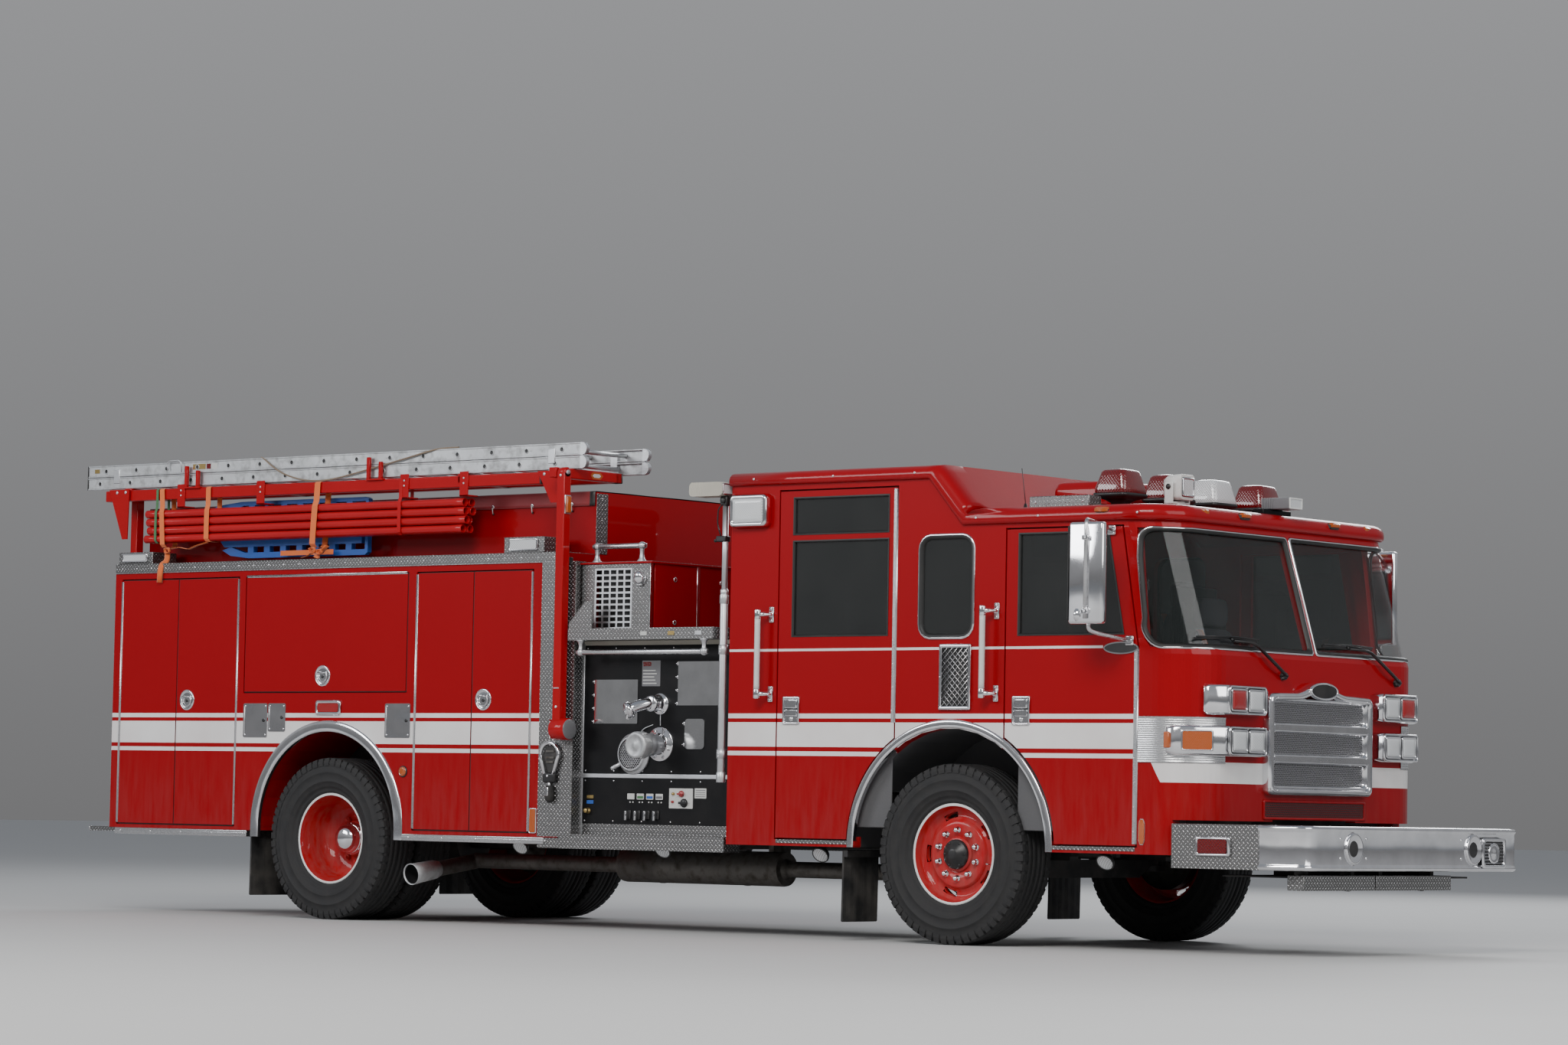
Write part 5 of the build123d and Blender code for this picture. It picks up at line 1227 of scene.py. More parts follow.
@dataclass
class Wheels:
    """The six tyres on their painted disc wheels."""

    tyre_radius: float = 0.533
    tyre_half: float = 0.150
    outer_y: float = 1.220
    dual_pitch: float = 0.340
    blocks: int = 58

    def tyre(self, name: str, body: str, x: float, middles: Sequence[float], node: str) -> None:
        """Makes the tyres of one side of one axle, with their tread blocks and lettering-free walls.

        Args:
            name: The piece's name.
            body: The body that it rides on.
            x: The axle's station.
            middles: The middle plane of each tyre.
            node: The frame's node that it stands for.
        """
        form = Form(name, body, Shop.tyre, "tyre_black")
        radius = self.tyre_radius
        groove = radius - 0.016
        for middle in middles:
            wall = [
                (0.300, 0.112), (0.306, 0.122), (0.318, 0.127), (0.330, 0.124),
                (0.336, 0.133), (0.350, 0.141),
                (0.372, 0.146), (0.374, 0.149), (0.380, 0.149), (0.382, 0.147), (0.405, 0.1495),
                (0.432, 0.1495),
                (0.434, 0.1515), (0.441, 0.1515), (0.443, 0.149), (0.468, 0.1465), (0.488, 0.143),
                (0.492, 0.1445),
                (0.500, 0.1435), (groove - 0.002, 0.139), (groove, 0.132),
            ]
            ribs = []
            for rib_low, rib_high in ((0.128, 0.094), (0.084, 0.050), (0.040, 0.010)):
                ribs += [(groove, rib_low + 0.003), (radius - 0.003, rib_low), (radius - 0.001, rib_high),
                         (groove, rib_high - 0.003)]
            half_profile = wall + ribs
            profile = [(r, y) for r, y in half_profile] + [(r, -y) for r, y in half_profile[::-1]]
            form.lathe((x, middle, AXLE_Z), Y_AXIS, profile, 96)
            self.lugs(form, x, middle)
        form.done([node])

    def lugs(self, form: Form, x: float, middle: float) -> None:
        """Adds the shoulder blocks that stand out round the tread's two edges."""
        for lug in range(self.blocks):
            turn = math.tau * lug / self.blocks
            out = Vector((math.cos(turn), 0, math.sin(turn)))
            along = Vector((-math.sin(turn), 0, math.cos(turn)))
            centre = Vector((x, middle, AXLE_Z))
            for end in (-1, 1):
                width = math.pi * self.tyre_radius / self.blocks * 0.68
                loops = []
                lean = along * (0.010 * end)
                for y, low, high in ((0.088, 0.512, 0.5318), (0.126, 0.512, 0.5315), (0.141, 0.505, 0.5270),
                                     (0.1490, 0.478, 0.497)):
                    loops.append([centre + out * r + Vector((0, end * y, 0)) + along * half + lean
                                  for r,
                                  half in ((high, width), (high, -width), (low, -width), (low, width))])
                form.loft(loops, smooth=False, caps=True)

    @staticmethod
    def circle(x: float, y: float, radius: float, count: int, ahead: float = 0.0) -> list[Point]:
        """Places on a circle round an axle, for nuts and bolts.

        Args:
            x: The axle's station.
            y: The circle's plane.
            radius: Its radius.
            count: How many places.
            ahead: The first one's angle, as a part of a step.

        Returns:
            The places in the vehicle.
        """
        return [(x + radius * math.cos(t), y, AXLE_Z + radius * math.sin(t)) for t in bearings(count, ahead)]

    def front_wheel(self, side: Side) -> None:
        """Makes a front disc wheel: flange with a bright edge, five hand holes, ten nuts and the hub.

        Args:
            side: Which side it is on.
        """
        s = side.value
        face = s * (self.outer_y - self.tyre_half)
        form = Form(f"{side.word}_front_disc_wheel", f"{side.word}_front_wheel_set",
                    Shop.wheel_red, "red_paint")
        origin, axis = (FRONT_AXLE_X, face, AXLE_Z), (0, s, 0)
        form.turned(
            origin, axis,
            (Shop.white, 64, [(0.299, 0.096), (0.3005, 0.112), (0.292, 0.117), (0.284, 0.112)]),
            (Shop.wheel_red, 64,
             [(0.284, 0.112), (0.280, 0.098), (0.277, 0.070), (0.270, 0.056), (0.263, 0.052)]),
            (Shop.wheel_red, 64,
             [(0.299, -0.110), (0.286, -0.104), (0.280, 0.02), (0.276, 0.036), (0.270, 0.056)]))
        self.disc_with_holes(form, side, face)
        form.turned(
            origin, axis,
            (Shop.wheel_red, 64,
             [(0.206, 0.050), (0.196, 0.066), (0.188, 0.070), (0.118, 0.070), (0.112, 0.064),
              (0.100, 0.064)]),
            (Shop.iron, 40, [(0.215, -0.07), (0.215, 0.0), (0.0, 0.0)]),
            (Shop.wheel_red, 48, [(0.103, 0.060), (0.103, 0.074), (0.098, 0.078), (0.088, 0.080)]),
            (Shop.black, 40, [(0.088, 0.074), (0.087, 0.096), (0.080, 0.103), (0.066, 0.106), (0.062, 0.113),
                              (0.040, 0.117), (0.034, 0.124), (0.020, 0.126), (0, 0.126)]))
        for at in self.circle(FRONT_AXLE_X, face + s * 0.101, 0.073, 6):
            form.bolt(at, axis, 0.008, 0.008)
        form.wear(Shop.chrome)
        for at in self.circle(FRONT_AXLE_X, face + s * 0.069, 0.143, 10, 0.5):
            form.lathe(at, axis,
                       [(0.021, 0), (0.021, 0.005), (0.0165, 0.006), (0.0155, 0.026), (0.011, 0.033),
                        (0, 0.035)], 12)
        form.rod((FRONT_AXLE_X + 0.243, face + s * 0.03, AXLE_Z - 0.06),
                 (FRONT_AXLE_X + 0.232, face + s * 0.10, AXLE_Z - 0.052), 0.004)
        form.done([f"{side.word}_front_wheel"])

    def disc_with_holes(self, form: Form, side: Side, face: float) -> None:
        """Makes the dished band of the disc that the hand holes pierce.

        Args:
            form: The wheel.
            side: Which side it is on.
            face: The wheel's middle plane.
        """
        s = side.value
        holes, steps = 5, 60
        u, v, w = frame_of((0, s, 0))
        base = Vector((FRONT_AXLE_X, face, AXLE_Z))

        def at(radius: float, turn: float, depth: float) -> Vector:
            """A point of the disc."""
            return base + (u * math.cos(turn) + v * math.sin(turn)) * radius + w * depth

        rows = [[at(r, math.tau * k / steps, d) for k in range(steps)] for r, d in (
            (0.263, 0.052), (0.252, 0.042), (0.236, 0.037), (0.220, 0.042), (0.206, 0.050))]
        verts = [[form.mesh.verts.new(p) for p in row] for row in rows]
        span = steps // holes
        made = []
        for row, (first, second) in enumerate(zip(verts, verts[1:])):
            for k in range(steps):
                hole = row in (1, 2) and (k % span) in (4, 5, 6, 7)
                if not hole:
                    made.append(form.mesh.faces.new((first[k], first[(k + 1) % steps],
                                                     second[(k + 1) % steps], second[k])))
        form._stamp(made, True)
        for hole in range(holes):
            middle = math.tau * (hole * span + 6) / steps
            rim = [(0.236 + 0.0155 * math.sin(t), middle + 0.204 * math.cos(t) * 0.98) for t in bearings(20)]
            inner = [(0.236 + (r - 0.236) * 0.82, middle + (m - middle) * 0.86) for r, m in rim]
            edges = ((rim, 0.041), (inner, 0.034), (inner, 0.012))
            form.loft([[at(r, m, depth) for r, m in edge] for edge, depth in edges])

    def rear_wheels(self, side: Side) -> None:
        """Makes a rear pair: the outer rim is deep, with a polished dome on the axle's end.

        Args:
            side: Which side it is on.
        """
        s = side.value
        middle = s * (self.outer_y - self.tyre_half - self.dual_pitch / 2)
        form = Form(f"{side.word}_rear_disc_wheels", f"{side.word}_rear_wheel_set",
                    Shop.wheel_red, "red_paint")
        origin, axis = (REAR_AXLE_X, middle, AXLE_Z), (0, s, 0)
        form.turned(
            origin, axis,
            (Shop.white, 64, [(0.299, 0.266), (0.3005, 0.282), (0.292, 0.287), (0.284, 0.282)]),
            (Shop.wheel_red, 64, [
                (0.284, 0.282), (0.280, 0.262), (0.274, 0.215), (0.269, 0.110),
                (0.262, 0.075), (0.244, 0.052),
                (0.226, 0.034), (0.206, 0.022), (0.176, 0.016), (0.150, 0.015),
                (0.126, 0.015), (0.118, 0.030),
                (0.116, 0.060), (0.106, 0.068)]),
            (Shop.wheel_red, 48, [(0.299, 0.058), (0.287, 0.064), (0.284, 0.150), (0.269, 0.110)]),
            (Shop.wheel_red, 48, [(0.299, -0.058), (0.287, -0.064), (0.280, -0.2), (0.286, -0.276),
                                  (0.2995, -0.284)]),
            (Shop.wheel_red, 48, [(0.280, -0.2), (0.262, -0.075), (0.226, -0.034), (0.215, -0.010)]),
            (Shop.iron, 40, [(0.215, -0.004), (0.216, -0.080), (0.215, -0.150), (0.06, -0.155)]),
            (Shop.chrome, 48, [
                (0.106, 0.064), (0.108, 0.080), (0.104, 0.088), (0.098, 0.090),
                (0.094, 0.098), (0.092, 0.132),
                (0.087, 0.150), (0.074, 0.166), (0.054, 0.176), (0.028, 0.181), (0, 0.182)]),
            (Shop.chrome, 48, [(0.097, 0.088), (0.1015, 0.093), (0.0985, 0.100), (0.092, 0.101)]))
        for at in self.circle(REAR_AXLE_X, middle + s * 0.087, 0.100, 8):
            form.bolt(at, axis, 0.006, 0.006)
        form.wear(Shop.wheel_red)
        for at in self.circle(REAR_AXLE_X, middle + s * 0.014, 0.150, 10, 0.5):
            form.nut(at, axis, 0.020, 0.024)
            form.rod(at, (at[0], at[1] + s * 0.040, at[2]), 0.010, 10)
        form.done([f"{side.word}_rear_wheels"])

    def build(self) -> None:
        """Makes every wheel and tyre."""
        for side in Side:
            s, word = side.value, side.word
            front = s * (self.outer_y - self.tyre_half)
            rear = s * (self.outer_y - self.tyre_half - self.dual_pitch / 2)
            pair = [rear - self.dual_pitch / 2, rear + self.dual_pitch / 2]
            for end, x, middles in (("front_tyre", FRONT_AXLE_X, [front]), ("rear_tyres", REAR_AXLE_X, pair)):
                body = f"{word}_{end.split('_')[0]}_wheel_set"
                self.tyre(f"{word}_{end}_dressed", body, x, middles, f"{word}_{end}")
            self.front_wheel(side)
            self.rear_wheels(side)


# Cab nose

CAB_FRONT = 4.350
BELT_Z = 1.700
EAVE_Z = 2.470
RAKE = 0.226
CORNER = 0.300


def front_at(z: float) -> float:
    """How far forward the cab's face stands at a height."""
    return CAB_FRONT - RAKE * min(1.0, max(0.0, (z - BELT_Z) / (EAVE_Z - BELT_Z)))


def nose_at(t: float, z: float, out: float = 0.0, side: int = -1) -> Vector:
    """A point on the cab's skin, by its distance round from the middle of the face.

    Args:
        t: Metres round the skin from the middle.
        z: Height.
        out: Metres off the skin.
        side: The sign of Y that it goes towards.

    Returns:
        The point.
    """
    front, flat_half = front_at(z), HALF_WIDTH - CORNER
    if t <= flat_half:
        return Vector((front + out, side * t, z))
    turn = (t - flat_half) / CORNER
    if turn < math.pi / 2:
        return Vector((front - CORNER + (CORNER + out) * math.cos(turn),
                       side * (flat_half + (CORNER + out) * math.sin(turn)), z))
    return Vector((front - CORNER - (t - flat_half - CORNER * math.pi / 2), side * (HALF_WIDTH + out), z))


def skin_grid(form: Form, ts: Sequence[float], zs: Sequence[float],
              out: Callable[[float, float], float], side: int,
              smooth: bool = True) -> None:
    """Lays a sheet on the cab's skin.

    Args:
        form: The piece that gets it.
        ts: Stations round the skin.
        zs: Heights.
        out: How far off the skin each point stands.
        side: The sign of Y.
        smooth: Whether it is shaded round.
    """
    form.loft([[nose_at(t, z, out(t, z), side) for t in ts] for z in zs], closed=False, smooth=smooth)


@dataclass
class Windscreen:
    """The two panes' rubber gaskets with their bright beads, and the wipers."""

    low: float = 1.739
    high: float = 2.424
    post: float = 0.020
    rear_high: float = 1.333
    rear_low: float = 1.447
    round_off: float = 0.105

    def outline(self, inset: float) -> list[Flat]:
        """One pane's outline on the skin, drawn in by an inset."""
        a, b = self.post + inset, self.low + inset
        top, r = self.high - inset, self.round_off - inset * 0.8
        rear_high, rear_low = self.rear_high - inset, self.rear_low - inset
        slope = (rear_low - rear_high) / (self.high - self.low)
        lean = math.degrees(math.atan(slope))
        points: list[Flat] = [(a, b + 0.02), (a + 0.006, b + 0.006), (a + 0.02, b)]
        points += [(a + (rear_low - r - a) * k / 10, b) for k in range(1, 10)]
        points += arc(rear_low - r - 0.006, b + r, r, -90, lean, 8)
        points += [(rear_low + (rear_high - rear_low) * k / 8, b + (top - b) * k / 8) for k in range(2, 7)]
        points += arc(rear_high - r + 0.006, top - r, r, lean, 90, 8)
        points += [(rear_high - r - (rear_high - r - a) * k / 10, top) for k in range(1, 10)]
        points += [(a + 0.02, top), (a + 0.006, top - 0.006), (a, top - 0.02)]
        return points

    def build(self) -> None:
        """Makes both gaskets and both wipers."""
        form = Form("windscreen_gaskets", "cab", Shop.gasket, "black_plastic")
        for side in (-1, 1):
            for finish, edge in (
                    (Shop.chrome, ((-0.010, 0.001), (-0.009, 0.006), (-0.003, 0.008), (0.000, 0.0075))),
                    (Shop.gasket, ((0.000, 0.0075), (0.004, 0.009), (0.012, 0.006), (0.020, -0.004),
                                   (0.022, -0.013)))):
                form.wear(finish).loft([[nose_at(t, z, out, side) for t, z in self.outline(inset)] for inset,
                                        out in edge])
        form.done()
        wipers = Form("windscreen_wipers", "cab", Shop.black, "black_plastic")
        for side, pivot, tip_t, tip_z in ((-1, 0.360, 0.880, 1.845), (1, 0.880, 0.350, 1.845)):
            base = nose_at(pivot, 1.600, 0.0, side)
            wipers.lathe(tuple(base), (1, 0, 0.1),
                         [(0.024, -0.004), (0.024, 0.022), (0.016, 0.034), (0.006, 0.040), (0, 0.040)], 16)
            arm = [nose_at(pivot, 1.600, 0.034, side),
                   nose_at(pivot + (tip_t - pivot) * 0.25, 1.66, 0.046, side),
                   nose_at(pivot + (tip_t - pivot) * 0.6, 1.78, 0.040, side),
                   nose_at(tip_t, tip_z - 0.06, 0.030, side)]
            wipers.tube(arm, 0.008, 8, bend=0.05, flat=1.6)
            blade = [nose_at(tip_t - 0.27, 1.792, 0.016, side), nose_at(tip_t, 1.800, 0.018, side),
                     nose_at(tip_t + 0.27, 1.792, 0.016, side)]
            wipers.tube(blade, 0.007, 6, bend=0.1)
            wipers.tube([p + Vector((0.012, 0, 0.010)) for p in blade], 0.0045, 6, bend=0.1)
            wipers.rod(tuple(blade[1]), tuple(arm[-1]), 0.009, 8)
        wipers.done()


@dataclass
class Grille:
    """The bright grille: a moulded surround, three mesh bays and a bare oval plate in its crest."""

    half: float = 0.553
    low: float = 0.910
    high: float = 1.512
    face: float = 4.405

    def surround(self, inset: float, dome: float) -> list[Flat]:
        """The surround's outline with its raised middle.

        Args:
            inset: How far in from the outer edge.
            dome: Height of the crest over the top edge.

        Returns:
            The outline, anticlockwise seen from the front.
        """
        r = 0.045 - inset * 0.5
        left, right, low, high = -self.half + inset, self.half - inset, self.low + inset, self.high - inset
        points = arc(right - r, low + r, r, -90, 0, 5) + arc(right - r, high - 0.012 - r, r, 0, 86, 5)
        for k in range(1, 16):
            y = 0.30 - 0.60 * k / 16
            bump = 0.5 + 0.5 * math.cos(math.pi * y / 0.30)
            points.append((y, high - 0.012 + 0.012 * (1 - abs(y) / 0.5) + dome * bump ** 1.3))
        return points + arc(left + r, high - 0.012 - r, r, 94, 180, 5) + arc(left + r,
            low + r, r, 180, 270, 5)

    def build(self) -> None:
        """Makes the surround, bars and mesh."""
        form = Form("grille_surround", "cab", Shop.chrome, "chrome")
        plane = facing_ahead(CAB_FRONT, 0, 0)
        steps = ((0.0, -0.001), (0.0, 0.040), (0.006, 0.052), (0.016, 0.058), (0.030, 0.058), (0.038, 0.052),
                 (0.044, 0.036), (0.046, 0.010))
        form.shell(plane, ((self.surround(inset, 0.060 - inset * 0.4), out) for inset, out in steps))
        bay = (self.high - self.low - 0.096 - 0.072) / 3
        inner = self.half - 0.045
        for row in range(3):
            low = self.low + 0.048 + row * (bay + 0.036)
            high = low + bay
            cut = rounded((-inner, low), (inner, high), 0.030, 4)
            frame_in = rounded((-inner + 0.020, low + 0.014), (inner - 0.020, high - 0.014), 0.022, 4)
            form.wear(Shop.chrome).shell(plane, (
                (grown(cut, 0.012), 0.030), (grown(cut, 0.006), 0.042), (cut, 0.044),
                (grown(cut, -0.006), 0.040),
                (frame_in, 0.020), (frame_in, 0.012)))
            form.wear(Shop.grille_mesh).slab(plane, frame_in, 0.008, 0.014)
            if row < 2:
                bar = rounded((-inner - 0.004, high + 0.002), (inner + 0.004, high + 0.034), 0.008, 3)
                form.wear(Shop.chrome).slab(plane, bar, 0.030, 0.056, 0.008, 2)
        for y in (-0.48, 0.48):
            for z in (self.low + 0.028, self.high - 0.040):
                form.wear(Shop.chrome).bolt((CAB_FRONT + 0.054, y, z), X_AXIS, 0.008, 0.006)
        badge, face = ([(half_u * math.cos(t),
                         self.high + 0.010 + half_v * math.sin(t)) for t in bearings(40)]
                       for half_u, half_v in ((0.150, 0.052), (0.132, 0.039)))
        form.wear(Shop.chrome).shell(plane, (
            (badge, 0.044), (badge, 0.062), (grown(badge, -0.006), 0.068),
            (grown(face, 0.002), 0.066), (face, 0.062)))
        form.wear(Shop.black).slab(plane, face, 0.056, 0.0635, 0.002)
        form.done(["grille"])


@dataclass
class LampCluster:
    """One side's bezels: warning lamps above, headlamps and the wrap-round turn lamp below."""

    side: Side

    def bezel(self, form: Form, path: Sequence[Flat], back: Sequence[Flat], low: float, high: float) -> None:
        """Makes a moulded bezel that wraps the corner.

        Args:
            form: The piece that gets it.
            path: Its face in plan, from the inner end outward, as (x, y off the middle).
            back: The line on the cab behind each point of the face.
            low: Its lower edge.
            high: Its upper edge.
        """
        s, e = self.side.value, 0.016
        loops = []
        last = len(path) - 1
        for i, ((x, y), (bx, by)) in enumerate(zip(path, back)):
            pinch = 0.012 if i in (0, last) else 0.0
            way = Vector((x - bx, y - by))
            tip = way.normalized() * e if way.length > e else way * 0.5
            zl, zh = low + pinch, high - pinch
            rows = [(bx, by, zh), (x - tip.x * 1.6, y - tip.y * 1.6, zh),
                    (x - tip.x * 0.4, y - tip.y * 0.4, zh - e * 0.35), (x, y, zh - e),
                    (x, y, zl + e), (x - tip.x * 0.4, y - tip.y * 0.4, zl + e * 0.35),
                    (x - tip.x * 1.6, y - tip.y * 1.6, zl), (bx, by, zl)]
            loops.append([Vector((px, s * py, pz)) for px, py, pz in rows])
        form.wear(Shop.chrome).loft(loops, caps=True, smooth=True)

    def cell(self, form: Form, face: float, y: float, z: float, width: float, height: float,
             lens: Finish) -> None:
        """Makes one square lamp in a thin bright frame.

        Args:
            form: The piece that gets it.
            face: The bezel's face station.
            y: The lamp's middle off the vehicle's middle.
            z: Its middle height.
            width: Its width.
            height: Its height.
            lens: What its lens is made of.
        """
        s = self.side.value
        plane = facing_ahead(face, s * y, z)
        outer = rounded((-width / 2, -height / 2), (width / 2, height / 2), 0.016, 4)
        inner = rounded((-width / 2 + 0.011, -height / 2 + 0.011),
                        (width / 2 - 0.011, height / 2 - 0.011), 0.012, 4)
        form.wear(Shop.gasket).slab(plane, grown(outer, 0.003), -0.004, 0.0015)
        form.wear(Shop.chrome).ring(plane, outer, inner, -0.002, 0.006, 0.002)
        dome = ((1.0, 0.002), (0.97, 0.006), (0.7, 0.009), (0.3, 0.011))
        form.wear(lens).shell(plane,
                              (([(u * k, v * k) for u, v in inner], out) for k, out in dome), caps=True)

    def build(self) -> None:
        """Makes both bezels of this side with their lamps, and the ribbed panel behind them."""
        s, word = self.side.value, self.side.word
        form = Form(f"{word}_lamp_bezels", "cab", Shop.chrome, "chrome")
        upper = [(4.412, 0.600), (4.418, 0.66), (4.420, 0.90), (4.419, 1.015), (4.395, 1.062),
                 (4.345, 1.107), (4.322, 1.122)]
        behind = [(4.345, 0.600), (4.345, 0.66), (4.345, 0.90), (4.333, 0.995), (4.305, 1.035),
                  (4.275, 1.072), (4.268, 1.080)]
        self.bezel(form, upper, behind, 1.358, 1.532)
        lower = [(4.412, 0.600), (4.422, 0.66), (4.425, 0.90), (4.424, 0.985), (4.380, 1.060), (4.300, 1.160),
                 (4.222, 1.245), (4.165, 1.268)]
        behind = [(4.345, 0.600), (4.345, 0.66), (4.345, 0.90), (4.335, 0.990), (4.290, 1.070),
                  (4.235, 1.140), (4.170, 1.195), (4.150, 1.235)]
        self.bezel(form, lower, behind, 1.124, 1.298)
        self.cell(form, 4.422, 0.735, 1.445, 0.166, 0.130, Shop.clear_lens)
        self.cell(form, 4.422, 0.912, 1.445, 0.166, 0.130, Shop.red_lens)
        for y in (0.735, 0.912):
            self.cell(form, 4.428, y, 1.211, 0.166, 0.132, Shop.clear_lens)
        for z, face in ((1.445, 4.420), (1.211, 4.425)):
            plane = facing_ahead(face, s * 0.8235, z)
            form.wear(Shop.chrome).ring(plane, centred(0.192, 0.082, 0.024), centred(0.180, 0.071, 0.018),
                                        -0.004, 0.008, 0.004)
        along = Vector((4.222 - 4.380, s * (1.245 - 1.060), 0)).normalized()
        out = Vector((abs(along.y), s * abs(along.x), 0))
        middle = Vector((4.300, s * 1.155, 1.211)) + out * 0.004
        across = along if along.cross(Vector(Z_AXIS)).dot(out) > 0 else -along
        plane = Plane3(tuple(middle), tuple(across), Z_AXIS)
        outer, inner = centred(0.095, 0.060, 0.012), centred(0.086, 0.051, 0.009)
        form.framed(plane, outer, inner, (-0.006, 0.008, 0.002), Shop.amber_lens, (-0.004, 0.006, 0.002))
        form.wear(Shop.amber_lens).box((4.152, s * 1.250, 1.165), (4.188, s * 1.276, 1.258), 0.006, 2)
        form.done(["lamp_clusters"] if self.side is Side.RIGHT else [])
        ribs = Form(f"{word}_ribbed_panel", "cab", Shop.stainless, "bright_steel")
        ts = [0.945 + 0.059 * k for k in range(9)] + [1.460, 1.507]
        zs = [1.083 + 0.261 * k / 84 for k in range(85)]

        def flute(t: float, z: float) -> float:
            """The panel's horizontal flutes."""
            edge = min(z - 1.083, 1.344 - z)
            return 0.003 + (0.0022 * abs(math.sin(math.pi * (z - 1.083) / 0.0124)) if edge > 0.008 else 0.003)

        skin_grid(ribs, ts, zs, flute, s)
        ribs.done()


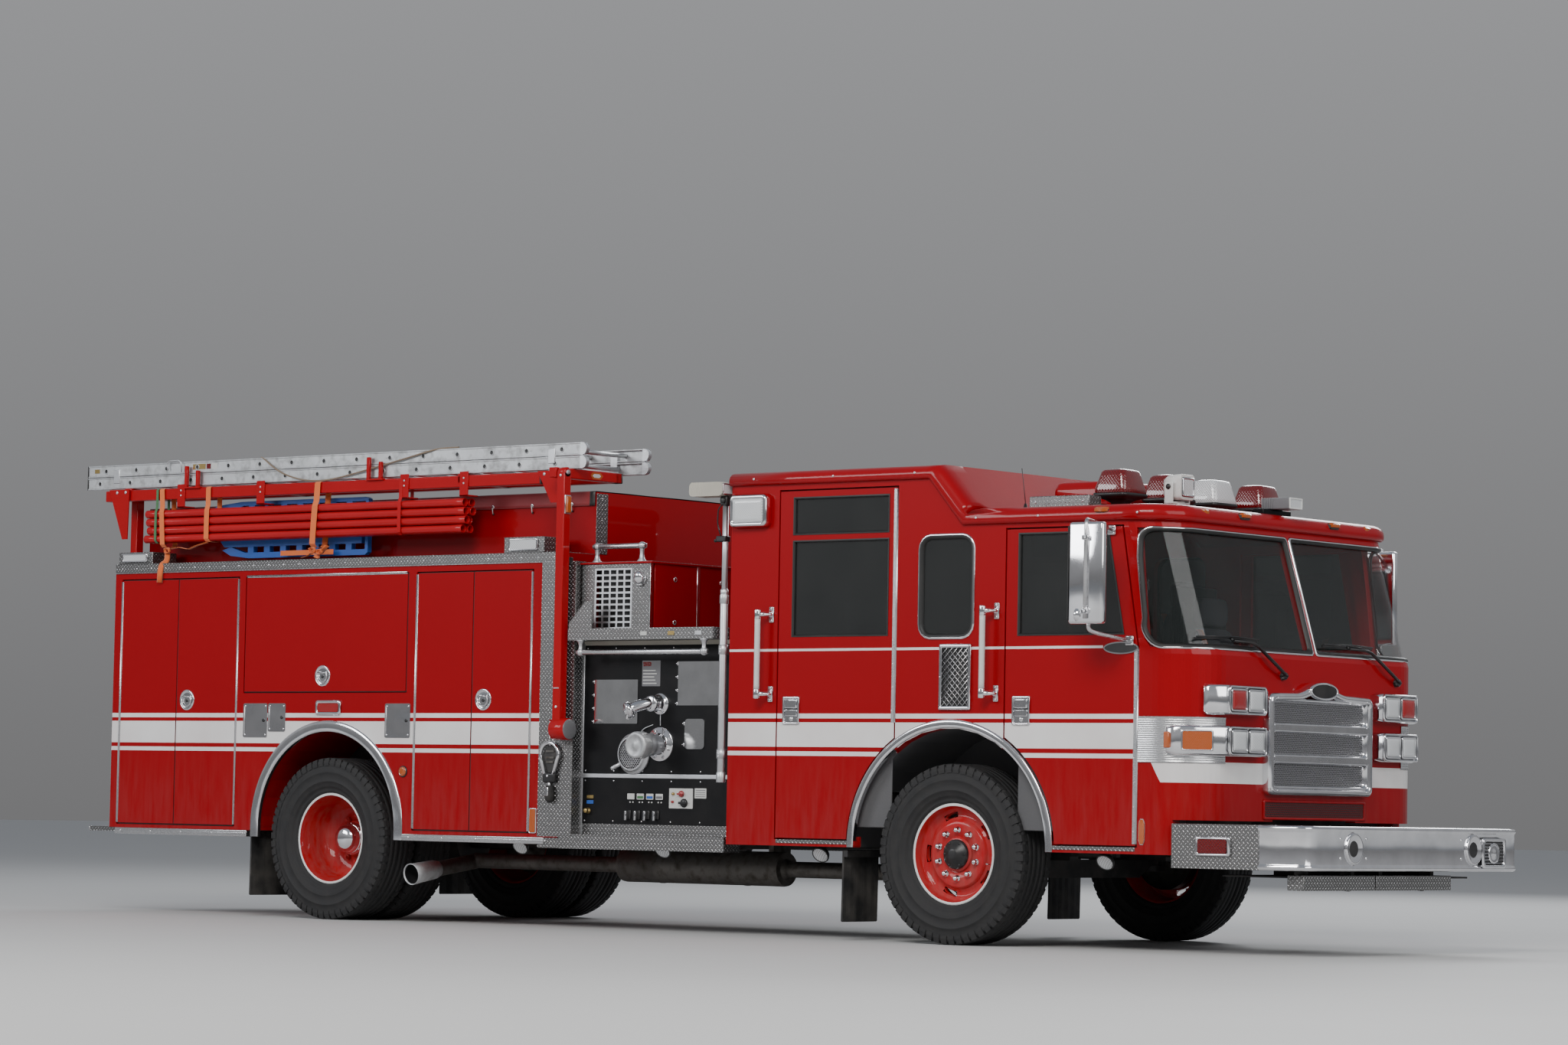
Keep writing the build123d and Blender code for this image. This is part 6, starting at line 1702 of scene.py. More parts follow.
@dataclass
class Bumper:
    """The long front bumper: a bright rolled channel, tread-plate wings and deck, horns and a speaker."""

    rear: float = 4.195
    wing: float = 4.779
    face: float = 5.050
    half: float = 1.113
    low: float = 0.487
    high: float = 0.739

    def channel(self, form: Form) -> None:
        """Makes the bright channel that runs across the front and back round both corners."""
        path = [(self.wing, -1.2440), (self.wing + 0.06, -1.238), (4.960, -1.178), (5.020, -1.148),
                (5.044, -1.110), (5.050, -1.040)]
        path = path + [(5.050, -0.5), (5.050, 0.5)] + [(x, -y) for x, y in path[::-1]]
        section = [(-0.050, 0.739), (-0.010, 0.7395), (0.000, 0.735), (0.0060, 0.727), (0.0050, 0.716),
                   (-0.001, 0.708), (-0.003, 0.702),
                   (-0.003, 0.524), (-0.001, 0.518), (0.0050, 0.510), (0.0060, 0.499), (0.000, 0.491),
                   (-0.010, 0.4870), (-0.050, 0.4872)]
        loops = []
        for i, (x, y) in enumerate(path):
            before, after = Vector(path[max(i - 1, 0)]), Vector(path[min(i + 1, len(path) - 1)])
            along = (after - before).normalized()
            out = Vector((along.y, -along.x))
            if out.x < 0 and abs(y) < 1.2:
                out = -out
            loops.append([Vector((x + out.x * o, y + out.y * o, z)) for o, z in section])
        form.wear(Shop.chrome).loft(loops, closed=False)

    def build(self) -> None:
        """Makes the bumper with everything mounted in it."""
        form = Form("front_bumper_dressed", "chassis", Shop.chrome, "chrome")
        self.channel(form)
        deck = [(self.rear + 0.17, -1.236), (self.wing, -1.236), (4.955, -1.165), (5.010, -1.130),
                (5.035, -1.05), (5.035, 1.05), (5.010, 1.130),
                (4.955, 1.165), (self.wing, 1.236), (self.rear + 0.17, 1.236)]
        form.wear(Shop.tread).slab(GROUND, deck, 0.7330, 0.7385, 0.001)
        for s in (-1, 1):
            form.box((self.rear, s * 1.238, self.low),
                     (self.wing + 0.004, s * 1.2462, self.high - 0.0005), 0.002)
            form.box((self.rear, s * 1.10, self.high - 0.006), (self.wing, s * 1.242, self.high), 0.002)
            form.wear(Shop.chassis).box((self.rear, s * 1.05, self.low),
                                        (self.wing, s * 1.238, self.low + 0.006), 0.001)
            form.wear(Shop.tread)
        for s in (-1, 1):
            plane = flank(Side(s), 1.2462)
            x = 4.482 if s < 0 else -4.482
            outer = rounded((x - 0.118, 0.560), (x + 0.118, 0.668), 0.014, 4)
            inner = rounded((x - 0.096, 0.576), (x + 0.096, 0.652), 0.008, 4)
            form.framed(plane, outer, inner, (0.0, 0.014, 0.006), Shop.deep_red_lens,
                        (0.002, 0.018, 0.006, 2))
            for end in (-1, 1):
                form.wear(Shop.chrome).bolt(tuple(plane.at(x + end * 0.106, 0.614, 0.010)),
                                            (0, s, 0), 0.005, 0.004)
        self.horns(form)
        form.done(["front_bumper"])

    def horns(self, form: Form) -> None:
        """Adds the two horn bells, the siren speaker, the bolts, the steps and the tow hooks."""
        for y in (-0.677, 0.628):
            origin = (self.face - 0.005, y, 0.613)
            # The black disc in each bell's mouth is painted shade that stands for the horn's depth.
            form.turned(origin, X_AXIS,
                        (Shop.chrome, 40, [(0.090, 0.0), (0.089, 0.010), (0.083, 0.016), (0.074, 0.013),
                                           (0.060, 0.007), (0.046, 0.0035)]),
                        (Shop.black, 40, [(0.047, 0.0035), (0.020, 0.0028), (0.0, 0.0028)]))
            form.wear(Shop.chrome)
            for dy in (-0.135, 0.135):
                for z in (0.560, 0.668):
                    form.bolt((self.face - 0.004, y + dy, z), X_AXIS, 0.009, 0.005)
        plane = facing_ahead(self.face, 0.835, 0.594)
        outer, inner = centred(0.130, 0.088, 0.02), centred(0.110, 0.070, 0.02)
        form.wear(Shop.black).slab(plane, outer, -0.006, 0.010, 0.004)
        form.wear(Shop.chrome).ring(plane, outer, inner, 0.0, 0.020, 0.002)
        form.lathe((self.face + 0.010, 0.835, 0.594), X_AXIS,
                   [(0.060, 0.0), (0.062, 0.007), (0.050, 0.008), (0.030, 0.002), (0.016, 0.012),
                    (0, 0.013)], 32)
        for k in range(-3, 4):
            z = 0.594 + k * 0.019
            form.box((self.face + 0.008, 0.835 - 0.105, z - 0.002),
                     (self.face + 0.014, 0.835 + 0.105, z + 0.002), 0.001)
        form.wear(Shop.tread)
        form.box((4.880, -1.100, 0.377), (4.990, -0.352, 0.462), 0.003)
        form.box((4.880, -0.342, 0.377), (4.990, 0.478, 0.462), 0.003)
        form.wear(Shop.chassis)
        for y in (-0.98, -0.5, -0.2, 0.36):
            form.box((4.86, y - 0.02, 0.44), (4.93, y + 0.02, 0.52), 0.002)
        for s in (-1, 1):
            form.box((4.35, s * 0.40 - 0.03, 0.44), (4.84, s * 0.40 + 0.03, 0.50), 0.004)
        form.box((4.30, -0.88, 0.442), (4.86, 0.88, 0.452), 0.002)
        for s in (-1, 1):
            hook = [(4.70, s * 0.40, 0.50), (4.80, s * 0.40, 0.44), (4.85, s * 0.40, 0.40),
                    (4.845, s * 0.40, 0.385), (4.80, s * 0.40, 0.390)]
            form.wear(Shop.iron).tube(hook, 0.018, 10, bend=0.03)


# Body

BODY_FRONT = -0.482
POST_FRONT = -0.366
BODY_REAR = -4.637
REAR_ARCH_X = -2.544
REAR_ARCH_Z = 0.605
REAR_ARCH_R = 0.705


def span(side: Side, x0: float, x1: float) -> tuple[float, float]:
    """A pair of stations as first coordinates on that side's flank, low first.

    Args:
        side: The vehicle's side.
        x0: One station.
        x1: The other.

    Returns:
        The low and the high coordinate.
    """
    a, b = (x0, x1) if side is Side.RIGHT else (-x0, -x1)
    return min(a, b), max(a, b)


def plate(side: Side, x0: float, x1: float, z0: float, z1: float, radius: float = 0.006) -> list[Flat]:
    """A round-cornered rectangle on that side's flank."""
    low, high = span(side, x0, x1)
    return rounded((low, z0), (high, z1), radius, 4)


def arch_ring(form: Form, side: Side, x: float, z: float, radius: float, foot: float,
              deep: float = 1.0) -> None:
    """Rolls the bright half-round moulding over a wheel arch.

    Args:
        form: The piece that gets it.
        side: The vehicle's side.
        x: The arch's middle station.
        z: The height of its middle.
        radius: Its outer radius.
        foot: How low its two legs reach.
        deep: How wide the moulding is against the front one.
    """
    s = side.value
    arch = [(radius * math.cos(t), radius * math.sin(t)) for t in (math.pi * k / 56 for k in range(57))]
    path = [(radius, foot - z)] + arch + [(-radius, foot - z)]
    section = [(0.0, 0.000), (0.001, 0.006), (0.006, 0.0105), (0.016, 0.0125), (0.030, 0.0115),
               (0.042, 0.0125), (0.048, 0.0095), (0.050, 0.003), (0.050, -0.020)]
    loops = []
    for i, (u, v) in enumerate(path):
        length = math.hypot(u, v)
        inward = Vector((-u / length,
                         -v / length)) if 0 < i < len(path) - 1 else Vector((-math.copysign(1, u), 0.0))
        loops.append([Vector((x + u + inward.x * d * deep, s * (HALF_WIDTH + out),
                              z + v + inward.y * d * deep)) for d, out in section])
    form.loft(loops, closed=False)


@dataclass
class BodyDoor:
    """One compartment door's fittings: its piano hinge, its D-ring latch and its seal."""

    side: Side
    name: str
    rear: float
    front: float
    low: float
    high: float
    hinge: str
    ring: tuple[float, float] | None = None

    def latch(self, form: Form) -> None:
        """Adds the round recessed dish with its D-shaped pull."""
        if self.ring is None:
            return
        x, z = self.ring
        s = self.side.value
        face = HALF_WIDTH
        form.wear(Shop.chrome).lathe((x, s * face, z), (0, s, 0), [
            (0.0700, 0.0005), (0.0690, 0.0050), (0.0620, 0.0065), (0.0590, 0.0050), (0.0560, 0.0015),
            (0.0500, 0.0010), (0.0, 0.0010)], 40)
        angles = [math.pi * (1.05 + 1.10 * k / 16) for k in range(17)]
        pull = [(-0.042, 0.020)] + [(0.044 * math.cos(t), 0.040 * math.sin(t) - 0.004) for t in angles]
        pull += [(0.042, 0.020), (-0.042, 0.020)]
        form.wear(Shop.stainless).tube([(x + dx, s * (face + 0.0085), z + dz) for dx, dz in pull], 0.0052, 8)
        form.wear(Shop.black).lathe((x, s * (face + 0.001), z - 0.006), (0, s, 0),
                                    [(0.010, 0), (0.010, 0.004), (0.0, 0.005)], 16)
        for dx in (-0.030, 0.030):
            form.wear(Shop.chrome).box((x + dx - 0.009, s * face, z + 0.014),
                                       (x + dx + 0.009, s * (face + 0.012), z + 0.028), 0.002)

    def piano(self, form: Form) -> None:
        """Adds the long hinge, its knuckle turning on the joint's own axis."""
        s, y = self.side.value, HALF_WIDTH + 0.0035
        if self.hinge == "top":
            z = self.high + 0.004
            form.wear(Shop.stainless).rod((self.rear + 0.01, s * y, z),
                                          (self.front - 0.01, s * y, z), 0.0055, 10)
            form.box((self.rear + 0.01, s * HALF_WIDTH, z - 0.012),
                     (self.front - 0.01, s * (HALF_WIDTH + 0.002), z), 0.0008)
            return
        x, way = (self.rear, 1) if self.hinge == "rear" else (self.front, -1)
        form.wear(Shop.stainless).rod((x, s * HALF_WIDTH, self.low + 0.01),
                                      (x, s * HALF_WIDTH, self.high - 0.01), 0.0065, 12)
        form.box((x + way * 0.002, s * HALF_WIDTH, self.low + 0.01),
                 (x + way * 0.012, s * (HALF_WIDTH + 0.002), self.high - 0.01), 0.0008)

    def build(self) -> None:
        """Makes the door's fittings."""
        form = Form(f"{self.side.word}_{self.name}_fittings", f"{self.side.word}_{self.name}_leaf",
                    Shop.stainless, "bright_steel")
        self.piano(form)
        self.latch(form)
        s = self.side.value
        t = 0.004
        outline = [(self.rear, self.low), (self.front, self.low), (self.front, self.high),
                   (self.rear, self.high)]
        form.wear(Shop.gasket)
        for (x0, z0), (x1, z1) in zip(outline, outline[1:] + outline[:1]):
            lo = (min(x0, x1) + 0.001, s * (HALF_WIDTH - 0.040), min(z0, z1) + 0.001)
            hi = (max(x0, x1) - 0.001, s * (HALF_WIDTH - 0.004), max(z0, z1) - 0.001)
            if (x0 == x1 == self.rear and self.hinge == "rear") or (x0 == x1 == self.front
                    and self.hinge == "front"):
                continue
            if x0 == x1:
                lo, hi = (x0 - (0 if x0 == self.rear else t), lo[1],
                          lo[2]), (x0 + (t if x0 == self.rear else 0), hi[1], hi[2])
            else:
                lo = (lo[0] + (0.012 if self.hinge == "rear" else 0.0), lo[1], lo[2])
                hi = (hi[0] - (0.012 if self.hinge == "front" else 0.0), hi[1], hi[2])
                under, over = (0, t) if z0 == self.low else (t, 0)
                lo, hi = (lo[0], lo[1], z0 - under), (hi[0], hi[1], z0 + over)
            form.box(lo, hi, 0.0)
        form.done()


@dataclass
class BodySide:
    """One flank of the body: arch moulding, rub rail, tread trims, plates and lamps."""

    side: Side

    def plates(self, form: Form) -> None:
        """Adds the hinged polished plates, the marker lamp and the amber lamps set in the flank."""
        s = self.side.value
        plane = flank(self.side, HALF_WIDTH)
        for rear, front, low, high in ((-3.339, -3.110, 1.196, 1.423), (-3.103, -2.938, 1.235, 1.423),
                                       (-2.016, -1.787, 1.198, 1.421)):
            form.wear(Shop.chrome).slab(plane, plate(self.side, rear, front, low, high, 0.012), 0.0,
                                        0.005, 0.0025, 2)
            cx, cz, half_x, half_z = (rear + front) / 2, (low + high) / 2, (front
                - rear) / 2, (high - low) / 2
            for dx in (-1, 1):
                for dz in (-1, 1):
                    at = (cx + dx * (half_x - 0.018), s * (HALF_WIDTH + 0.005), cz + dz * (half_z - 0.018))
                    form.bolt(at, (0, s, 0), 0.006, 0.003)
            form.wear(Shop.stainless).box((rear + 0.004, s * (HALF_WIDTH + 0.004), low + 0.018),
                                          (rear + 0.016, s * (HALF_WIDTH + 0.0085), high - 0.018), 0.002)
            form.wear(Shop.black).lathe((front - 0.034, s * (HALF_WIDTH + 0.005), cz), (0, s, 0),
                                        [(0.011, 0.0), (0.011, 0.004), (0.0, 0.005)], 16)
        form.framed(plane, plate(self.side, -2.655, -2.422, 1.345, 1.443, 0.020),
                    plate(self.side, -2.634, -2.443, 1.366, 1.422, 0.014),
                    (0.0, 0.010, 0.004), Shop.red_lens, (0.0, 0.0115, 0.005, 3))
        form.turned((-1.843, s * HALF_WIDTH, 0.979), (0, s, 0),
                    (Shop.black, 28, [(0.037, 0), (0.037, 0.005), (0.032, 0.007), (0.0, 0.007)]),
                    (Shop.amber_lens, 28, [(0.031, 0.005), (0.030, 0.011), (0.018, 0.0125), (0, 0.0125)]))
        form.framed(plane, plate(self.side, -0.725, -0.660, 0.598, 0.758, 0.010),
                    plate(self.side, -0.717, -0.668, 0.606, 0.750, 0.008),
                    (0.0, 0.007, 0.002), Shop.amber_lens, (0.0, 0.008, 0.003, 2))

    def tread(self, form: Form) -> None:
        """Adds the tread-plate post at the front, the top trim and the stepped rub rail."""
        s = self.side.value
        form.wear(Shop.tread)
        form.box((-0.655, s * (HALF_WIDTH - 0.004), 0.580),
                 (POST_FRONT, s * (HALF_WIDTH + 0.003), 2.320), 0.001)
        form.box((BODY_FRONT - 0.003, s * 0.98, 0.580),
                 (BODY_FRONT + 0.003, s * (HALF_WIDTH - 0.004), 2.320), 0.001)
        form.box((POST_FRONT - 0.004, s * 1.1525, 0.580),
                 (POST_FRONT, s * (HALF_WIDTH - 0.004), 2.320), 0.001)
        for z in (0.580, 2.316):
            form.box((BODY_FRONT + 0.003, s * 1.1525, z),
                     (POST_FRONT - 0.004, s * (HALF_WIDTH - 0.004), z + 0.004), 0.0)
        form.box((BODY_REAR + 0.001, s * (HALF_WIDTH - 0.006), 2.319),
                 (BODY_FRONT, s * (HALF_WIDTH + 0.005), 2.379), 0.002)
        form.box((BODY_REAR + 0.001, s * 0.948, 2.3785),
                 (BODY_FRONT, s * (HALF_WIDTH + 0.005), 2.3825), 0.001)
        form.wear(Shop.stainless).box((BODY_REAR + 0.001, s * HALF_WIDTH, 2.3160),
                                      (BODY_FRONT, s * (HALF_WIDTH + 0.0085), 2.3205), 0.001)
        for k in range(29):
            x = BODY_REAR + 0.07 + 0.1435 * k
            form.wear(Shop.chrome).bolt((x, s * (HALF_WIDTH + 0.005), 2.350), (0, s, 0), 0.006, 0.003)
        for low, high in ((BODY_REAR + 0.062, -3.281), (-1.836, -0.595)):
            form.wear(Shop.stainless).box((low, s * (HALF_WIDTH - 0.049), 0.531),
                                          (high, s * (HALF_WIDTH + 0.0095), 0.5745), 0.005, 2)
            form.box((low, s * (HALF_WIDTH + 0.006), 0.546),
                     (high, s * (HALF_WIDTH + 0.0125), 0.5595), 0.003, 2)
            for k in range(int((high - low) / 0.3) + 1):
                form.wear(Shop.chrome).bolt((low + 0.06 + 0.3 * k, s * (HALF_WIDTH + 0.0115), 0.553),
                                            (0, s, 0), 0.007, 0.003)

    def boxes(self, form: Form) -> None:
        """Adds the two lamp boxes that stand on the body's top."""
        s = self.side.value
        for rear, front, top in ((BODY_REAR, BODY_REAR + 0.340, 2.465), (-1.015, -0.665, 2.485)):
            form.wear(Shop.tread).box((rear + 0.004, s * 1.000, 2.3825), (front, s * 1.2245, top), 0.004, 2)
            plane = flank(self.side, 1.2245)
            mid = (rear + front) / 2
            outer = plate(self.side, mid - 0.125, mid + 0.125, 2.396, top - 0.010, 0.012)
            inner = plate(self.side, mid - 0.112, mid + 0.112, 2.406, top - 0.020, 0.008)
            form.framed(plane, outer, inner, (0.0, 0.010, 0.003), Shop.clear_lens, (0.0, 0.009, 0.003, 2))

    def build(self) -> None:
        """Makes the flank's trims."""
        w, s = self.side.word, self.side.value
        form = Form(f"{w}_body_trims", "chassis", Shop.chrome, "bright_steel")
        arch_ring(form, self.side, REAR_ARCH_X, REAR_ARCH_Z, REAR_ARCH_R, 0.534, 1.5)
        self.plates(form)
        self.tread(form)
        self.boxes(form)
        if self.side is Side.RIGHT:
            tail = [(BODY_REAR - 0.198, -1.238), (BODY_REAR + 0.058, -1.238), (BODY_REAR + 0.058, 1.238),
                    (BODY_REAR - 0.198, 1.238)]
            form.wear(Shop.tread).slab(GROUND, tail, 0.5475, 0.5735, 0.004, 2)
            form.wear(Shop.stainless)
            form.tube([(BODY_REAR - 0.196, -1.236, 0.5605), (BODY_REAR - 0.196, 1.236, 0.5605)], 0.0118, 12)
        form.done(["body_trim"] if self.side is Side.RIGHT else [])
        # Painted shade: a thin black sheet deep inside the rear wheel arch.
        arch_shade_sheet = Form(f"{w}_shadow_box", "chassis", Shop.chassis, "black_plastic")
        arch_shade_sheet.box((REAR_ARCH_X - 0.640, s * 0.566, 0.58), (REAR_ARCH_X + 0.640, s * 0.575, 1.20), 0.001)
        arch_shade_sheet.done()


@dataclass
class SpannerHolder:
    """The hydrant spanner that hangs in its clip on the tread plate under the rack's pivot."""

    x: float = -0.540
    top: float = 1.172

    def pear(self, wide: float, narrow: float, high: float, low: float) -> list[Flat]:
        """A pear-shaped outline, anticlockwise, round at its top.

        Args:
            wide: Half its width at the shoulder.
            narrow: Half its width at the foot.
            high: The height of its top.
            low: The height of its foot.

        Returns:
            Its points on the right flank.
        """
        return [(self.x - narrow, low), (self.x + narrow, low)] + arc(self.x, high - wide, wide, -6, 186, 20)

    def build(self) -> None:
        """Makes the spanner, its clip and its grip."""
        form = Form("spanner_holder", "chassis", Shop.chassis, "black_plastic")
        plane = flank(Side.RIGHT, HALF_WIDTH + 0.003)
        form.slab(plane, self.pear(0.064, 0.026, self.top - 0.022, 0.972), 0.0, 0.012, 0.003, 2)
        for z, wide in ((1.044, 0.030), (1.072, 0.036), (1.112, 0.034)):
            form.wear(Shop.iron).slab(plane,
                                      rounded((self.x - wide, z), (self.x + wide, z + 0.013), 0.006, 3),
                                      0.012, 0.019, 0.002)
        loop = self.pear(0.076, 0.036, self.top, 0.975)
        track = [(u, -(HALF_WIDTH + 0.026), v) for u, v in loop[1:] + loop[:1]]
        form.wear(Shop.chrome).tube(track, 0.0125, 12)
        form.lathe((self.x, -(HALF_WIDTH + 0.003), self.top - 0.004), RIGHTWARD,
                   [(0.016, 0.0), (0.016, 0.020), (0.010, 0.026), (0.0, 0.027)], 18)
        form.wear(Shop.black).box((self.x - 0.052, -(HALF_WIDTH + 0.002), 0.918),
                                  (self.x + 0.052, -(HALF_WIDTH + 0.036), 0.984), 0.016, 3)
        form.wear(Shop.chrome).bolt((self.x - 0.006, -(HALF_WIDTH + 0.036), 0.962), RIGHTWARD, 0.009, 0.005)
        form.wear(Shop.stainless).rod((self.x, -(HALF_WIDTH + 0.020), 0.935),
                                      (self.x, -(HALF_WIDTH + 0.020), 0.870), 0.011, 12)
        grip = [(0.900, 0.020), (0.892, 0.028), (0.840, 0.031), (0.812, 0.027), (0.796, 0.014)]
        form.wear(Shop.rubber).lathe((self.x + 0.004, -(HALF_WIDTH + 0.022), 0.0), Z_AXIS,
                                     [(0.0, 0.901)] + [(r, z) for z, r in grip] + [(0.0, 0.792)], 18)
        form.wear(Shop.chrome).box((self.x - 0.010, -(HALF_WIDTH + 0.040), 0.836),
                                   (self.x + 0.018, -(HALF_WIDTH + 0.0555), 0.893), 0.004)
        form.done()


def body_doors() -> list[BodyDoor]:
    """Both sides' compartment doors, by station, height, hinge edge and latch."""
    rows = (
        ("front_door_a", -1.248, -0.733, 0.600, 2.270, "front", (-1.145, 1.446)),
        ("front_door_b", -1.753, -1.248, 0.600, 2.270, "rear", None),
        ("lift_door", -3.344, -1.834, 1.497, 2.274, "top", (-2.602, 1.605)),
        ("rear_door_a", -4.001, -3.413, 0.600, 2.270, "front", (-3.895, 1.447)),
        ("rear_door_b", -4.565, -4.001, 0.600, 2.270, "rear", None),
    )
    return [BodyDoor(side, *row) for side in Side for row in rows]


# Pump

PUMP_Y = 1.150
PUMP_REAR = -0.472


def ball(form: Form, at: Vector, radius: float) -> None:
    """Adds a small round knob."""
    angles = [math.pi * (k / 8 - 0.5) for k in range(9)]
    form.lathe(tuple(at), Z_AXIS, [(radius * math.cos(t), radius * math.sin(t)) for t in angles], 14)


def grab(form: Form, start: Point, end: Point, foot: Point, radius: float = 0.016,
         inset: float = 0.03) -> None:
    """Adds a knurled grab rail on two cast stanchions.

    Args:
        form: The piece that gets it.
        start: One end of the rail.
        end: Its other end.
        foot: The way and distance from the rail to what it is bolted to.
        radius: The rail's radius.
        inset: How far in from each end its stanchions stand.
    """
    a, b, down = Vector(start), Vector(end), Vector(foot)
    along = (b - a).normalized()
    form.wear(Shop.stainless).rod(tuple(a), tuple(b), radius, 18, 0.004)
    for at in (a + along * inset, b - along * inset):
        form.wear(Shop.satin)
        ball(form, at, radius * 1.55)
        reach = down.length
        form.lathe(tuple(at), tuple(down.normalized()),
                   [(radius * 1.25, 0.0), (radius * 0.85, radius * 1.6), (radius * 0.8, reach * 0.55),
                    (radius * 1.1, reach * 0.8),
                    (radius * 1.8, reach * 0.93), (radius * 1.9, reach),
                    (0, reach)], 16)


@dataclass
class PumpPanel:
    """One side's pump panel: black plates, inlet, discharge, strainer, gauge plates and levers."""

    side: Side

    def panels(self) -> None:
        """Makes the panel plates, their trims, the shelf and the running board."""
        side, s, w = self.side, self.side.value, self.side.word
        form = Form(f"{w}_pump_panel", "chassis", Shop.panel_black, "black_plastic")
        plane = flank(side, PUMP_Y)
        for low, high in ((0.668, 0.956), (0.982, 1.788)):
            form.wear(Shop.panel_black).slab(plane, plate(side, -0.356, 0.872, low, high, 0.004),
                                             0.0, 0.004, 0.001)
            for x in [-0.335 + 0.238 * k for k in range(6)]:
                for z in (low + 0.018, high - 0.018):
                    form.wear(Shop.chrome).bolt((x, s * (PUMP_Y + 0.004), z), (0, s, 0), 0.0055, 0.003)
        form.wear(Shop.satin)
        form.box((-0.376, s * PUMP_Y, 0.600), (-0.354, s * (PUMP_Y + 0.010), 1.800), 0.002)
        form.box((-0.376, s * PUMP_Y, 0.955), (0.884, s * (PUMP_Y + 0.012), 0.983), 0.004, 2)
        form.box((0.870, s * PUMP_Y, 0.600), (0.886, s * (PUMP_Y + 0.008), 1.800), 0.002)
        form.wear(Shop.beige).box((-0.376, s * PUMP_Y, 1.788), (0.884, s * (PUMP_Y + 0.006), 1.8155), 0.001)
        form.wear(Shop.tread).box((-0.354, s * PUMP_Y, 0.601), (0.870, s * (PUMP_Y + 0.003), 0.667), 0.001)
        form.box((-0.470, s * (PUMP_Y - 0.06), 0.508), (0.886, s * 1.2445, 0.5925), 0.006, 2)
        form.box((-0.655, s * 1.05, 0.508), (-0.470, s * 1.2445, 0.5735), 0.004)
        form.box((-0.376, s * 1.10, 1.817), (0.814, s * 1.2995, 1.8885), 0.004)
        outline = [(-0.372, 1.888), (-0.180, 1.888), (-0.180, 2.060), (-0.236, 2.060), (-0.372, 1.925)]
        if side is Side.LEFT:
            outline = [(-x, z) for x, z in outline[::-1]]
        form.slab(flank(side, 1.2955), outline, 0.0, 0.0035, 0.001)
        for x, tint in ((0.255, Shop.plate_white), (0.480, Shop.brass), (0.700, Shop.satin)):
            form.wear(tint).box((x - 0.026, s * 1.2995, 1.841), (x + 0.026, s * 1.3035, 1.866), 0.001)
        form.done()

    def outlets(self) -> None:
        """Makes the capped inlet, the discharge elbow, the strainer and the grab rails."""
        side, s, w = self.side, self.side.value, self.side.word
        form = Form(f"{w}_pump_outlets", "chassis", Shop.chrome, "chrome")
        face = PUMP_Y + 0.004
        out = (0, s, -0.05)
        form.lathe((0.285, s * face, 1.169), (0, s, 0),
                   [(0.108, 0), (0.108, 0.008), (0.103, 0.013), (0.070, 0.014), (0.066, 0.020),
                    (0.060, 0.040), (0.060, 0.05)], 40)
        for t in bearings(8, 0.5):
            form.nut((0.285 + 0.088 * math.cos(t), s * (face + 0.012), 1.169 + 0.088 * math.sin(t)),
                     (0, s, 0), 0.010, 0.008)
        form.wear(Shop.satin).lathe((0.285, s * (face + 0.02), 1.168), out, [
            (0.058, 0.0), (0.062, 0.004), (0.062, 0.060), (0.070, 0.070), (0.070, 0.110), (0.066, 0.118),
            (0.066, 0.150)], 36)
        cap = Vector((0.285, s * (face + 0.16), 1.161))
        form.wear(Shop.weathered).lathe(tuple(cap), out, [
            (0.064, 0.0), (0.082, 0.004), (0.084, 0.012), (0.084, 0.070), (0.080, 0.080), (0.066, 0.086),
            (0.060, 0.080), (0.030, 0.078), (0.018, 0.084), (0.0, 0.085)], 36)
        ear = Vector(out).normalized()
        for k in range(3):
            t = math.pi * (0.3 + k * 2 / 3)
            spot = cap + ear * 0.045 + Vector((0.082 * math.cos(t), 0, 0.082 * math.sin(t)))
            form.wear(Shop.weathered).rod(tuple(spot - ear * 0.022), tuple(spot + ear * 0.022),
                                          0.0085, 10, 0.003)
        form.wear(Shop.chrome).lathe((0.280, s * face, 1.420), (0, s, 0),
                                     [(0.068, 0), (0.068, 0.006), (0.063, 0.011), (0.046, 0.012),
                                      (0.044, 0.030), (0.044, 0.075), (0.050, 0.080), (0.050, 0.098),
                                      (0.040, 0.105), (0, 0.105)], 36)
        bend = [(0.280, s * (face + 0.05), 1.420), (0.262, s * (face + 0.110), 1.420),
                (0.225, s * (face + 0.165), 1.398), (0.196, s * (face + 0.205), 1.374)]
        form.tube(bend, 0.036, 24, bend=0.05)
        tip, way = Vector(bend[-1]), (Vector(bend[-1]) - Vector(bend[-2])).normalized()
        form.lathe(tuple(tip - way * 0.02), tuple(way),
                   [(0.036, 0), (0.052, 0.004), (0.053, 0.030), (0.046, 0.036), (0.040, 0.038),
                    (0.022, 0.040), (0.020, 0.050), (0.0, 0.052)], 32)
        upper, lower = tip + Vector((0, 0, 0.050)), tip + way * 0.01 + Vector((0, 0, -0.052))
        form.rod(tuple(upper), tuple(lower), 0.008, 12, 0.002)
        form.wear(Shop.satin).lathe((0.071, s * face, 1.108), (0, s, 0),
                                    [(0.130, 0), (0.130, 0.010), (0.124, 0.018), (0.112, 0.020),
                                     (0.110, 0.034), (0.104, 0.040), (0.098, 0.039)], 48)
        form.wear(Shop.grille_mesh).lathe((0.071, s * (face + 0.030), 1.108), (0, s, 0),
                                          [(0.102, 0.0), (0.098, 0.007), (0.070, 0.012), (0.0, 0.014)], 48)
        lever = [(-0.020, s * (face + 0.012), 1.050), (-0.062, s * (face + 0.035), 1.024),
                 (-0.082, s * (face + 0.040), 1.012)]
        form.wear(Shop.satin).tube(lever, 0.013, 12, bend=0.02)
        chain = [(0.225, s * (face + 0.004), 1.290), (0.150, s * (face + 0.012), 1.265),
                 (0.120, s * (face + 0.020), 1.215)]
        form.tube(chain, 0.003, 6, bend=0.05)
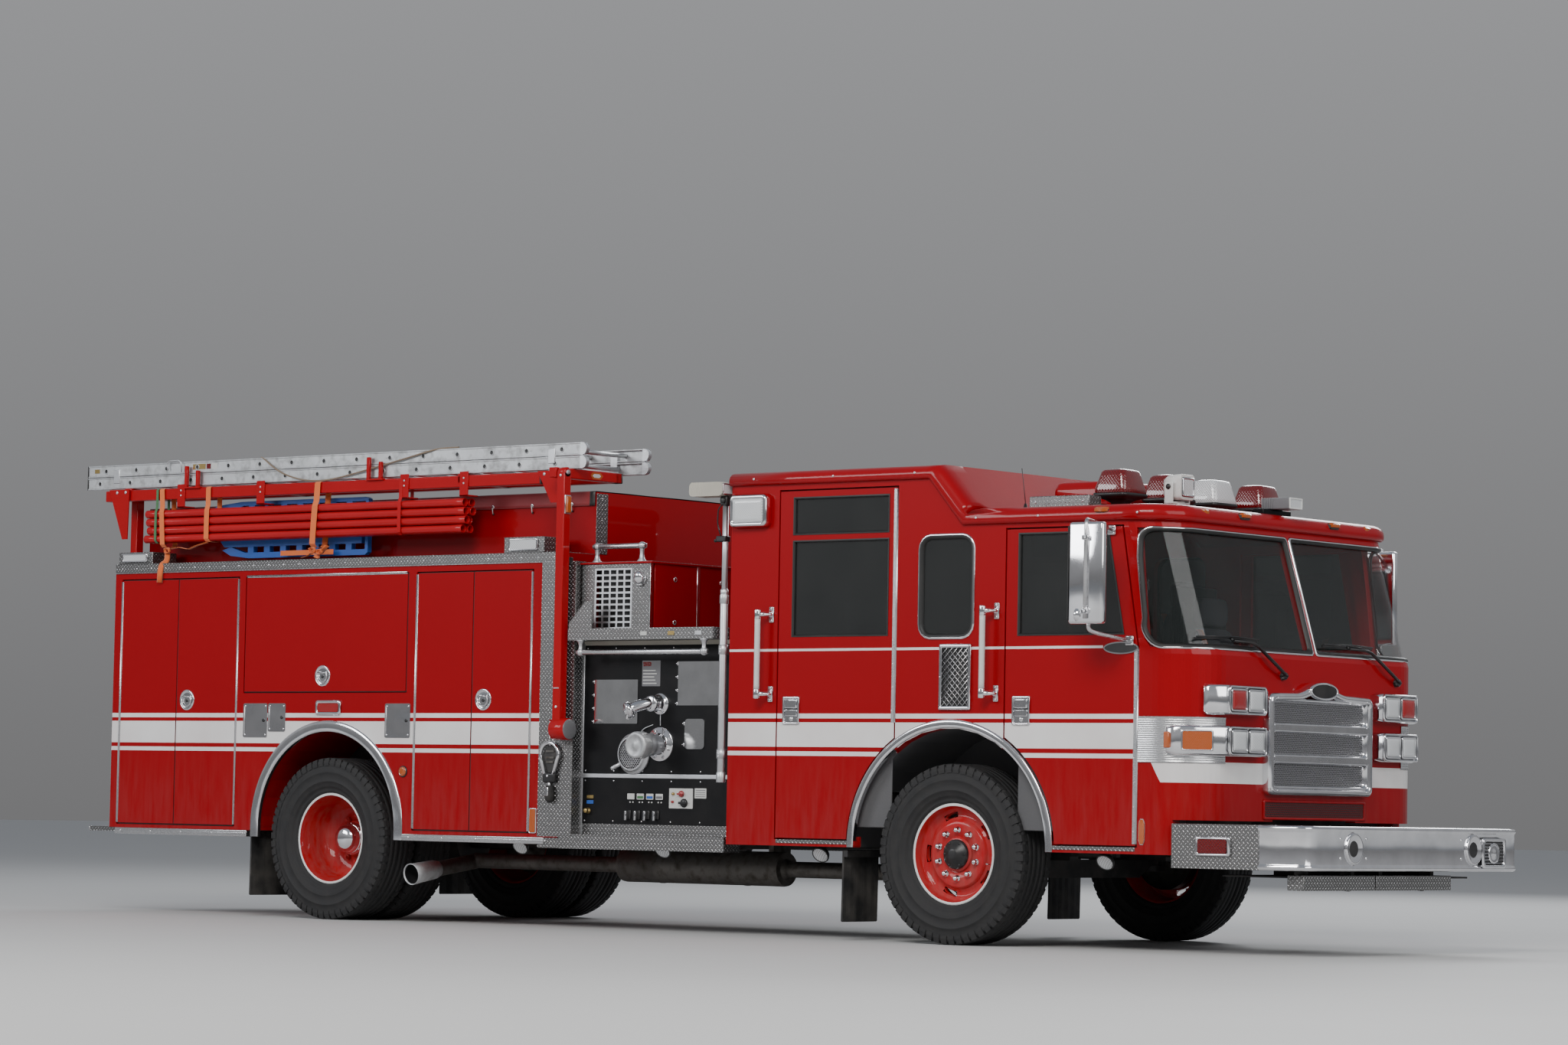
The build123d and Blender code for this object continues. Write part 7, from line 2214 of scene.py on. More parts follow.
        form.tube([(0.285, s * (face + 0.006), 1.352), (0.290, s * (face + 0.010), 1.285)], 0.003, 6)
        grab(form, (-0.311, s * 1.283, 1.740), (0.765, s * 1.283, 1.740), (0, 0, 0.077), 0.0165)
        grab(form, (-0.352, s * 1.100, 2.416), (0.084, s * 1.100, 2.416), (0, 0, -0.102), 0.0165)
        form.done(["pump_fittings"] if side is Side.RIGHT else [])

    def instruments(self) -> None:
        """Makes the hinged mirror plates, placards, levers and selector, or the left side's gauges."""
        side, s, w = self.side, self.side.value, self.side.word
        form = Form(f"{w}_pump_instruments", "chassis", Shop.chrome, "chrome")
        plane = flank(side, PUMP_Y + 0.004)

        def card(x0: float, x1: float, z0: float, z1: float, finish: Finish, deep: float = 0.003,
                 radius: float = 0.003) -> None:
            """Adds a flat plate on the panel."""
            form.wear(finish).slab(plane, plate(side, x0, x1, z0, z1, radius), 0.0, deep,
                                   min(0.001, deep / 3))

        if side is Side.RIGHT:
            for x0, x1, z0, z1, r in ((-0.267, 0.094, 1.296, 1.572, 0.006),
                                      (0.424, 0.776, 1.410, 1.683, 0.006),
                                      (0.485, 0.645, 1.140, 1.327, 0.025)):
                card(x0, x1, z0, z1, Shop.mirror, 0.006, r)
                for k in range(4 if r < 0.01 else 2):
                    z = z0 + (z1 - z0) * ((k + 0.15) / 3.3 if r < 0.01 else 0.15 + 0.7 * k)
                    form.wear(Shop.chrome).rod((x0 - 0.004, s * (PUMP_Y + 0.009), z - 0.012),
                                               (x0 - 0.004, s * (PUMP_Y + 0.009), z + 0.012), 0.005, 8)
                    form.bolt((x0 - 0.020, s * (PUMP_Y + 0.004), z), (0, s, 0), 0.004, 0.002)
        else:
            small = [(0.36 + 0.13 * (k % 4), 1.66 - 0.14 * (k // 4), 0.048) for k in range(8)]
            for x, z, r in [(-0.12, 1.60, 0.075), (0.10, 1.60, 0.075)] + small:
                form.turned((x, s * (PUMP_Y + 0.004), z), (0, s, 0),
                            (Shop.chrome, 36, [(r, 0), (r, 0.012), (r - 0.006, 0.016), (r - 0.010, 0.012)]),
                            (Shop.plate_white, 36, [(r - 0.008, 0.010), (0, 0.0105)]))
                form.wear(Shop.black).rod((x, s * (PUMP_Y + 0.016), z),
                                          (x - 0.6 * r, s * (PUMP_Y + 0.016), z - 0.35 * r), 0.0016, 6)
        card(0.125, 0.275, 1.530, 1.690, Shop.plate_grey)
        card(0.133, 0.200, 1.655, 1.682, Shop.deep_red_lens, 0.0036)
        for k in range(5):
            card(0.133, 0.245 - 0.01 * (k % 3), 1.545 + 0.020 * k, 1.551 + 0.020 * k,
                 Shop.plate_white, 0.0036, 0.001)
        for k, tint in enumerate((Shop.plate_white, Shop.green_strap, Shop.blue, Shop.plate_grey)):
            x = 0.022 + 0.078 * k
            card(x, x + 0.058, 0.824, 0.860, Shop.plate_white)
            card(x + 0.004, x + 0.054, 0.829, 0.845, tint, 0.0036)
            for dx in (0.006, 0.030):
                form.wear(Shop.plate_white).lathe((x + 0.016 + dx, s * (PUMP_Y + 0.004), 0.806), (0, s, 0),
                                                  [(0.005, 0), (0.005, 0.003), (0, 0.004)], 12)
            form.wear(Shop.chrome).box((x - 0.004, s * (PUMP_Y + 0.004), 0.692),
                                       (x + 0.013, s * (PUMP_Y + 0.034), 0.752), 0.004, 2)
            form.wear(Shop.black).box((x + 0.013, s * (PUMP_Y + 0.004), 0.700),
                                      (x + 0.032, s * (PUMP_Y + 0.012), 0.756), 0.003)
        card(0.368, 0.560, 0.772, 0.896, Shop.plate_white, 0.004, 0.004)
        for x, z, tint, r in ((0.470, 0.862, Shop.red_lens, 0.020), (0.492, 0.806, Shop.black, 0.027),
                              (0.405, 0.862, Shop.brass, 0.009), (0.400, 0.812, Shop.red_lens, 0.008)):
            form.wear(tint).lathe((x, s * (PUMP_Y + 0.008), z), (0, s, 0),
                                  [(r, 0), (r, 0.008), (r * 0.8, 0.014), (0, 0.015)], 20)
            if r > 0.015:
                form.box((x - r * 1.25, s * (PUMP_Y + 0.014), z - r * 0.28),
                         (x + r * 1.25, s * (PUMP_Y + 0.030), z + r * 0.28), 0.003, 2)
        card(0.574, 0.668, 0.836, 0.898, Shop.plate_white)
        for k in range(4):
            card(0.582, 0.660, 0.845 + 0.013 * k, 0.849 + 0.013 * k, Shop.plate_grey, 0.0036, 0.001)
        card(-0.318, -0.262, 0.826, 0.846, Shop.brass)
        card(-0.318, -0.262, 0.792, 0.814, Shop.blue)
        form.wear(Shop.brass).lathe((-0.305, s * (PUMP_Y + 0.004), 0.748), (0, s, 0),
                                    [(0.020, 0), (0.020, 0.006), (0.012, 0.010), (0.010, 0.022),
                                     (0.017, 0.026), (0.014, 0.034), (0, 0.035)], 20)
        form.done()

    def build(self) -> None:
        """Makes the whole panel."""
        self.panels()
        self.outlets()
        self.instruments()


@dataclass
class CrosslayBox:
    """The raised box over the pump, with a slotted tread-plate grille in each end."""

    rear: float = -0.357
    front: float = 0.221
    low: float = 1.8885
    high: float = 2.297
    half: float = 1.199

    def grille(self, form: Form, side: Side) -> None:
        """Makes one end: a tread plate with five columns of ten square holes."""
        s = side.value
        columns, rows, pitch_x, pitch_z = 5, 10, 0.060, 0.037
        left, base = -0.236, self.low + 0.012
        hole_x, hole_z = 0.046, 0.025
        right, top = left + columns * pitch_x, base + rows * pitch_z
        # Painted shade: a black sheet behind the square holes.
        form.wear(Shop.black).box((left - 0.004, s * (self.half - 0.034), base),
                                  (right, s * (self.half - 0.030), top), 0.0)
        form.wear(Shop.satin)
        for k in range(columns + 1):
            x = left + pitch_x * k - (pitch_x - hole_x)
            form.box((x, s * (self.half - 0.004), base - 0.004),
                     (x + pitch_x - hole_x, s * self.half, base + rows * pitch_z), 0.0005)
        for k in range(rows + 1):
            z = base + pitch_z * k - (pitch_z - hole_z)
            form.box((left - 0.012, s * (self.half - 0.0035), z),
                     (right, s * (self.half + 0.0002), z + pitch_z - hole_z), 0.0005)
        form.wear(Shop.tread)
        form.box((self.rear, s * (self.half - 0.004), self.low),
                 (left - 0.012, s * self.half, self.high), 0.001)
        form.box((right - 0.002, s * (self.half - 0.004), self.low),
                 (self.front, s * self.half, self.high), 0.001)
        form.box((left - 0.012, s * (self.half - 0.004), top - 0.002),
                 (right, s * self.half, self.high), 0.001)
        form.wear(Shop.chrome).lathe((0.135, s * self.half, 2.205), (0, s, 0.0),
                                     [(0.044, 0.0), (0.043, 0.006), (0.036, 0.010)], 28)
        hood = ((0.040, 0.0, 0.0), (0.039, 0.014, 0.0), (0.033, 0.028, 0.004), (0.022, 0.036, 0.008),
                (0.006, 0.039, 0.010))
        form.loft([[Vector((0.135 + r * math.cos(t), s * (self.half + 0.006 + d),
                            2.205 + up + r * math.sin(t) * 1.1))
                    for t in bearings(24)] for r, d, up in hood], caps=True)
        form.wear(Shop.clear_lens).box((0.115, s * (self.half + 0.004), 2.158),
                                       (0.155, s * (self.half + 0.022), 2.172), 0.003)

    def build(self) -> None:
        """Makes the box."""
        form = Form("crosslay_box", "chassis", Shop.plain_red, "red_paint")
        inner = self.half - 0.036
        form.box((self.front - 0.030, -inner, self.low), (self.front, inner, self.high), 0.002)
        form.box((self.rear, -inner, self.low), (self.rear + 0.030, inner, self.high), 0.002)
        form.box((self.rear - 0.011, -self.half - 0.011, self.high),
                 (self.front + 0.011, self.half + 0.011, self.high + 0.012), 0.003, 2)
        form.wear(Shop.tread).box((self.rear + 0.006, -self.half + 0.010, self.high + 0.011),
                                  (self.front - 0.006, self.half - 0.010, self.high + 0.0158), 0.001)
        form.wear(Shop.chrome)
        for y in (-1.197, -0.745, -0.290, 0.290, 0.745, 1.197):
            form.box((self.front - 0.001, y - 0.014, self.low),
                     (self.front + 0.004, y + 0.014, self.high), 0.002)
        for y, z in ((-0.97, 2.205), (-0.97, 1.935), (-0.52, 2.205), (0.52, 2.205), (0.97, 2.205)):
            form.lathe((self.front, y, z), X_AXIS,
                       [(0.016, 0), (0.016, 0.004), (0.009, 0.006), (0.0, 0.006)], 18)
        for side in Side:
            self.grille(form, side)
        form.done(["pump_top_box"])


@dataclass
class Floodlight:
    """The telescoping floodlight that stands at the right front corner of the pump."""

    x: float = 0.858
    y: float = -1.2455

    def build(self) -> None:
        """Makes the mast, its collars and clamps, and the lamp head."""
        form = Form("telescoping_floodlight", "chassis", Shop.satin, "bright_steel")
        x, y = self.x, self.y
        form.rod((x, y, 0.950), (x, y, 2.050), 0.0245, 24, 0.004)
        form.rod((x, y, 2.050), (x, y, 2.640), 0.0185, 24)
        form.lathe((x, y, 2.030), Z_AXIS,
                   [(0.0250, 0.0), (0.0285, 0.003), (0.0285, 0.050), (0.024, 0.060), (0.0255, 0.064),
                    (0.0255, 0.086), (0.019, 0.092)], 24)
        form.lathe((x, y, 0.935), Z_AXIS,
                   [(0.0, 0.0), (0.027, 0.0), (0.029, 0.004), (0.029, 0.060), (0.0245, 0.066)], 24)
        for z in (1.080, 1.720):
            form.wear(Shop.satin).box((x - 0.029, y + 0.000, z), (x + 0.029, -PUMP_Y, z + 0.060), 0.004, 2)
            form.lathe((x, y, z), Z_AXIS,
                       [(0.0245, 0.0), (0.0300, 0.002), (0.0300, 0.058), (0.0245, 0.060)], 24)
            for dz in (0.015, 0.045):
                form.wear(Shop.chrome).bolt((x, y - 0.030, z + dz), RIGHTWARD, 0.006, 0.004)
        form.wear(Shop.black).box((x - 0.055, y - 0.026, 2.412), (x + 0.020, y + 0.026, 2.448), 0.006, 2)
        form.rod((x - 0.055, y, 2.430), (x - 0.085, y, 2.418), 0.010, 12, 0.003)
        form.wear(Shop.black).box((x - 0.028, y - 0.026, 2.636), (x + 0.027, y + 0.026, 2.692), 0.008, 2)
        form.lathe((x, y - 0.026, 2.666), RIGHTWARD,
                   [(0.018, 0), (0.018, 0.010), (0.012, 0.014), (0, 0.014)], 20)
        form.wear(Shop.beige)
        shell = rounded((x - 0.243, 2.6925), (x + 0.023, 2.7785), 0.026, 5)
        form.slab(flank(Side.RIGHT, -y - 0.067), shell, 0.0, 0.134, 0.008, 2)
        for k in range(5):
            form.box((x - 0.226 + 0.020 * k, y - 0.068, 2.702),
                     (x - 0.218 + 0.020 * k, y + 0.068, 2.7795), 0.001)
        form.framed(facing_ahead(x + 0.022, y, 2.735), centred(0.062, 0.036, 0.012),
                    centred(0.052, 0.027, 0.010),
                    (0.0, 0.004, 0.001), Shop.clear_lens, (0.0, 0.003))
        cable = [(x - 0.026, y + 0.010, 2.650), (x - 0.075, y + 0.016, 2.62), (x - 0.080, y + 0.018, 2.52),
                 (x - 0.050, y + 0.022, 2.44)]
        form.wear(Shop.black).tube(cable, 0.004, 8, bend=0.03)
        form.done(["floodlight"])


# Rack

LADDER_REAR, LADDER_FRONT = -5.046, -0.372
BED_Z = 2.9133
RAIL_HEIGHT = 0.083
NEAR_Y, FAR_Y = -1.150, -0.550


@dataclass
class Ladders:
    """The two aluminium ladder sections, one on the other, with channel rails and round rungs."""

    pitch: float = 0.305
    first: float = -4.916

    def rail(self, form: Form, y: float, z: float, out: int) -> None:
        """Makes one channel rail with rolled flanges and a round nose.

        Args:
            form: The piece that gets it.
            y: The rail's middle plane.
            z: Its lower edge.
            out: The side of it that faces away from the rungs.
        """
        high = z + RAIL_HEIGHT
        form.wear(Shop.weathered)
        form.box((LADDER_REAR + 0.004, y - 0.0035 + out * 0.0075, z + 0.003),
                 (LADDER_FRONT - 0.035, y + 0.0035 + out * 0.0075, high - 0.003), 0.0005)
        for low, top in ((z, z + 0.011), (high - 0.011, high)):
            form.box((LADDER_REAR + 0.004, y - 0.015, low), (LADDER_FRONT - 0.035, y + 0.015, top), 0.0035, 2)
        middle = z + RAIL_HEIGHT / 2
        form.wear(Shop.satin)
        nose = [(LADDER_FRONT - 0.055, z + 0.001), (LADDER_FRONT - 0.0415, z + 0.001)]
        angles = [math.pi * (k / 12 - 0.5) for k in range(13)]
        nose += [(LADDER_FRONT - 0.0415 + 0.0405 * math.cos(t),
                  middle + 0.0405 * math.sin(t)) for t in angles]
        nose += [(LADDER_FRONT - 0.055, high - 0.001)]
        form.slab(flank(Side.RIGHT, -y - 0.0155), nose, 0.0, 0.031, 0.003, 2)
        form.wear(Shop.black).box((LADDER_REAR, y - 0.0155, z),
                                  (LADDER_REAR + 0.012, y + 0.0155, high), 0.003)

    def build(self) -> None:
        """Makes both sections."""
        form = Form("ladder_sections", "rack_platform", Shop.weathered, "aluminium")
        for level in (0, 1):
            z = BED_Z + level * (RAIL_HEIGHT + 0.003)
            middle = z + RAIL_HEIGHT / 2
            self.rail(form, NEAR_Y, z, -1)
            self.rail(form, FAR_Y, z, 1)
            for k in range(15):
                x = self.first + self.pitch * k + 0.060 * level
                if x > LADDER_FRONT - 0.06:
                    continue
                form.wear(Shop.satin).rod((x, NEAR_Y, middle), (x, FAR_Y, middle), 0.0155, 12)
                for y, s in ((NEAR_Y - 0.0112, -1), (FAR_Y + 0.0112, 1)):
                    # The black disc in each rung's end is painted shade inside the hollow rung.
                    form.turned((x, y, middle), (0, s, 0),
                                (Shop.weathered, 16,
                                 [(0.019, 0), (0.0185, 0.0030), (0.0145, 0.0036), (0.0135, 0.0030)]),
                                (Shop.black, 16, [(0.0137, 0.0028), (0, 0.0012)]))
                if k % 4 == 1 and level:
                    for dx in (-0.035, 0.035):
                        form.wear(Shop.weathered).bolt((x + dx, NEAR_Y - 0.0112, middle),
                                                       RIGHTWARD, 0.004, 0.002)
        top = BED_Z + RAIL_HEIGHT + 0.003
        for x, width, z0, z1, tint in ((-3.985, 0.125, 0.026, 0.062, Shop.brass),
                                       (-3.850, 0.040, 0.026, 0.062, Shop.deep_red_lens),
                                       (-3.800, 0.055, 0.026, 0.062, Shop.plate_white),
                                       (-4.975, 0.050, 0.030, 0.058, Shop.brass)):
            form.wear(tint).box((x, NEAR_Y - 0.0125, top + z0),
                                (x + width, NEAR_Y - 0.0110, top + z1), 0.0003)
        for x in (-4.746, -0.672):
            for y in (NEAR_Y, FAR_Y):
                form.wear(Shop.satin).box((x - 0.030, y - 0.0175, BED_Z + 0.040),
                                          (x + 0.030, y + 0.0175, BED_Z + 0.136), 0.004, 2)
        form.done(["ladders"])


@dataclass
class Rack:
    """The swing-out rack: its two arms, the red tube frame, its clamps and reflectors."""

    def arm(self, name: str, body: str, x0: float, y: float, hub_front: float, node: str, cap: int) -> None:
        """Makes one arm on its hub.

        Args:
            name: The piece's name.
            body: The body that it is.
            x0: Its rear face.
            y: Its middle plane.
            hub_front: How far forward its hub reaches.
            node: The frame's node that it stands for.
            cap: Which way the hub's bright cap faces.
        """
        form = Form(name, body, Shop.rack_red, "red_paint")
        x1, z0, z1 = x0 + 0.064, 1.257, 2.880
        form.box((x0, y - 0.032, z0), (x1, y + 0.032, z1), 0.005, 2)
        form.lathe((x0, y, z1), X_AXIS,
                   [(0.0, 0.0), (0.028, 0.0), (0.032, 0.004), (0.032, 0.060), (0.028, 0.064),
                    (0.0, 0.064)], 28)
        hub = hub_front - x0
        form.lathe((x0, y, z0), X_AXIS,
                   [(0.0, 0.0), (0.066, 0.0), (0.068, 0.003), (0.068, hub - 0.008), (0.064, hub - 0.002)], 36)
        end = hub_front if cap > 0 else x0
        form.wear(Shop.plate_grey).lathe((end, y, z0), (cap, 0, 0),
                                         [(0.064, -0.003), (0.063, 0.001), (0.056, 0.003), (0.020, 0.004),
                                          (0.0, 0.004)], 36)
        form.wear(Shop.satin).box((x0 + 0.010, y - 0.036, z0 + 0.255),
                                  (x1 - 0.010, y - 0.031, z0 + 0.262), 0.001)
        form.wear(Shop.chrome)
        for z in (z1 - 0.02, z0 + 0.14):
            form.bolt((x0 + 0.032, y - 0.032, z), RIGHTWARD, 0.010, 0.006)
        if cap > 0:
            form.wear(Shop.chrome).box((x1 - 0.001, y - 0.026, 2.615),
                                       (x1 + 0.006, y + 0.026, 2.735), 0.003, 2)
            form.wear(Shop.amber_lens).box((x1 + 0.004, y - 0.020, 2.622),
                                           (x1 + 0.020, y + 0.020, 2.728), 0.007, 3)
            form.wear(Shop.black).box((x0 + 0.004, y + 0.030, 2.300), (x1 - 0.004, y + 0.075, 2.345), 0.004)
        form.done([node])

    def frame(self) -> None:
        """Makes the tube frame with its brackets, hooks, gussets and reflector."""
        form = Form("rack_tubes", "rack_platform", Shop.rack_red, "red_paint")
        bottom, top = 2.849, 2.913
        form.box((-4.835, -1.182, bottom - 0.024), (-0.755, -1.118, top - 0.013), 0.006, 2)
        form.wear(Shop.black).box((-0.756, -1.183, bottom - 0.025), (-0.742, -1.117, top - 0.012), 0.004)
        form.wear(Shop.rack_red).box((-4.643, -0.767, bottom), (-0.476, -0.703, top), 0.006, 2)
        for x, outer in ((-0.540, 1.332), (-1.476, 1.182), (-3.343, 1.182), (-4.643, 1.182)):
            form.box((x, -outer, bottom), (x + 0.064, -0.703, top), 0.006, 2)
        for x in (-4.105, -3.330, -1.985, -1.450):
            form.box((x, -1.190, bottom - 0.085), (x + 0.075, -1.182, top + 0.012), 0.002)
            form.box((x, -1.190, bottom - 0.085), (x + 0.075, -1.090, bottom - 0.075), 0.002)
            for z in (bottom, top - 0.03):
                form.wear(Shop.satin).bolt((x + 0.037, -1.190, z), RIGHTWARD, 0.007, 0.004)
            form.wear(Shop.rack_red)
        for x in (-4.030, -2.290):
            form.box((x, -1.200, top - 0.020), (x + 0.150, -1.168, top - 0.008), 0.002)
            for dx in (0.0, 0.110):
                form.box((x + dx, -1.199, top - 0.012),
                         (x + dx + 0.026, -1.175, top + 0.135 - dx * 0.3), 0.003)
        wire = [(-4.215, -1.180, 3.030), (-4.225, -1.185, 3.070), (-4.195, -1.185, 3.090),
                (-4.100, -1.185, 3.090), (-4.075, -1.185, 3.070), (-4.080, -1.178, 3.010)]
        form.wear(Shop.satin).tube(wire, 0.0045, 8, bend=0.015)
        form.wear(Shop.rack_red)
        form.slab(flank(Side.RIGHT, 1.190),
                  [(-0.640, 2.700), (-0.560, 2.700), (-0.545, 2.905), (-0.760, 2.905)], 0.0, 0.008, 0.001)
        form.slab(flank(Side.RIGHT, 1.190),
                  [(-4.640, 2.560), (-4.590, 2.560), (-4.580, 2.905), (-4.780, 2.905)], 0.0, 0.008, 0.001)
        for x, z in ((-0.700, 2.885), (-0.595, 2.885), (-4.700, 2.885), (-4.615, 2.885)):
            form.wear(Shop.satin).bolt((x, -1.198, z), RIGHTWARD, 0.011, 0.006)
        for y, x0, x1 in ((-1.300, -0.496, -0.399), (-1.020, -4.665, -4.590)):
            form.wear(Shop.satin).rod((x0, y, 2.880), (x1, y, 2.880), 0.0155, 18, 0.003)
        form.rod((-4.731, -1.020, 2.880), (-4.640, -1.020, 2.880), 0.0155, 18, 0.003)
        hexagon = [(-0.060, 0.0), (-0.036, -0.022), (0.036, -0.022), (0.060, 0.0), (0.036, 0.022),
                   (-0.036, 0.022)]
        plane = facing_ahead(-0.476, -0.950, 2.881)
        form.wear(Shop.amber_lens).slab(plane, hexagon, 0.0, 0.0025, 0.0008)
        form.wear(Shop.plate_white).slab(plane, [(u * 0.66, v * 0.52) for u, v in hexagon],
                                         0.002, 0.0033, 0.0005)
        form.wear(Shop.black).box((-0.541, -0.7045, bottom - 0.001), (-0.475, -0.694, top + 0.001), 0.004)
        form.done(["rack_frame"])

    def build(self) -> None:
        """Makes the arms and the frame."""
        self.arm("rack_front_arm_dressed", "rack_front", -0.470, -1.300, -0.346, "rack_front_arm", 1)
        self.arm("rack_rear_arm_dressed", "rack_rear", -4.713, -1.020, -4.649, "rack_rear_arm", -1)
        self.frame()


@dataclass
class StrappedHoses:
    """Eight hard tubes strapped under the rack, the blue board behind them, and the straps."""

    rear: float = -4.422
    front: float = -1.382
    radius: float = 0.028
    pitch: float = 0.057
    bottom: float = 2.528
    outer: float = 1.172

    def tubes(self) -> None:
        """Makes the tubes, open at both ends."""
        form = Form("hard_tubes", "rack_platform", Shop.pipe_red, "grey_pipe")
        for row in range(4):
            for column in range(2):
                y, z = -self.outer + column * self.pitch, self.bottom + self.radius + row * self.pitch
                shift = 0.010 * ((row * 3 + column * 5) % 4) - 0.020
                a, b, r = self.rear + 0.02 + shift, self.front - 0.02 + shift, self.radius - 0.0004
                long = b - a
                form.wear(Shop.pipe_red).lathe((a, y, z), X_AXIS, [
                    (r - 0.005, 0.10), (r - 0.005, 0.002), (r - 0.004, 0.0), (r - 0.001, 0.0),
                    (r, 0.002), (r, 0.060),
                    (r - 0.0012, 0.064), (r - 0.0012, long - 0.094), (r, long - 0.09), (r, long - 0.002),
                    (r - 0.001, long), (r - 0.004, long), (r - 0.005, long - 0.002),
                    (r - 0.005, long - 0.10)], 24)
                # Painted shade: a black disc set in each open end stands for the dark bore.
                for end in (a + 0.06, b - 0.06):
                    form.wear(Shop.black).lathe((end, y, z), X_AXIS, [(r - 0.004, 0.0), (0.0, 0.0)], 24)
        form.done(["pipes"])

    def strap(self, form: Form, x: float, width: float, slack: float = 0.0, skew: float = 0.0) -> None:
        """Wraps one web strap round the bundle and up over the rack tube.

        Args:
            form: The piece that gets it.
            x: Its station.
            width: Its width.
            slack: How far it hangs under the bundle.
            skew: How far its top stands behind its foot.
        """
        near, far = -self.outer - self.radius - 0.002, -self.outer + self.pitch + self.radius + 0.002
        low, top = self.bottom - 0.002 - slack, 2.902
        corners = [(near, low + 0.02), (near - 0.001, 2.62), (near, 2.74), (near + 0.012, 2.775),
                   (near + 0.012, top - 0.01), (near + 0.024, top), (far - 0.024, top),
                   (far, top - 0.02), (far + 0.001, 2.65), (far, low + 0.02), (far - 0.02, low),
                   (near + 0.02, low)]
        loops = []
        for y, z in corners + corners[:1]:
            lean = skew * (z - low) / (top - low)
            left, right = x - width / 2 - lean, x + width / 2 - lean
            out = y + (0.0022 if y > -1.13 else -0.0022)
            loops.append([Vector((left, y, z)), Vector((right, y, z)),
                          Vector((right, out, z + (-0.001 if z < 2.6 else 0.0))), Vector((left, out, z))])
        form.loft(loops, smooth=False)

    def knot(self, form: Form, at: Point, size: float) -> None:
        """Ties a rough knot with two loose loops."""
        x, y, z = at
        for k in range(3):
            t = 2.1 * k
            wide, out = size * (0.5 + 0.2 * k), y - 0.006 - 0.004 * k
            pts = [(x + wide * math.cos(t + 0.9 * a), out,
                    z + size * math.sin(t + 0.9 * a) * 0.5) for a in range(6)]
            form.tube(pts, 0.0035, 8, bend=0.01, flat=3.0)

    def straps(self) -> None:
        """Makes the orange, green and dark straps with their knots and hanging tails."""
        form = Form("web_straps", "rack_platform", Shop.strap, "red_vinyl")
        y = -self.outer - self.radius - 0.004
        self.strap(form, -4.225, 0.045, 0.030, 0.030)
        self.strap(form, -3.795, 0.045, 0.0)
        self.strap(form, -2.775, 0.052, 0.060, -0.030)
        self.knot(form, (-4.165, y, 2.470), 0.035)
        self.knot(form, (-2.760, y, 2.440), 0.040)
        self.knot(form, (-2.690, y, 2.430), 0.034)
        tails = (((-4.170, 0, 2.455), (-4.160, -0.012, 2.400), (-4.170, -0.052, 2.372),
                  (-4.172, -0.062, 2.330),
                  (-4.176, -0.062, 2.250)),
                 ((-4.150, 0, 2.480), (-4.050, -0.004, 2.492), (-3.960, 0, 2.475), (-3.880, 0, 2.500),
                  (-3.800, 0.02, 2.520)),
                 ((-2.770, 0, 2.430), (-2.800, -0.010, 2.405), (-2.840, -0.030, 2.393)),
                 ((-2.690, 0, 2.420), (-2.660, -0.010, 2.440), (-2.620, -0.01, 2.470)),
                 ((-2.740, 0, 2.425), (-2.700, -0.016, 2.398), (-2.690, -0.045, 2.390)))
        for tail in tails:
            form.tube([(x, y + dy, z) for x, dy, z in tail], 0.0022, 6, bend=0.02, flat=9.0)
        form.wear(Shop.green_strap)
        self.strap(form, -4.300, 0.022)
        form.wear(Shop.pipe_red)
        self.strap(form, -1.975, 0.030)
        form.done()

    def board(self) -> None:
        """Makes the rescue board with its hand slots."""
        form = Form("rescue_board", "rack_platform", Shop.blue, "blue_pipe")
        plane = flank(Side.RIGHT, -(-self.outer + self.pitch + self.radius + 0.0035) - 0.042)
        rear, nose, front = -3.980, -3.780, -2.372

        def sheet_of(points: Sequence[Flat]) -> None:
            """Adds one flat area of the board."""
            form.slab(plane, list(points), 0.002, 0.040, 0.004, 2)

        sheet_of([(nose + 0.04, 2.490), (front - 0.060, 2.490), (front - 0.060, 2.735), (rear + 0.16, 2.735),
                  (rear + 0.09, 2.640)])
        sheet_of([(nose + 0.02, 2.470), (nose + 0.10, 2.432), (nose + 0.28, 2.412), (front - 0.03, 2.412),
                  (front - 0.004, 2.430), (front - 0.004, 2.450), (nose + 0.24, 2.450),
                  (nose + 0.10, 2.4915)])
        sheet_of([(rear + 0.09, 2.7352), (nose + 0.10, 2.7352), (nose + 0.22, 2.770), (front - 0.004, 2.770),
                  (front - 0.004, 2.785), (front - 0.03, 2.797), (nose + 0.20, 2.797), (rear + 0.16, 2.775)])
        sheet_of([(front - 0.030, 2.450), (front - 0.004, 2.450), (front - 0.004, 2.770),
                  (front - 0.030, 2.770)])
        for k in range(7):
            x = nose + 0.27 + 0.155 * k
            sheet_of([(x, 2.449), (x + 0.055, 2.449), (x + 0.055, 2.491), (x, 2.491)])
            sheet_of([(x, 2.734), (x + 0.055, 2.734), (x + 0.055, 2.771), (x, 2.771)])
        form.wear(Shop.strap).box((-3.150, -1.1265, 2.418), (-2.650, -1.1235, 2.452), 0.001)
        form.done(["backboard"])

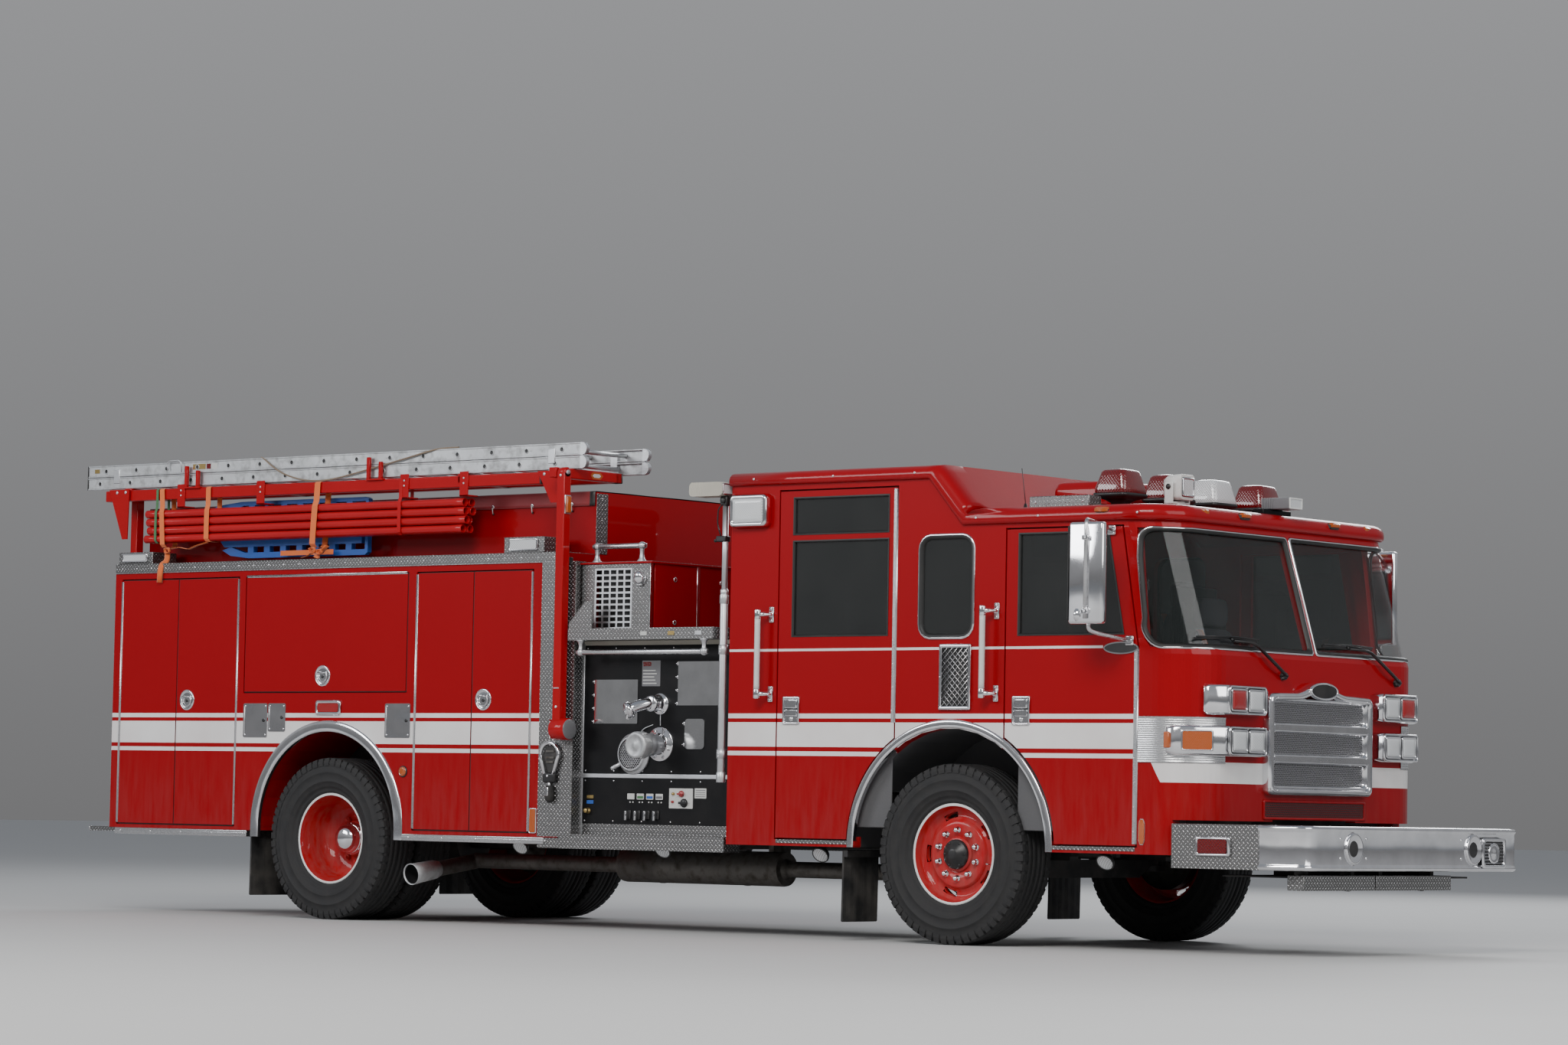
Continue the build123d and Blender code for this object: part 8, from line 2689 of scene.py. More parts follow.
    def rope(self) -> None:
        """Hangs the ladder's brown halyard in its long slack loop over the near rail."""
        points = [(-3.330, -1.150, 3.0875), (-3.290, -1.168, 3.078), (-3.200, -1.1765, 3.020),
                  (-3.080, -1.1775, 2.960), (-2.900, -1.1775, 2.915), (-2.700, -1.1775, 2.905),
                  (-2.480, -1.1770, 2.935), (-2.200, -1.1765, 2.985), (-1.950, -1.1755, 3.030),
                  (-1.750, -1.172, 3.070), (-1.640, -1.158, 3.0885), (-1.500, -1.150, 3.0880)]
        data = bpy.data.curves.new("halyard_rope", "CURVE")
        data.dimensions, data.resolution_u = "3D", 16
        spline = data.splines.new("NURBS")
        spline.points.add(len(points) - 1)
        for point, at in zip(spline.points, points):
            point.co = (*at, 1.0)
        spline.order_u, spline.use_endpoint_u = 3, True
        rope = bpy.data.objects.new("halyard_rope", data)
        bpy.context.scene.collection.objects.link(rope)
        line = rope.to_mesh()
        rope.to_mesh_clear()
        data.bevel_depth, data.bevel_resolution = 0.0055, 4
        data.materials.append(Shop.rope.material())
        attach(rope, "rack_platform")

    def build(self) -> None:
        """Makes everything that hangs on the rack."""
        self.tubes()
        self.board()
        self.straps()
        self.rope()


# Cab and roof

CAB_REAR = 0.908
ROOF_KNEES = ((2.440, 2.508), (2.690, 2.758))
DOORS = {"crew": (1.291, 2.199, 2.712), "front": (3.007, 3.953, 2.438)}
CREW_SILL = (1.300, 1.895)
FRONT_SILL = (3.345, 3.945)


@dataclass
class CabRoof:
    """The roof: raised over the crew, a ramp, and a low front, with a rolled edge all round."""

    raised: tuple[float, float] = (2.750, 2.835)
    low: tuple[float, float] = (2.468, 2.566)
    lip: float = 4.142
    half: float = 1.2570
    corner: float = 0.300

    def stations(self) -> list[tuple[Vector, Vector, float, float]]:
        """The eave from the rear right, round the front to the middle.

        Returns:
            For each station its foot, its way out, the edge's height and the shift of its top
            forward.
        """
        made = []
        (k0, t0), (k1, _) = ROOF_KNEES
        side = Vector((0.0, -1.0, 0.0))
        zl, zh = self.raised
        for x in (CAB_REAR - 0.004, 1.4, 1.9, 2.30, k0 - 0.020):
            made.append((Vector((x, -self.half, zl)), side, zh - zl, 0.0))
        for k in range(7):
            t = k / 6
            x, z = k0 + (k1 - k0) * t, zl + (self.low[0] - zl) * t
            made.append((Vector((x, -self.half, z)), side,
                         (zh - zl) + ((self.low[1] - self.low[0]) - (zh - zl)) * t, t0 - k0))
        zl, zh = self.low
        for x in (k1 + 0.030, 3.10, 3.50, self.lip - self.corner):
            made.append((Vector((x, -self.half, zl)), side, zh - zl, 0.012 if x < 2.8 else 0.0))
        for k in range(1, 11):
            a = math.pi / 2 * k / 10
            way = Vector((math.sin(a), -math.cos(a), 0.0))
            at = Vector((self.lip - self.corner, -self.half + self.corner, zl)) + way * self.corner
            made.append((at, way, zh - zl, 0.0))
        for y in (-0.70, -0.40, -0.12, 0.0):
            made.append((Vector((self.lip, y, zl)), Vector(X_AXIS), zh - zl, 0.0))
        return made

    def build(self) -> None:
        """Makes the skin, its rivets and the amber clearance lamps."""
        form = Form("cab_roof_skin", "cab", Shop.plain_red, "red_paint")
        edge = [(-0.030, 0.004), (-0.004, -0.002), (0.008, 0.040), (0.0145, 0.150), (0.0165, 0.330),
                (0.014, 0.520), (0.0055, 0.700), (-0.010, 0.850),
                (-0.032, 0.945), (-0.060, 0.985), (-0.120, 1.000), (-0.230, 1.000)]
        right = [[foot + way * out + Vector((shift * min(1.0, up), 0, tall * up)) for out, up in edge]
                 for foot, way, tall, shift in self.stations()]
        loops = right + [[Vector((p.x, -p.y, p.z)) for p in loop] for loop in reversed(right[:-1])]
        form.loft(loops, closed=False)
        inner = [loop[-1] for loop in loops]
        count = len(inner)
        verts = [form.mesh.verts.new(p) for p in inner]
        knee, foot = 5, 11
        for a, b in ((0, knee), (knee, foot)):
            for i in range(a, b):
                form.mesh.faces.new((verts[i], verts[i + 1], verts[count - 2 - i], verts[count - 1 - i]))
        form.mesh.faces.new(verts[foot:count - foot])
        back = loops[0] + loops[-1][::-1]
        form.mesh.faces.new([form.mesh.verts.new(p) for p in back])
        form.wear(Shop.chrome)
        for x, z in ((1.10, 2.800), (1.72, 2.800), (2.34, 2.800), (2.80, 2.520),
                     (3.25, 2.520), (3.95, 2.520)):
            for s in (-1, 1):
                form.bolt((x, s * (self.half + 0.0155), z - 0.012), (0, s, 0), 0.008, 0.005)
        form.wear(Shop.amber_lens)
        for x, y, turn in ((3.700, -1.262, -90), (3.700, 1.262, 90), (4.128, -0.880, -12), (4.158, -0.480, 0),
                           (4.158, 0.480, 0), (4.128, 0.880, 12)):
            self.lamp(form, x, y, turn)
        form.done(["cab_roof"], weld=True)

    def lamp(self, form: Form, x: float, y: float, turn: float) -> None:
        """Adds one low amber clearance lamp on the rolled edge.

        Args:
            form: The piece that gets it.
            x: Its station.
            y: Its place across.
            turn: The bearing of its outward face.
        """
        a = math.radians(turn)
        out = Vector((math.cos(a), math.sin(a), 0))
        along = Vector((-math.sin(a), math.cos(a), 0))
        base = Vector((x, y, 2.526))
        for grow, high, finish, depth in ((0.004, 0.000, Shop.gasket, 0.012),
                                          (0.0, 0.006, Shop.amber_lens, 0.026)):
            rows = []
            for z, half, reach in ((-0.016 - grow, 0.044 + grow, 0.5), (-0.012, 0.050 + grow, 0.95),
                                   (0.004, 0.050 + grow, 1.0), (0.014 + grow, 0.042 + grow, 0.55)):
                front = depth * reach
                edge = ((-half, -0.01), (-half * 0.85, front * 0.8), (-half * 0.4, front),
                        (half * 0.4, front),
                        (half * 0.85, front * 0.8), (half, -0.01))
                rows.append([base + along * u + out * w + Vector((0, 0, z + high)) for u, w in edge])
            form.wear(finish).loft(rows, caps=True, smooth=False)


@dataclass
class CabBack:
    """The cab's rear wall outside: red sheet with pressed ribs, and its drip edge."""

    def build(self) -> None:
        """Makes the wall's skin."""
        form = Form("cab_back_skin", "cab", Shop.plain_red, "red_paint")
        plane = facing_back(CAB_REAR, 0, 0)
        form.slab(plane, rounded((-1.176, 0.905), (1.176, 2.748), 0.030, 4), 0.0003, 0.0026, 0.001)
        for k in range(7):
            y = -0.96 + 0.32 * k
            form.slab(plane, rounded((y - 0.030, 1.00), (y + 0.030, 2.62), 0.028, 5), 0.0024,
                      0.0056, 0.0025, 2)
        form.wear(Shop.stainless).slab(plane, rounded((-1.180, 2.716), (1.180, 2.734), 0.004, 2),
                                       0.0024, 0.0100, 0.002)
        form.done()


@dataclass
class RoofGear:
    """What stands on the low roof: four beacons, a spotlight, an emitter, the cooler and a step."""

    def beacon(self, form: Form, x: float, y: float, lens: Finish) -> None:
        """Makes one tapered beacon on its flared black foot."""
        rows = ((0.044, 0.052, 2.566), (0.044, 0.052, 2.606), (0.070, 0.080, 2.624), (0.114, 0.126, 2.640),
                (0.119, 0.131, 2.650), (0.117, 0.129, 2.662))
        form.wear(Shop.black).loft([self.level(x, y, a, b, z, 0.030) for a, b, z in rows], caps=True)
        rows = ((0.108, 0.120, 2.656), (0.113, 0.125, 2.664), (0.111, 0.123, 2.690), (0.093, 0.104, 2.762),
                (0.087, 0.098, 2.786), (0.079, 0.090, 2.797), (0.060, 0.070, 2.803))
        form.wear(lens).loft([self.level(x, y, a, b, z, 0.034) for a, b, z in rows], caps=True)
        form.wear(Shop.chrome).lathe((x, y, 2.660), Z_AXIS,
                                     [(0.062, 0), (0.064, 0.03), (0.026, 0.10), (0.0, 0.104)], 20)
        for sx in (-1, 1):
            for sy in (-1, 1):
                form.wear(Shop.stainless).bolt((x + sx * 0.100, y + sy * 0.110, 2.652), Z_AXIS, 0.006, 0.006)

    @staticmethod
    def level(x: float, y: float, half_x: float, half_y: float, z: float, radius: float) -> list[Vector]:
        """A round-cornered loop at a height."""
        r = min(radius, half_x * 0.6, half_y * 0.6)
        return [Vector((u, v, z)) for u,
                v in rounded((x - half_x, y - half_y), (x + half_x, y + half_y), r, 4)]

    def spotlight(self, form: Form) -> None:
        """Makes the white spotlight on its swivel."""
        x, y, z = 3.765, -0.600, 2.690
        form.wear(Shop.white_plastic).lathe((x, y, 2.566), Z_AXIS,
                                            [(0.070, 0), (0.070, 0.014), (0.052, 0.022), (0.044, 0.050),
                                             (0.0, 0.052)], 28)
        for s in (-1, 1):
            form.box((x - 0.030, y + s * 0.080, 2.600), (x + 0.030, y + s * 0.092, 2.725), 0.005, 2)
            form.wear(Shop.black).lathe((x, y + s * 0.092, 2.700), (0, s, 0),
                                        [(0.016, 0), (0.016, 0.005), (0, 0.006)], 16)
            form.wear(Shop.white_plastic)
        form.box((x - 0.030, y - 0.092, 2.600), (x + 0.030, y + 0.092, 2.612), 0.004, 2)
        plane = facing_ahead(x, y, z + 0.008)
        rows = ((-0.070, 0.030), (-0.062, 0.052), (-0.030, 0.068), (0.020, 0.074),
                (0.066, 0.076), (0.074, 0.072))
        form.shell(plane, ((centred(h, h, h * 0.35, 5), w) for w, h in rows), caps=True)
        form.wear(Shop.black).slab(plane, centred(0.062, 0.058, 0.012), 0.070, 0.0752)
        form.framed(plane, centred(0.060, 0.056, 0.012), centred(0.050, 0.046, 0.010), (0.074, 0.080, 0.002),
                    Shop.clear_lens, (0.0745, 0.0775, 0.001))

    def build(self) -> None:
        """Makes all of it."""
        form = Form("roof_gear", "cab", Shop.plain_red, "red_lens")
        for y, lens in ((-0.750, Shop.deep_red_lens), (-0.250, Shop.deep_red_lens), (0.200, Shop.clear_lens),
                        (0.700, Shop.deep_red_lens)):
            self.beacon(form, 3.465, y, lens)
        form.wear(Shop.black).box((3.360, -0.905, 2.568), (3.400, 0.855, 2.600), 0.004)
        form.wear(Shop.plain_red)
        rows = ((0.000, 0.010), (0.010, 0.000), (0.150, 0.000), (0.190, 0.012), (0.203, 0.040))
        form.loft([[Vector((u, v, 2.566 + z)) for u,
                    v in rounded((2.780 + i, -0.480 + i), (3.245 - i, 0.480 - i), 0.035, 5)] for z,
                   i in rows], caps=True)
        for k in range(9):
            form.wear(Shop.black).box((2.776, -0.30 + k * 0.070, 2.612),
                                      (2.782, -0.262 + k * 0.070, 2.716), 0.001)
        for s in (-1, 1):
            for x in (2.86, 3.16):
                form.wear(Shop.stainless).bolt((x, s * 0.479, 2.600), (0, s, 0), 0.008, 0.005)
        for s in (-1, 1):
            form.wear(Shop.tread).box((3.045, s * 1.080, 2.566), (3.475, s * 0.955, 2.636), 0.006, 2)
            for x in (3.09, 3.43):
                form.wear(Shop.stainless).bolt((x, s * 1.080, 2.600), (0, s, 0), 0.007, 0.005)
        self.spotlight(form)
        form.wear(Shop.panel_black).box((3.985, -0.150, 2.560), (4.070, 0.150, 2.596), 0.006, 2)
        form.wear(Shop.plate_grey).box((4.000, -0.069, 2.596), (4.196, 0.069, 2.664), 0.006, 2)
        for k in range(5):
            form.box((4.012 + 0.016 * k, -0.072, 2.600), (4.018 + 0.016 * k, 0.072, 2.662), 0.001)
        plane = facing_ahead(4.196, 0, 2.630)
        form.framed(plane, centred(0.069, 0.033, 0.006, 3), centred(0.058, 0.024, 0.005, 3),
                    (0.0, 0.006, 0.001),
                    Shop.clear_lens, (0.0, 0.003), Shop.white_plastic)
        form.wear(Shop.red).box((3.600, 0.640, 2.600), (3.690, 0.760, 2.612), 0.002)
        form.lathe((3.600, 0.700, 2.628), X_AXIS,
                   [(r, 0.012 * k + d) for k in range(6) for r,
                    d in ((0.040, 0.0), (0.046, 0.003), (0.046, 0.008), (0.040, 0.011))] + [(0, 0.074)], 24)
        form.wear(Shop.black).lathe((2.960, -1.000, 2.566), Z_AXIS,
                                    [(0.024, 0), (0.022, 0.010), (0.012, 0.016), (0.008, 0.036),
                                     (0.0, 0.038)], 16)
        form.rod((2.960, -1.000, 2.600), (2.930, -1.000, 2.812), 0.0022, 6)
        form.done(["roof_beacons"])


@dataclass
class CabFlank:
    """One flank of the cab: arch moulding, grab rails, vent, window, sills, reflector and scene lamp."""

    side: Side

    def grab_rail(self, form: Form, x: float) -> None:
        """Adds one upright rail: a pale ribbed grip between bright stanchions."""
        s, y, low, high = self.side.value, 1.318, 1.452, 1.983
        form.wear(Shop.chrome)
        for z in (low + 0.024, high - 0.024):
            form.rod((x, s * y, z - 0.030), (x, s * y, z + 0.030), 0.0195, 20, 0.006)
            foot = ((0, y), (0.030, y - 0.010), (0.052, HALF_WIDTH + 0.018), (0.054, HALF_WIDTH + 0.001))
            form.tube([(x + dx, s * v, z) for dx, v in foot], 0.0135, 12, bend=0.02)
            form.box((x + 0.036, s * HALF_WIDTH, z - 0.048),
                     (x + 0.072, s * (HALF_WIDTH + 0.010), z + 0.048), 0.005, 2)
            for dz in (-0.036, 0.036):
                form.bolt((x + 0.054, s * (HALF_WIDTH + 0.010), z + dz), (0, s, 0), 0.007, 0.005)
        form.wear(Shop.white_plastic)
        count = 14
        loops = []
        for k in range(count + 1):
            z = low + 0.052 + (high - low - 0.104) * k / count
            loops.append([Vector((x + math.cos(t) * r, s * y + math.sin(t) * r, z)) for i in range(28)
                          for t, r in ((math.tau * i / 28, 0.0178 if i % 2 else 0.0162),)])
        form.loft(loops, caps=True)

    def vent(self, form: Form) -> None:
        """Adds the bright framed grille of crossed bars behind the front arch's top."""
        s = self.side.value
        plane = flank(self.side, HALF_WIDTH)
        outer, inner = plate(self.side, 2.534, 2.766, 1.381, 1.767, 0.008), plate(self.side, 2.552, 2.748,
            1.402, 1.746, 0.004)
        # Painted shade: a black sheet behind the crossed bars.
        form.wear(Shop.black).slab(plane, inner, 0.0005, 0.0025)
        form.wear(Shop.chrome).ring(plane, outer, inner, 0.0, 0.016, 0.003)
        low_u, high_u = span(self.side, 2.552, 2.748)
        pitch, z0, z1 = 0.038, 1.402, 1.746
        wide = high_u - low_u
        k = -int((z1 - z0) / pitch) - 1
        while k * pitch < wide + (z1 - z0):
            for slope in (1, -1):
                begin = low_u + k * pitch if slope > 0 else high_u - k * pitch
                t0 = max(0.0, (low_u - begin) / slope if slope > 0 else (begin - high_u))
                t1 = min(z1 - z0, (high_u - begin) if slope > 0 else (begin - low_u))
                if t1 - t0 > 0.012:
                    a = plane.at(begin + slope * t0, z0 + t0, 0.008 + 0.001 * slope)
                    b = plane.at(begin + slope * t1, z0 + t1, 0.008 + 0.001 * slope)
                    form.wear(Shop.stainless).tube([a, b], 0.0022, 4, flat=1.9)
            k += 1
        for x in (2.543, 2.757):
            for z in (1.391, 1.574, 1.757):
                form.wear(Shop.chrome).bolt((x, s * (HALF_WIDTH + 0.017), z), (0, s, 0), 0.005, 0.003)

    def oval(self, form: Form) -> None:
        """Adds the fixed window's black gasket with its bright bead."""
        plane = flank(self.side, HALF_WIDTH)

        def edge(grow: float) -> list[Flat]:
            """The window's outline, let out by an amount."""
            return plate(self.side, 2.373 - grow, 2.769 + grow, 1.808 - grow, 2.410 + grow, 0.080 + grow)

        for finish, part in (
                (Shop.chrome, ((0.012, 0.0005), (0.012, 0.006), (0.004, 0.009), (0.000, 0.0085))),
                (Shop.gasket, ((0.000, 0.0085), (-0.005, 0.0095), (-0.014, 0.006), (-0.022, -0.006),
                               (-0.024, -0.0135)))):
            form.wear(finish).shell(plane, ((edge(grow), out) for grow, out in part))
        form.wear(Shop.tinted).slab(plane, plate(self.side, 2.390, 2.752, 1.825, 2.393, 0.070),
                                    -0.0135, -0.0120)

    def build(self) -> None:
        """Makes the flank's fittings."""
        s, word = self.side.value, self.side.word
        form = Form(f"{word}_cab_trim", "cab", Shop.chrome, "chrome")
        arch_ring(form, self.side, 2.610, 0.567, 0.758, 0.560)
        for x in (1.188, 2.893):
            self.grab_rail(form, x)
        self.vent(form)
        self.oval(form)
        form.wear(Shop.tread)
        for x0, x1 in (CREW_SILL, FRONT_SILL):
            form.box((x0, s * (HALF_WIDTH - 0.060), 0.574), (x1, s * (HALF_WIDTH + 0.004), 0.598), 0.003)
        plane = flank(self.side, HALF_WIDTH)
        reflector = [(3.992 + u, z) for u, z in (
            (-0.018, 0.640), (-0.008, 0.617), (0.008, 0.617), (0.018, 0.640), (0.018, 0.734), (0.008, 0.757),
            (-0.008, 0.757), (-0.018, 0.734))]
        if self.side is Side.LEFT:
            reflector = [(-u, z) for u, z in reflector][::-1]
        form.wear(Shop.stainless).slab(plane, grown(reflector, 0.004), 0.0, 0.003, 0.001)
        form.wear(Shop.amber_lens).slab(plane, reflector, 0.002, 0.007, 0.002, 2)

        def case(inset: float) -> list[Flat]:
            """The scene lamp's outline drawn in by an inset."""
            return plate(self.side, 0.929 + inset, 1.219 - inset, 2.498 + inset, 2.693 - inset,
                         max(0.008, 0.030 - inset * 0.6))

        for finish, part in (
                (Shop.red, ((-0.006, 0.0), (-0.006, 0.022), (0.0, 0.030))),
                (Shop.chrome, ((0.0, 0.030), (0.0, 0.048), (0.008, 0.056), (0.018, 0.058), (0.024, 0.050))),
                (Shop.clear_lens, ((0.024, 0.050), (0.030, 0.055), (0.050, 0.057)))):
            rows = ((case(inset), out) for inset, out in part)
            form.wear(finish).shell(plane, rows, caps=finish is Shop.clear_lens)
        form.done(["cab_trim"] if self.side is Side.RIGHT else [])


@dataclass
class CabDoor:
    """One cab door's fittings: window frame, hinge, latch, and the trim inside."""

    side: Side
    kind: str

    def panes(self) -> list[list[Flat]]:
        """The outlines of the door's glass, as (x, z), anticlockwise seen from the right."""
        if self.kind == "crew":
            return [[(1.401, low), (2.134, low), (2.134, high), (1.401, high)] for low,
                    high in ((1.825, 2.403), (2.443, 2.666))]
        return [[(3.099, 1.815), (3.850, 1.815), (3.736, 2.408), (3.099, 2.408)]]

    def build(self) -> None:
        """Makes the fittings that ride on the door."""
        s, word = self.side.value, self.side.word
        rear, front, top = DOORS[self.kind]
        form = Form(f"{word}_{self.kind}_door_fittings", f"{word}_{self.kind}_cab_door", Shop.gasket,
                    "black_plastic")
        plane = flank(self.side, HALF_WIDTH)
        for outline in self.panes():
            shape = outline if self.side is Side.RIGHT else [(-u, v) for u, v in outline][::-1]
            seal = ((0.004, 0.0005), (0.004, 0.003), (-0.004, 0.0035), (-0.010, -0.004), (-0.010, -0.014))
            form.wear(Shop.gasket).shell(plane,
                                         ((grown(shape, grow), out) for grow, out in seal), smooth=False)
        hinge_top = top - 0.012 if self.kind == "crew" else 1.730
        hinge_low = 1.305 if self.kind == "crew" else 0.616
        form.wear(Shop.stainless).rod((front, s * HALF_WIDTH, hinge_low),
                                      (front, s * HALF_WIDTH, hinge_top), 0.0065, 12)
        form.box((front - 0.028, s * HALF_WIDTH, hinge_low),
                 (front - 0.004, s * (HALF_WIDTH + 0.002), hinge_top), 0.0008)
        z = hinge_low + 0.07
        while z < hinge_top - 0.03:
            form.wear(Shop.chrome).bolt((front - 0.021, s * (HALF_WIDTH + 0.002), z),
                                        (0, s, 0), 0.0045, 0.002)
            z += 0.14
        self.latch(form, rear + (0.115 if self.kind == "crew" else 0.124), 1.377)
        if self.kind == "front":
            cx, cz = 3.834, 1.735
            oval = [(plane_u(self.side, cx) + 0.122 * math.cos(t),
                     cz + 0.036 * math.sin(t)) for t in bearings(36)]
            form.wear(Shop.chrome).slab(plane, oval, 0.0, 0.006, 0.002, 2)
            form.wear(Shop.black).slab(plane, grown(oval, -0.008), 0.004, 0.0068, 0.001)
        inside = HALF_WIDTH - 0.065
        form.wear(Shop.grey)
        form.box((rear + 0.060, s * (inside - 0.006), 0.680),
                 (front - 0.060, s * (inside + 0.002), 1.740), 0.004)
        if self.kind == "front":
            form.box((rear + 0.10, s * (inside - 0.050), 1.345),
                     (front - 0.30, s * (inside - 0.004), 1.395), 0.014, 3)
        form.wear(Shop.stainless).tube([(rear + 0.14, s * (inside - 0.006), 1.520),
                                        (rear + 0.14, s * (inside - 0.045), 1.520),
                                        (rear + 0.42, s * (inside - 0.045), 1.470),
                                        (rear + 0.42, s * (inside - 0.006), 1.470)], 0.011, 10, bend=0.03)
        form.done()

    def latch(self, form: Form, x: float, z: float) -> None:
        """Adds the bright recessed paddle latch at a place."""
        s = self.side.value
        plane = flank(self.side, HALF_WIDTH)
        low_u, high_u = span(self.side, x - 0.064, x + 0.064)
        outer, inner = rounded((low_u, z - 0.084), (high_u, z + 0.084), 0.010,
                               4), rounded((low_u + 0.012, z - 0.072), (high_u - 0.012, z + 0.072), 0.006, 4)
        form.wear(Shop.chrome).ring(plane, outer, inner, 0.0, 0.010, 0.002)
        form.slab(plane, inner, 0.0005, 0.002)
        form.box((x - 0.046, s * (HALF_WIDTH + 0.001), z + 0.012),
                 (x + 0.046, s * (HALF_WIDTH + 0.013), z + 0.066), 0.006, 3)
        form.box((x - 0.046, s * (HALF_WIDTH + 0.001), z - 0.034),
                 (x + 0.046, s * (HALF_WIDTH + 0.008), z + 0.004), 0.004, 2)
        # Painted shade: a thin black strip in the gap between the paddle and the lower plate.
        form.wear(Shop.black).box((x - 0.048, s * (HALF_WIDTH + 0.001), z + 0.003),
                                  (x + 0.048, s * (HALF_WIDTH + 0.004), z + 0.013), 0.0)
        form.wear(Shop.stainless).lathe((x, s * (HALF_WIDTH + 0.002), z - 0.053), (0, s, 0),
                                        [(0.012, 0), (0.012, 0.006), (0.009, 0.007), (0, 0.007)], 18)


def plane_u(side: Side, x: float) -> float:
    """A station as a first coordinate on that side's flank."""
    return x if side is Side.RIGHT else -x


@dataclass
class Mirror:
    """One tall mirror: a bright case with its glass, the two bent arms and the feet on the door."""

    side: Side

    def build(self) -> None:
        """Makes the mirror, riding on the front door."""
        s, word = self.side.value, self.side.word
        form = Form(f"{word}_mirror_dressed", f"{word}_front_cab_door", Shop.chrome, "chrome")
        low, high = 1.858, 2.438
        section = rounded((3.694, 1.5305), (3.932, 1.5845), 0.018, 4)
        rows = ((low, 0.014), (low + 0.006, 0.004), (low + 0.016, 0.0), (high - 0.016, 0.0),
                (high - 0.006, 0.004), (high, 0.014))
        form.loft([[Vector((u, s * v, z)) for u, v in grown(section, -inset)] for z, inset in rows],
                  caps=True)
        rear = facing_back(3.692, s * 1.5575, (low + high) / 2)
        form.wear(Shop.gasket).slab(rear, centred(0.025, 0.270, 0.008, 3), -0.004, 0.002, 0.001)
        form.wear(Shop.mirror).slab(rear, centred(0.021, 0.264, 0.006, 3), 0.0, 0.0032)
        form.wear(Shop.stainless)
        top, bottom = 2.452, 1.826
        x = 3.823
        lower = ((0, 1.5575, low + 0.02), (0, 1.5575, bottom), (0.02, 1.50, bottom - 0.018),
                 (0.06, 1.36, bottom - 0.040),
                 (0.075, HALF_WIDTH + 0.012, bottom - 0.050))
        upper = ((0, 1.592, low + 0.03), (0, 1.592, high - 0.06), (-0.006, 1.580, top), (-0.05, 1.48, top),
                 (-0.058, 1.36, top - 0.014), (-0.060, HALF_WIDTH + 0.012, 2.412))
        for arm in (lower, upper):
            form.tube([(x + dx, s * y, z) for dx, y, z in arm], 0.0125, 12, bend=0.05)
        for fx, fz in ((x + 0.075, bottom - 0.050), (x - 0.060, 2.412)):
            form.wear(Shop.chrome).box((fx - 0.028, s * (HALF_WIDTH + 0.001), fz - 0.028),
                                       (fx + 0.028, s * (HALF_WIDTH + 0.018), fz + 0.028), 0.006, 2)
            for dz in (-0.018, 0.018):
                form.bolt((fx + 0.018, s * (HALF_WIDTH + 0.018), fz + dz), (0, s, 0), 0.005, 0.004)
        for z in (low + 0.070, high - 0.090):
            form.wear(Shop.chrome).box((x - 0.022, s * 1.583, z - 0.014),
                                       (x + 0.022, s * 1.606, z + 0.014), 0.005, 2)
            form.bolt((x, s * 1.606, z), (0, s, 0), 0.007, 0.005)
        form.wear(Shop.chrome).lathe((3.760, s * 1.5575, low + 0.052), (-1, 0, 0),
                                     [(0.0, -0.03), (0.030, -0.026), (0.044, -0.008), (0.046, 0.006),
                                      (0.042, 0.012), (0.0, 0.018)], 24)
        form.done([f"{word}_mirror"])


# Cover, inside and underneath


def pillow(form: Form, middle: Point, half: Point, pinch: float = 0.05, turn: float = 0.0,
           crown: float = 0.0) -> None:
    """Adds a stuffed pad: a closed round-edged form whose sides pull in between its corners.

    Args:
        form: The piece that gets it.
        middle: Its middle.
        half: Its half sizes.
        pinch: How far its sides pull in at their middles, as a share of its size.
        turn: How far it leans, in degrees about Y.
        crown: How much its faces stand up in the middle.
    """
    a, b, c = half
    rows, round_count, power = 14, 36, 0.30
    lean = Matrix.Rotation(math.radians(turn), 3, "Y")

    def sweep(t: float, wave: Callable[[float], float], p: float) -> float:
        """A circle's coordinate squared off."""
        value = wave(t)
        return math.copysign(abs(value) ** p, value)

    loops = []
    for i in range(1, rows):
        lat = -math.pi / 2 + math.pi * i / rows
        ring = []
        for k in range(round_count):
            lon = math.tau * k / round_count
            flat = sweep(lat, math.cos, power)
            u, v, w = flat * sweep(lon, math.cos, power), flat * sweep(lon, math.sin,
                power), sweep(lat, math.sin, 0.55)
            u2, v2 = u * (1 - pinch * (1 - v * v)), v * (1 - pinch * (1 - u * u))
            w *= 1 + crown * (1 - u * u) * (1 - v * v)
            ring.append(Vector(middle) + lean @ Vector((a * u2, b * v2, c * w)))
        loops.append(ring)
    form.loft(loops, caps=True)


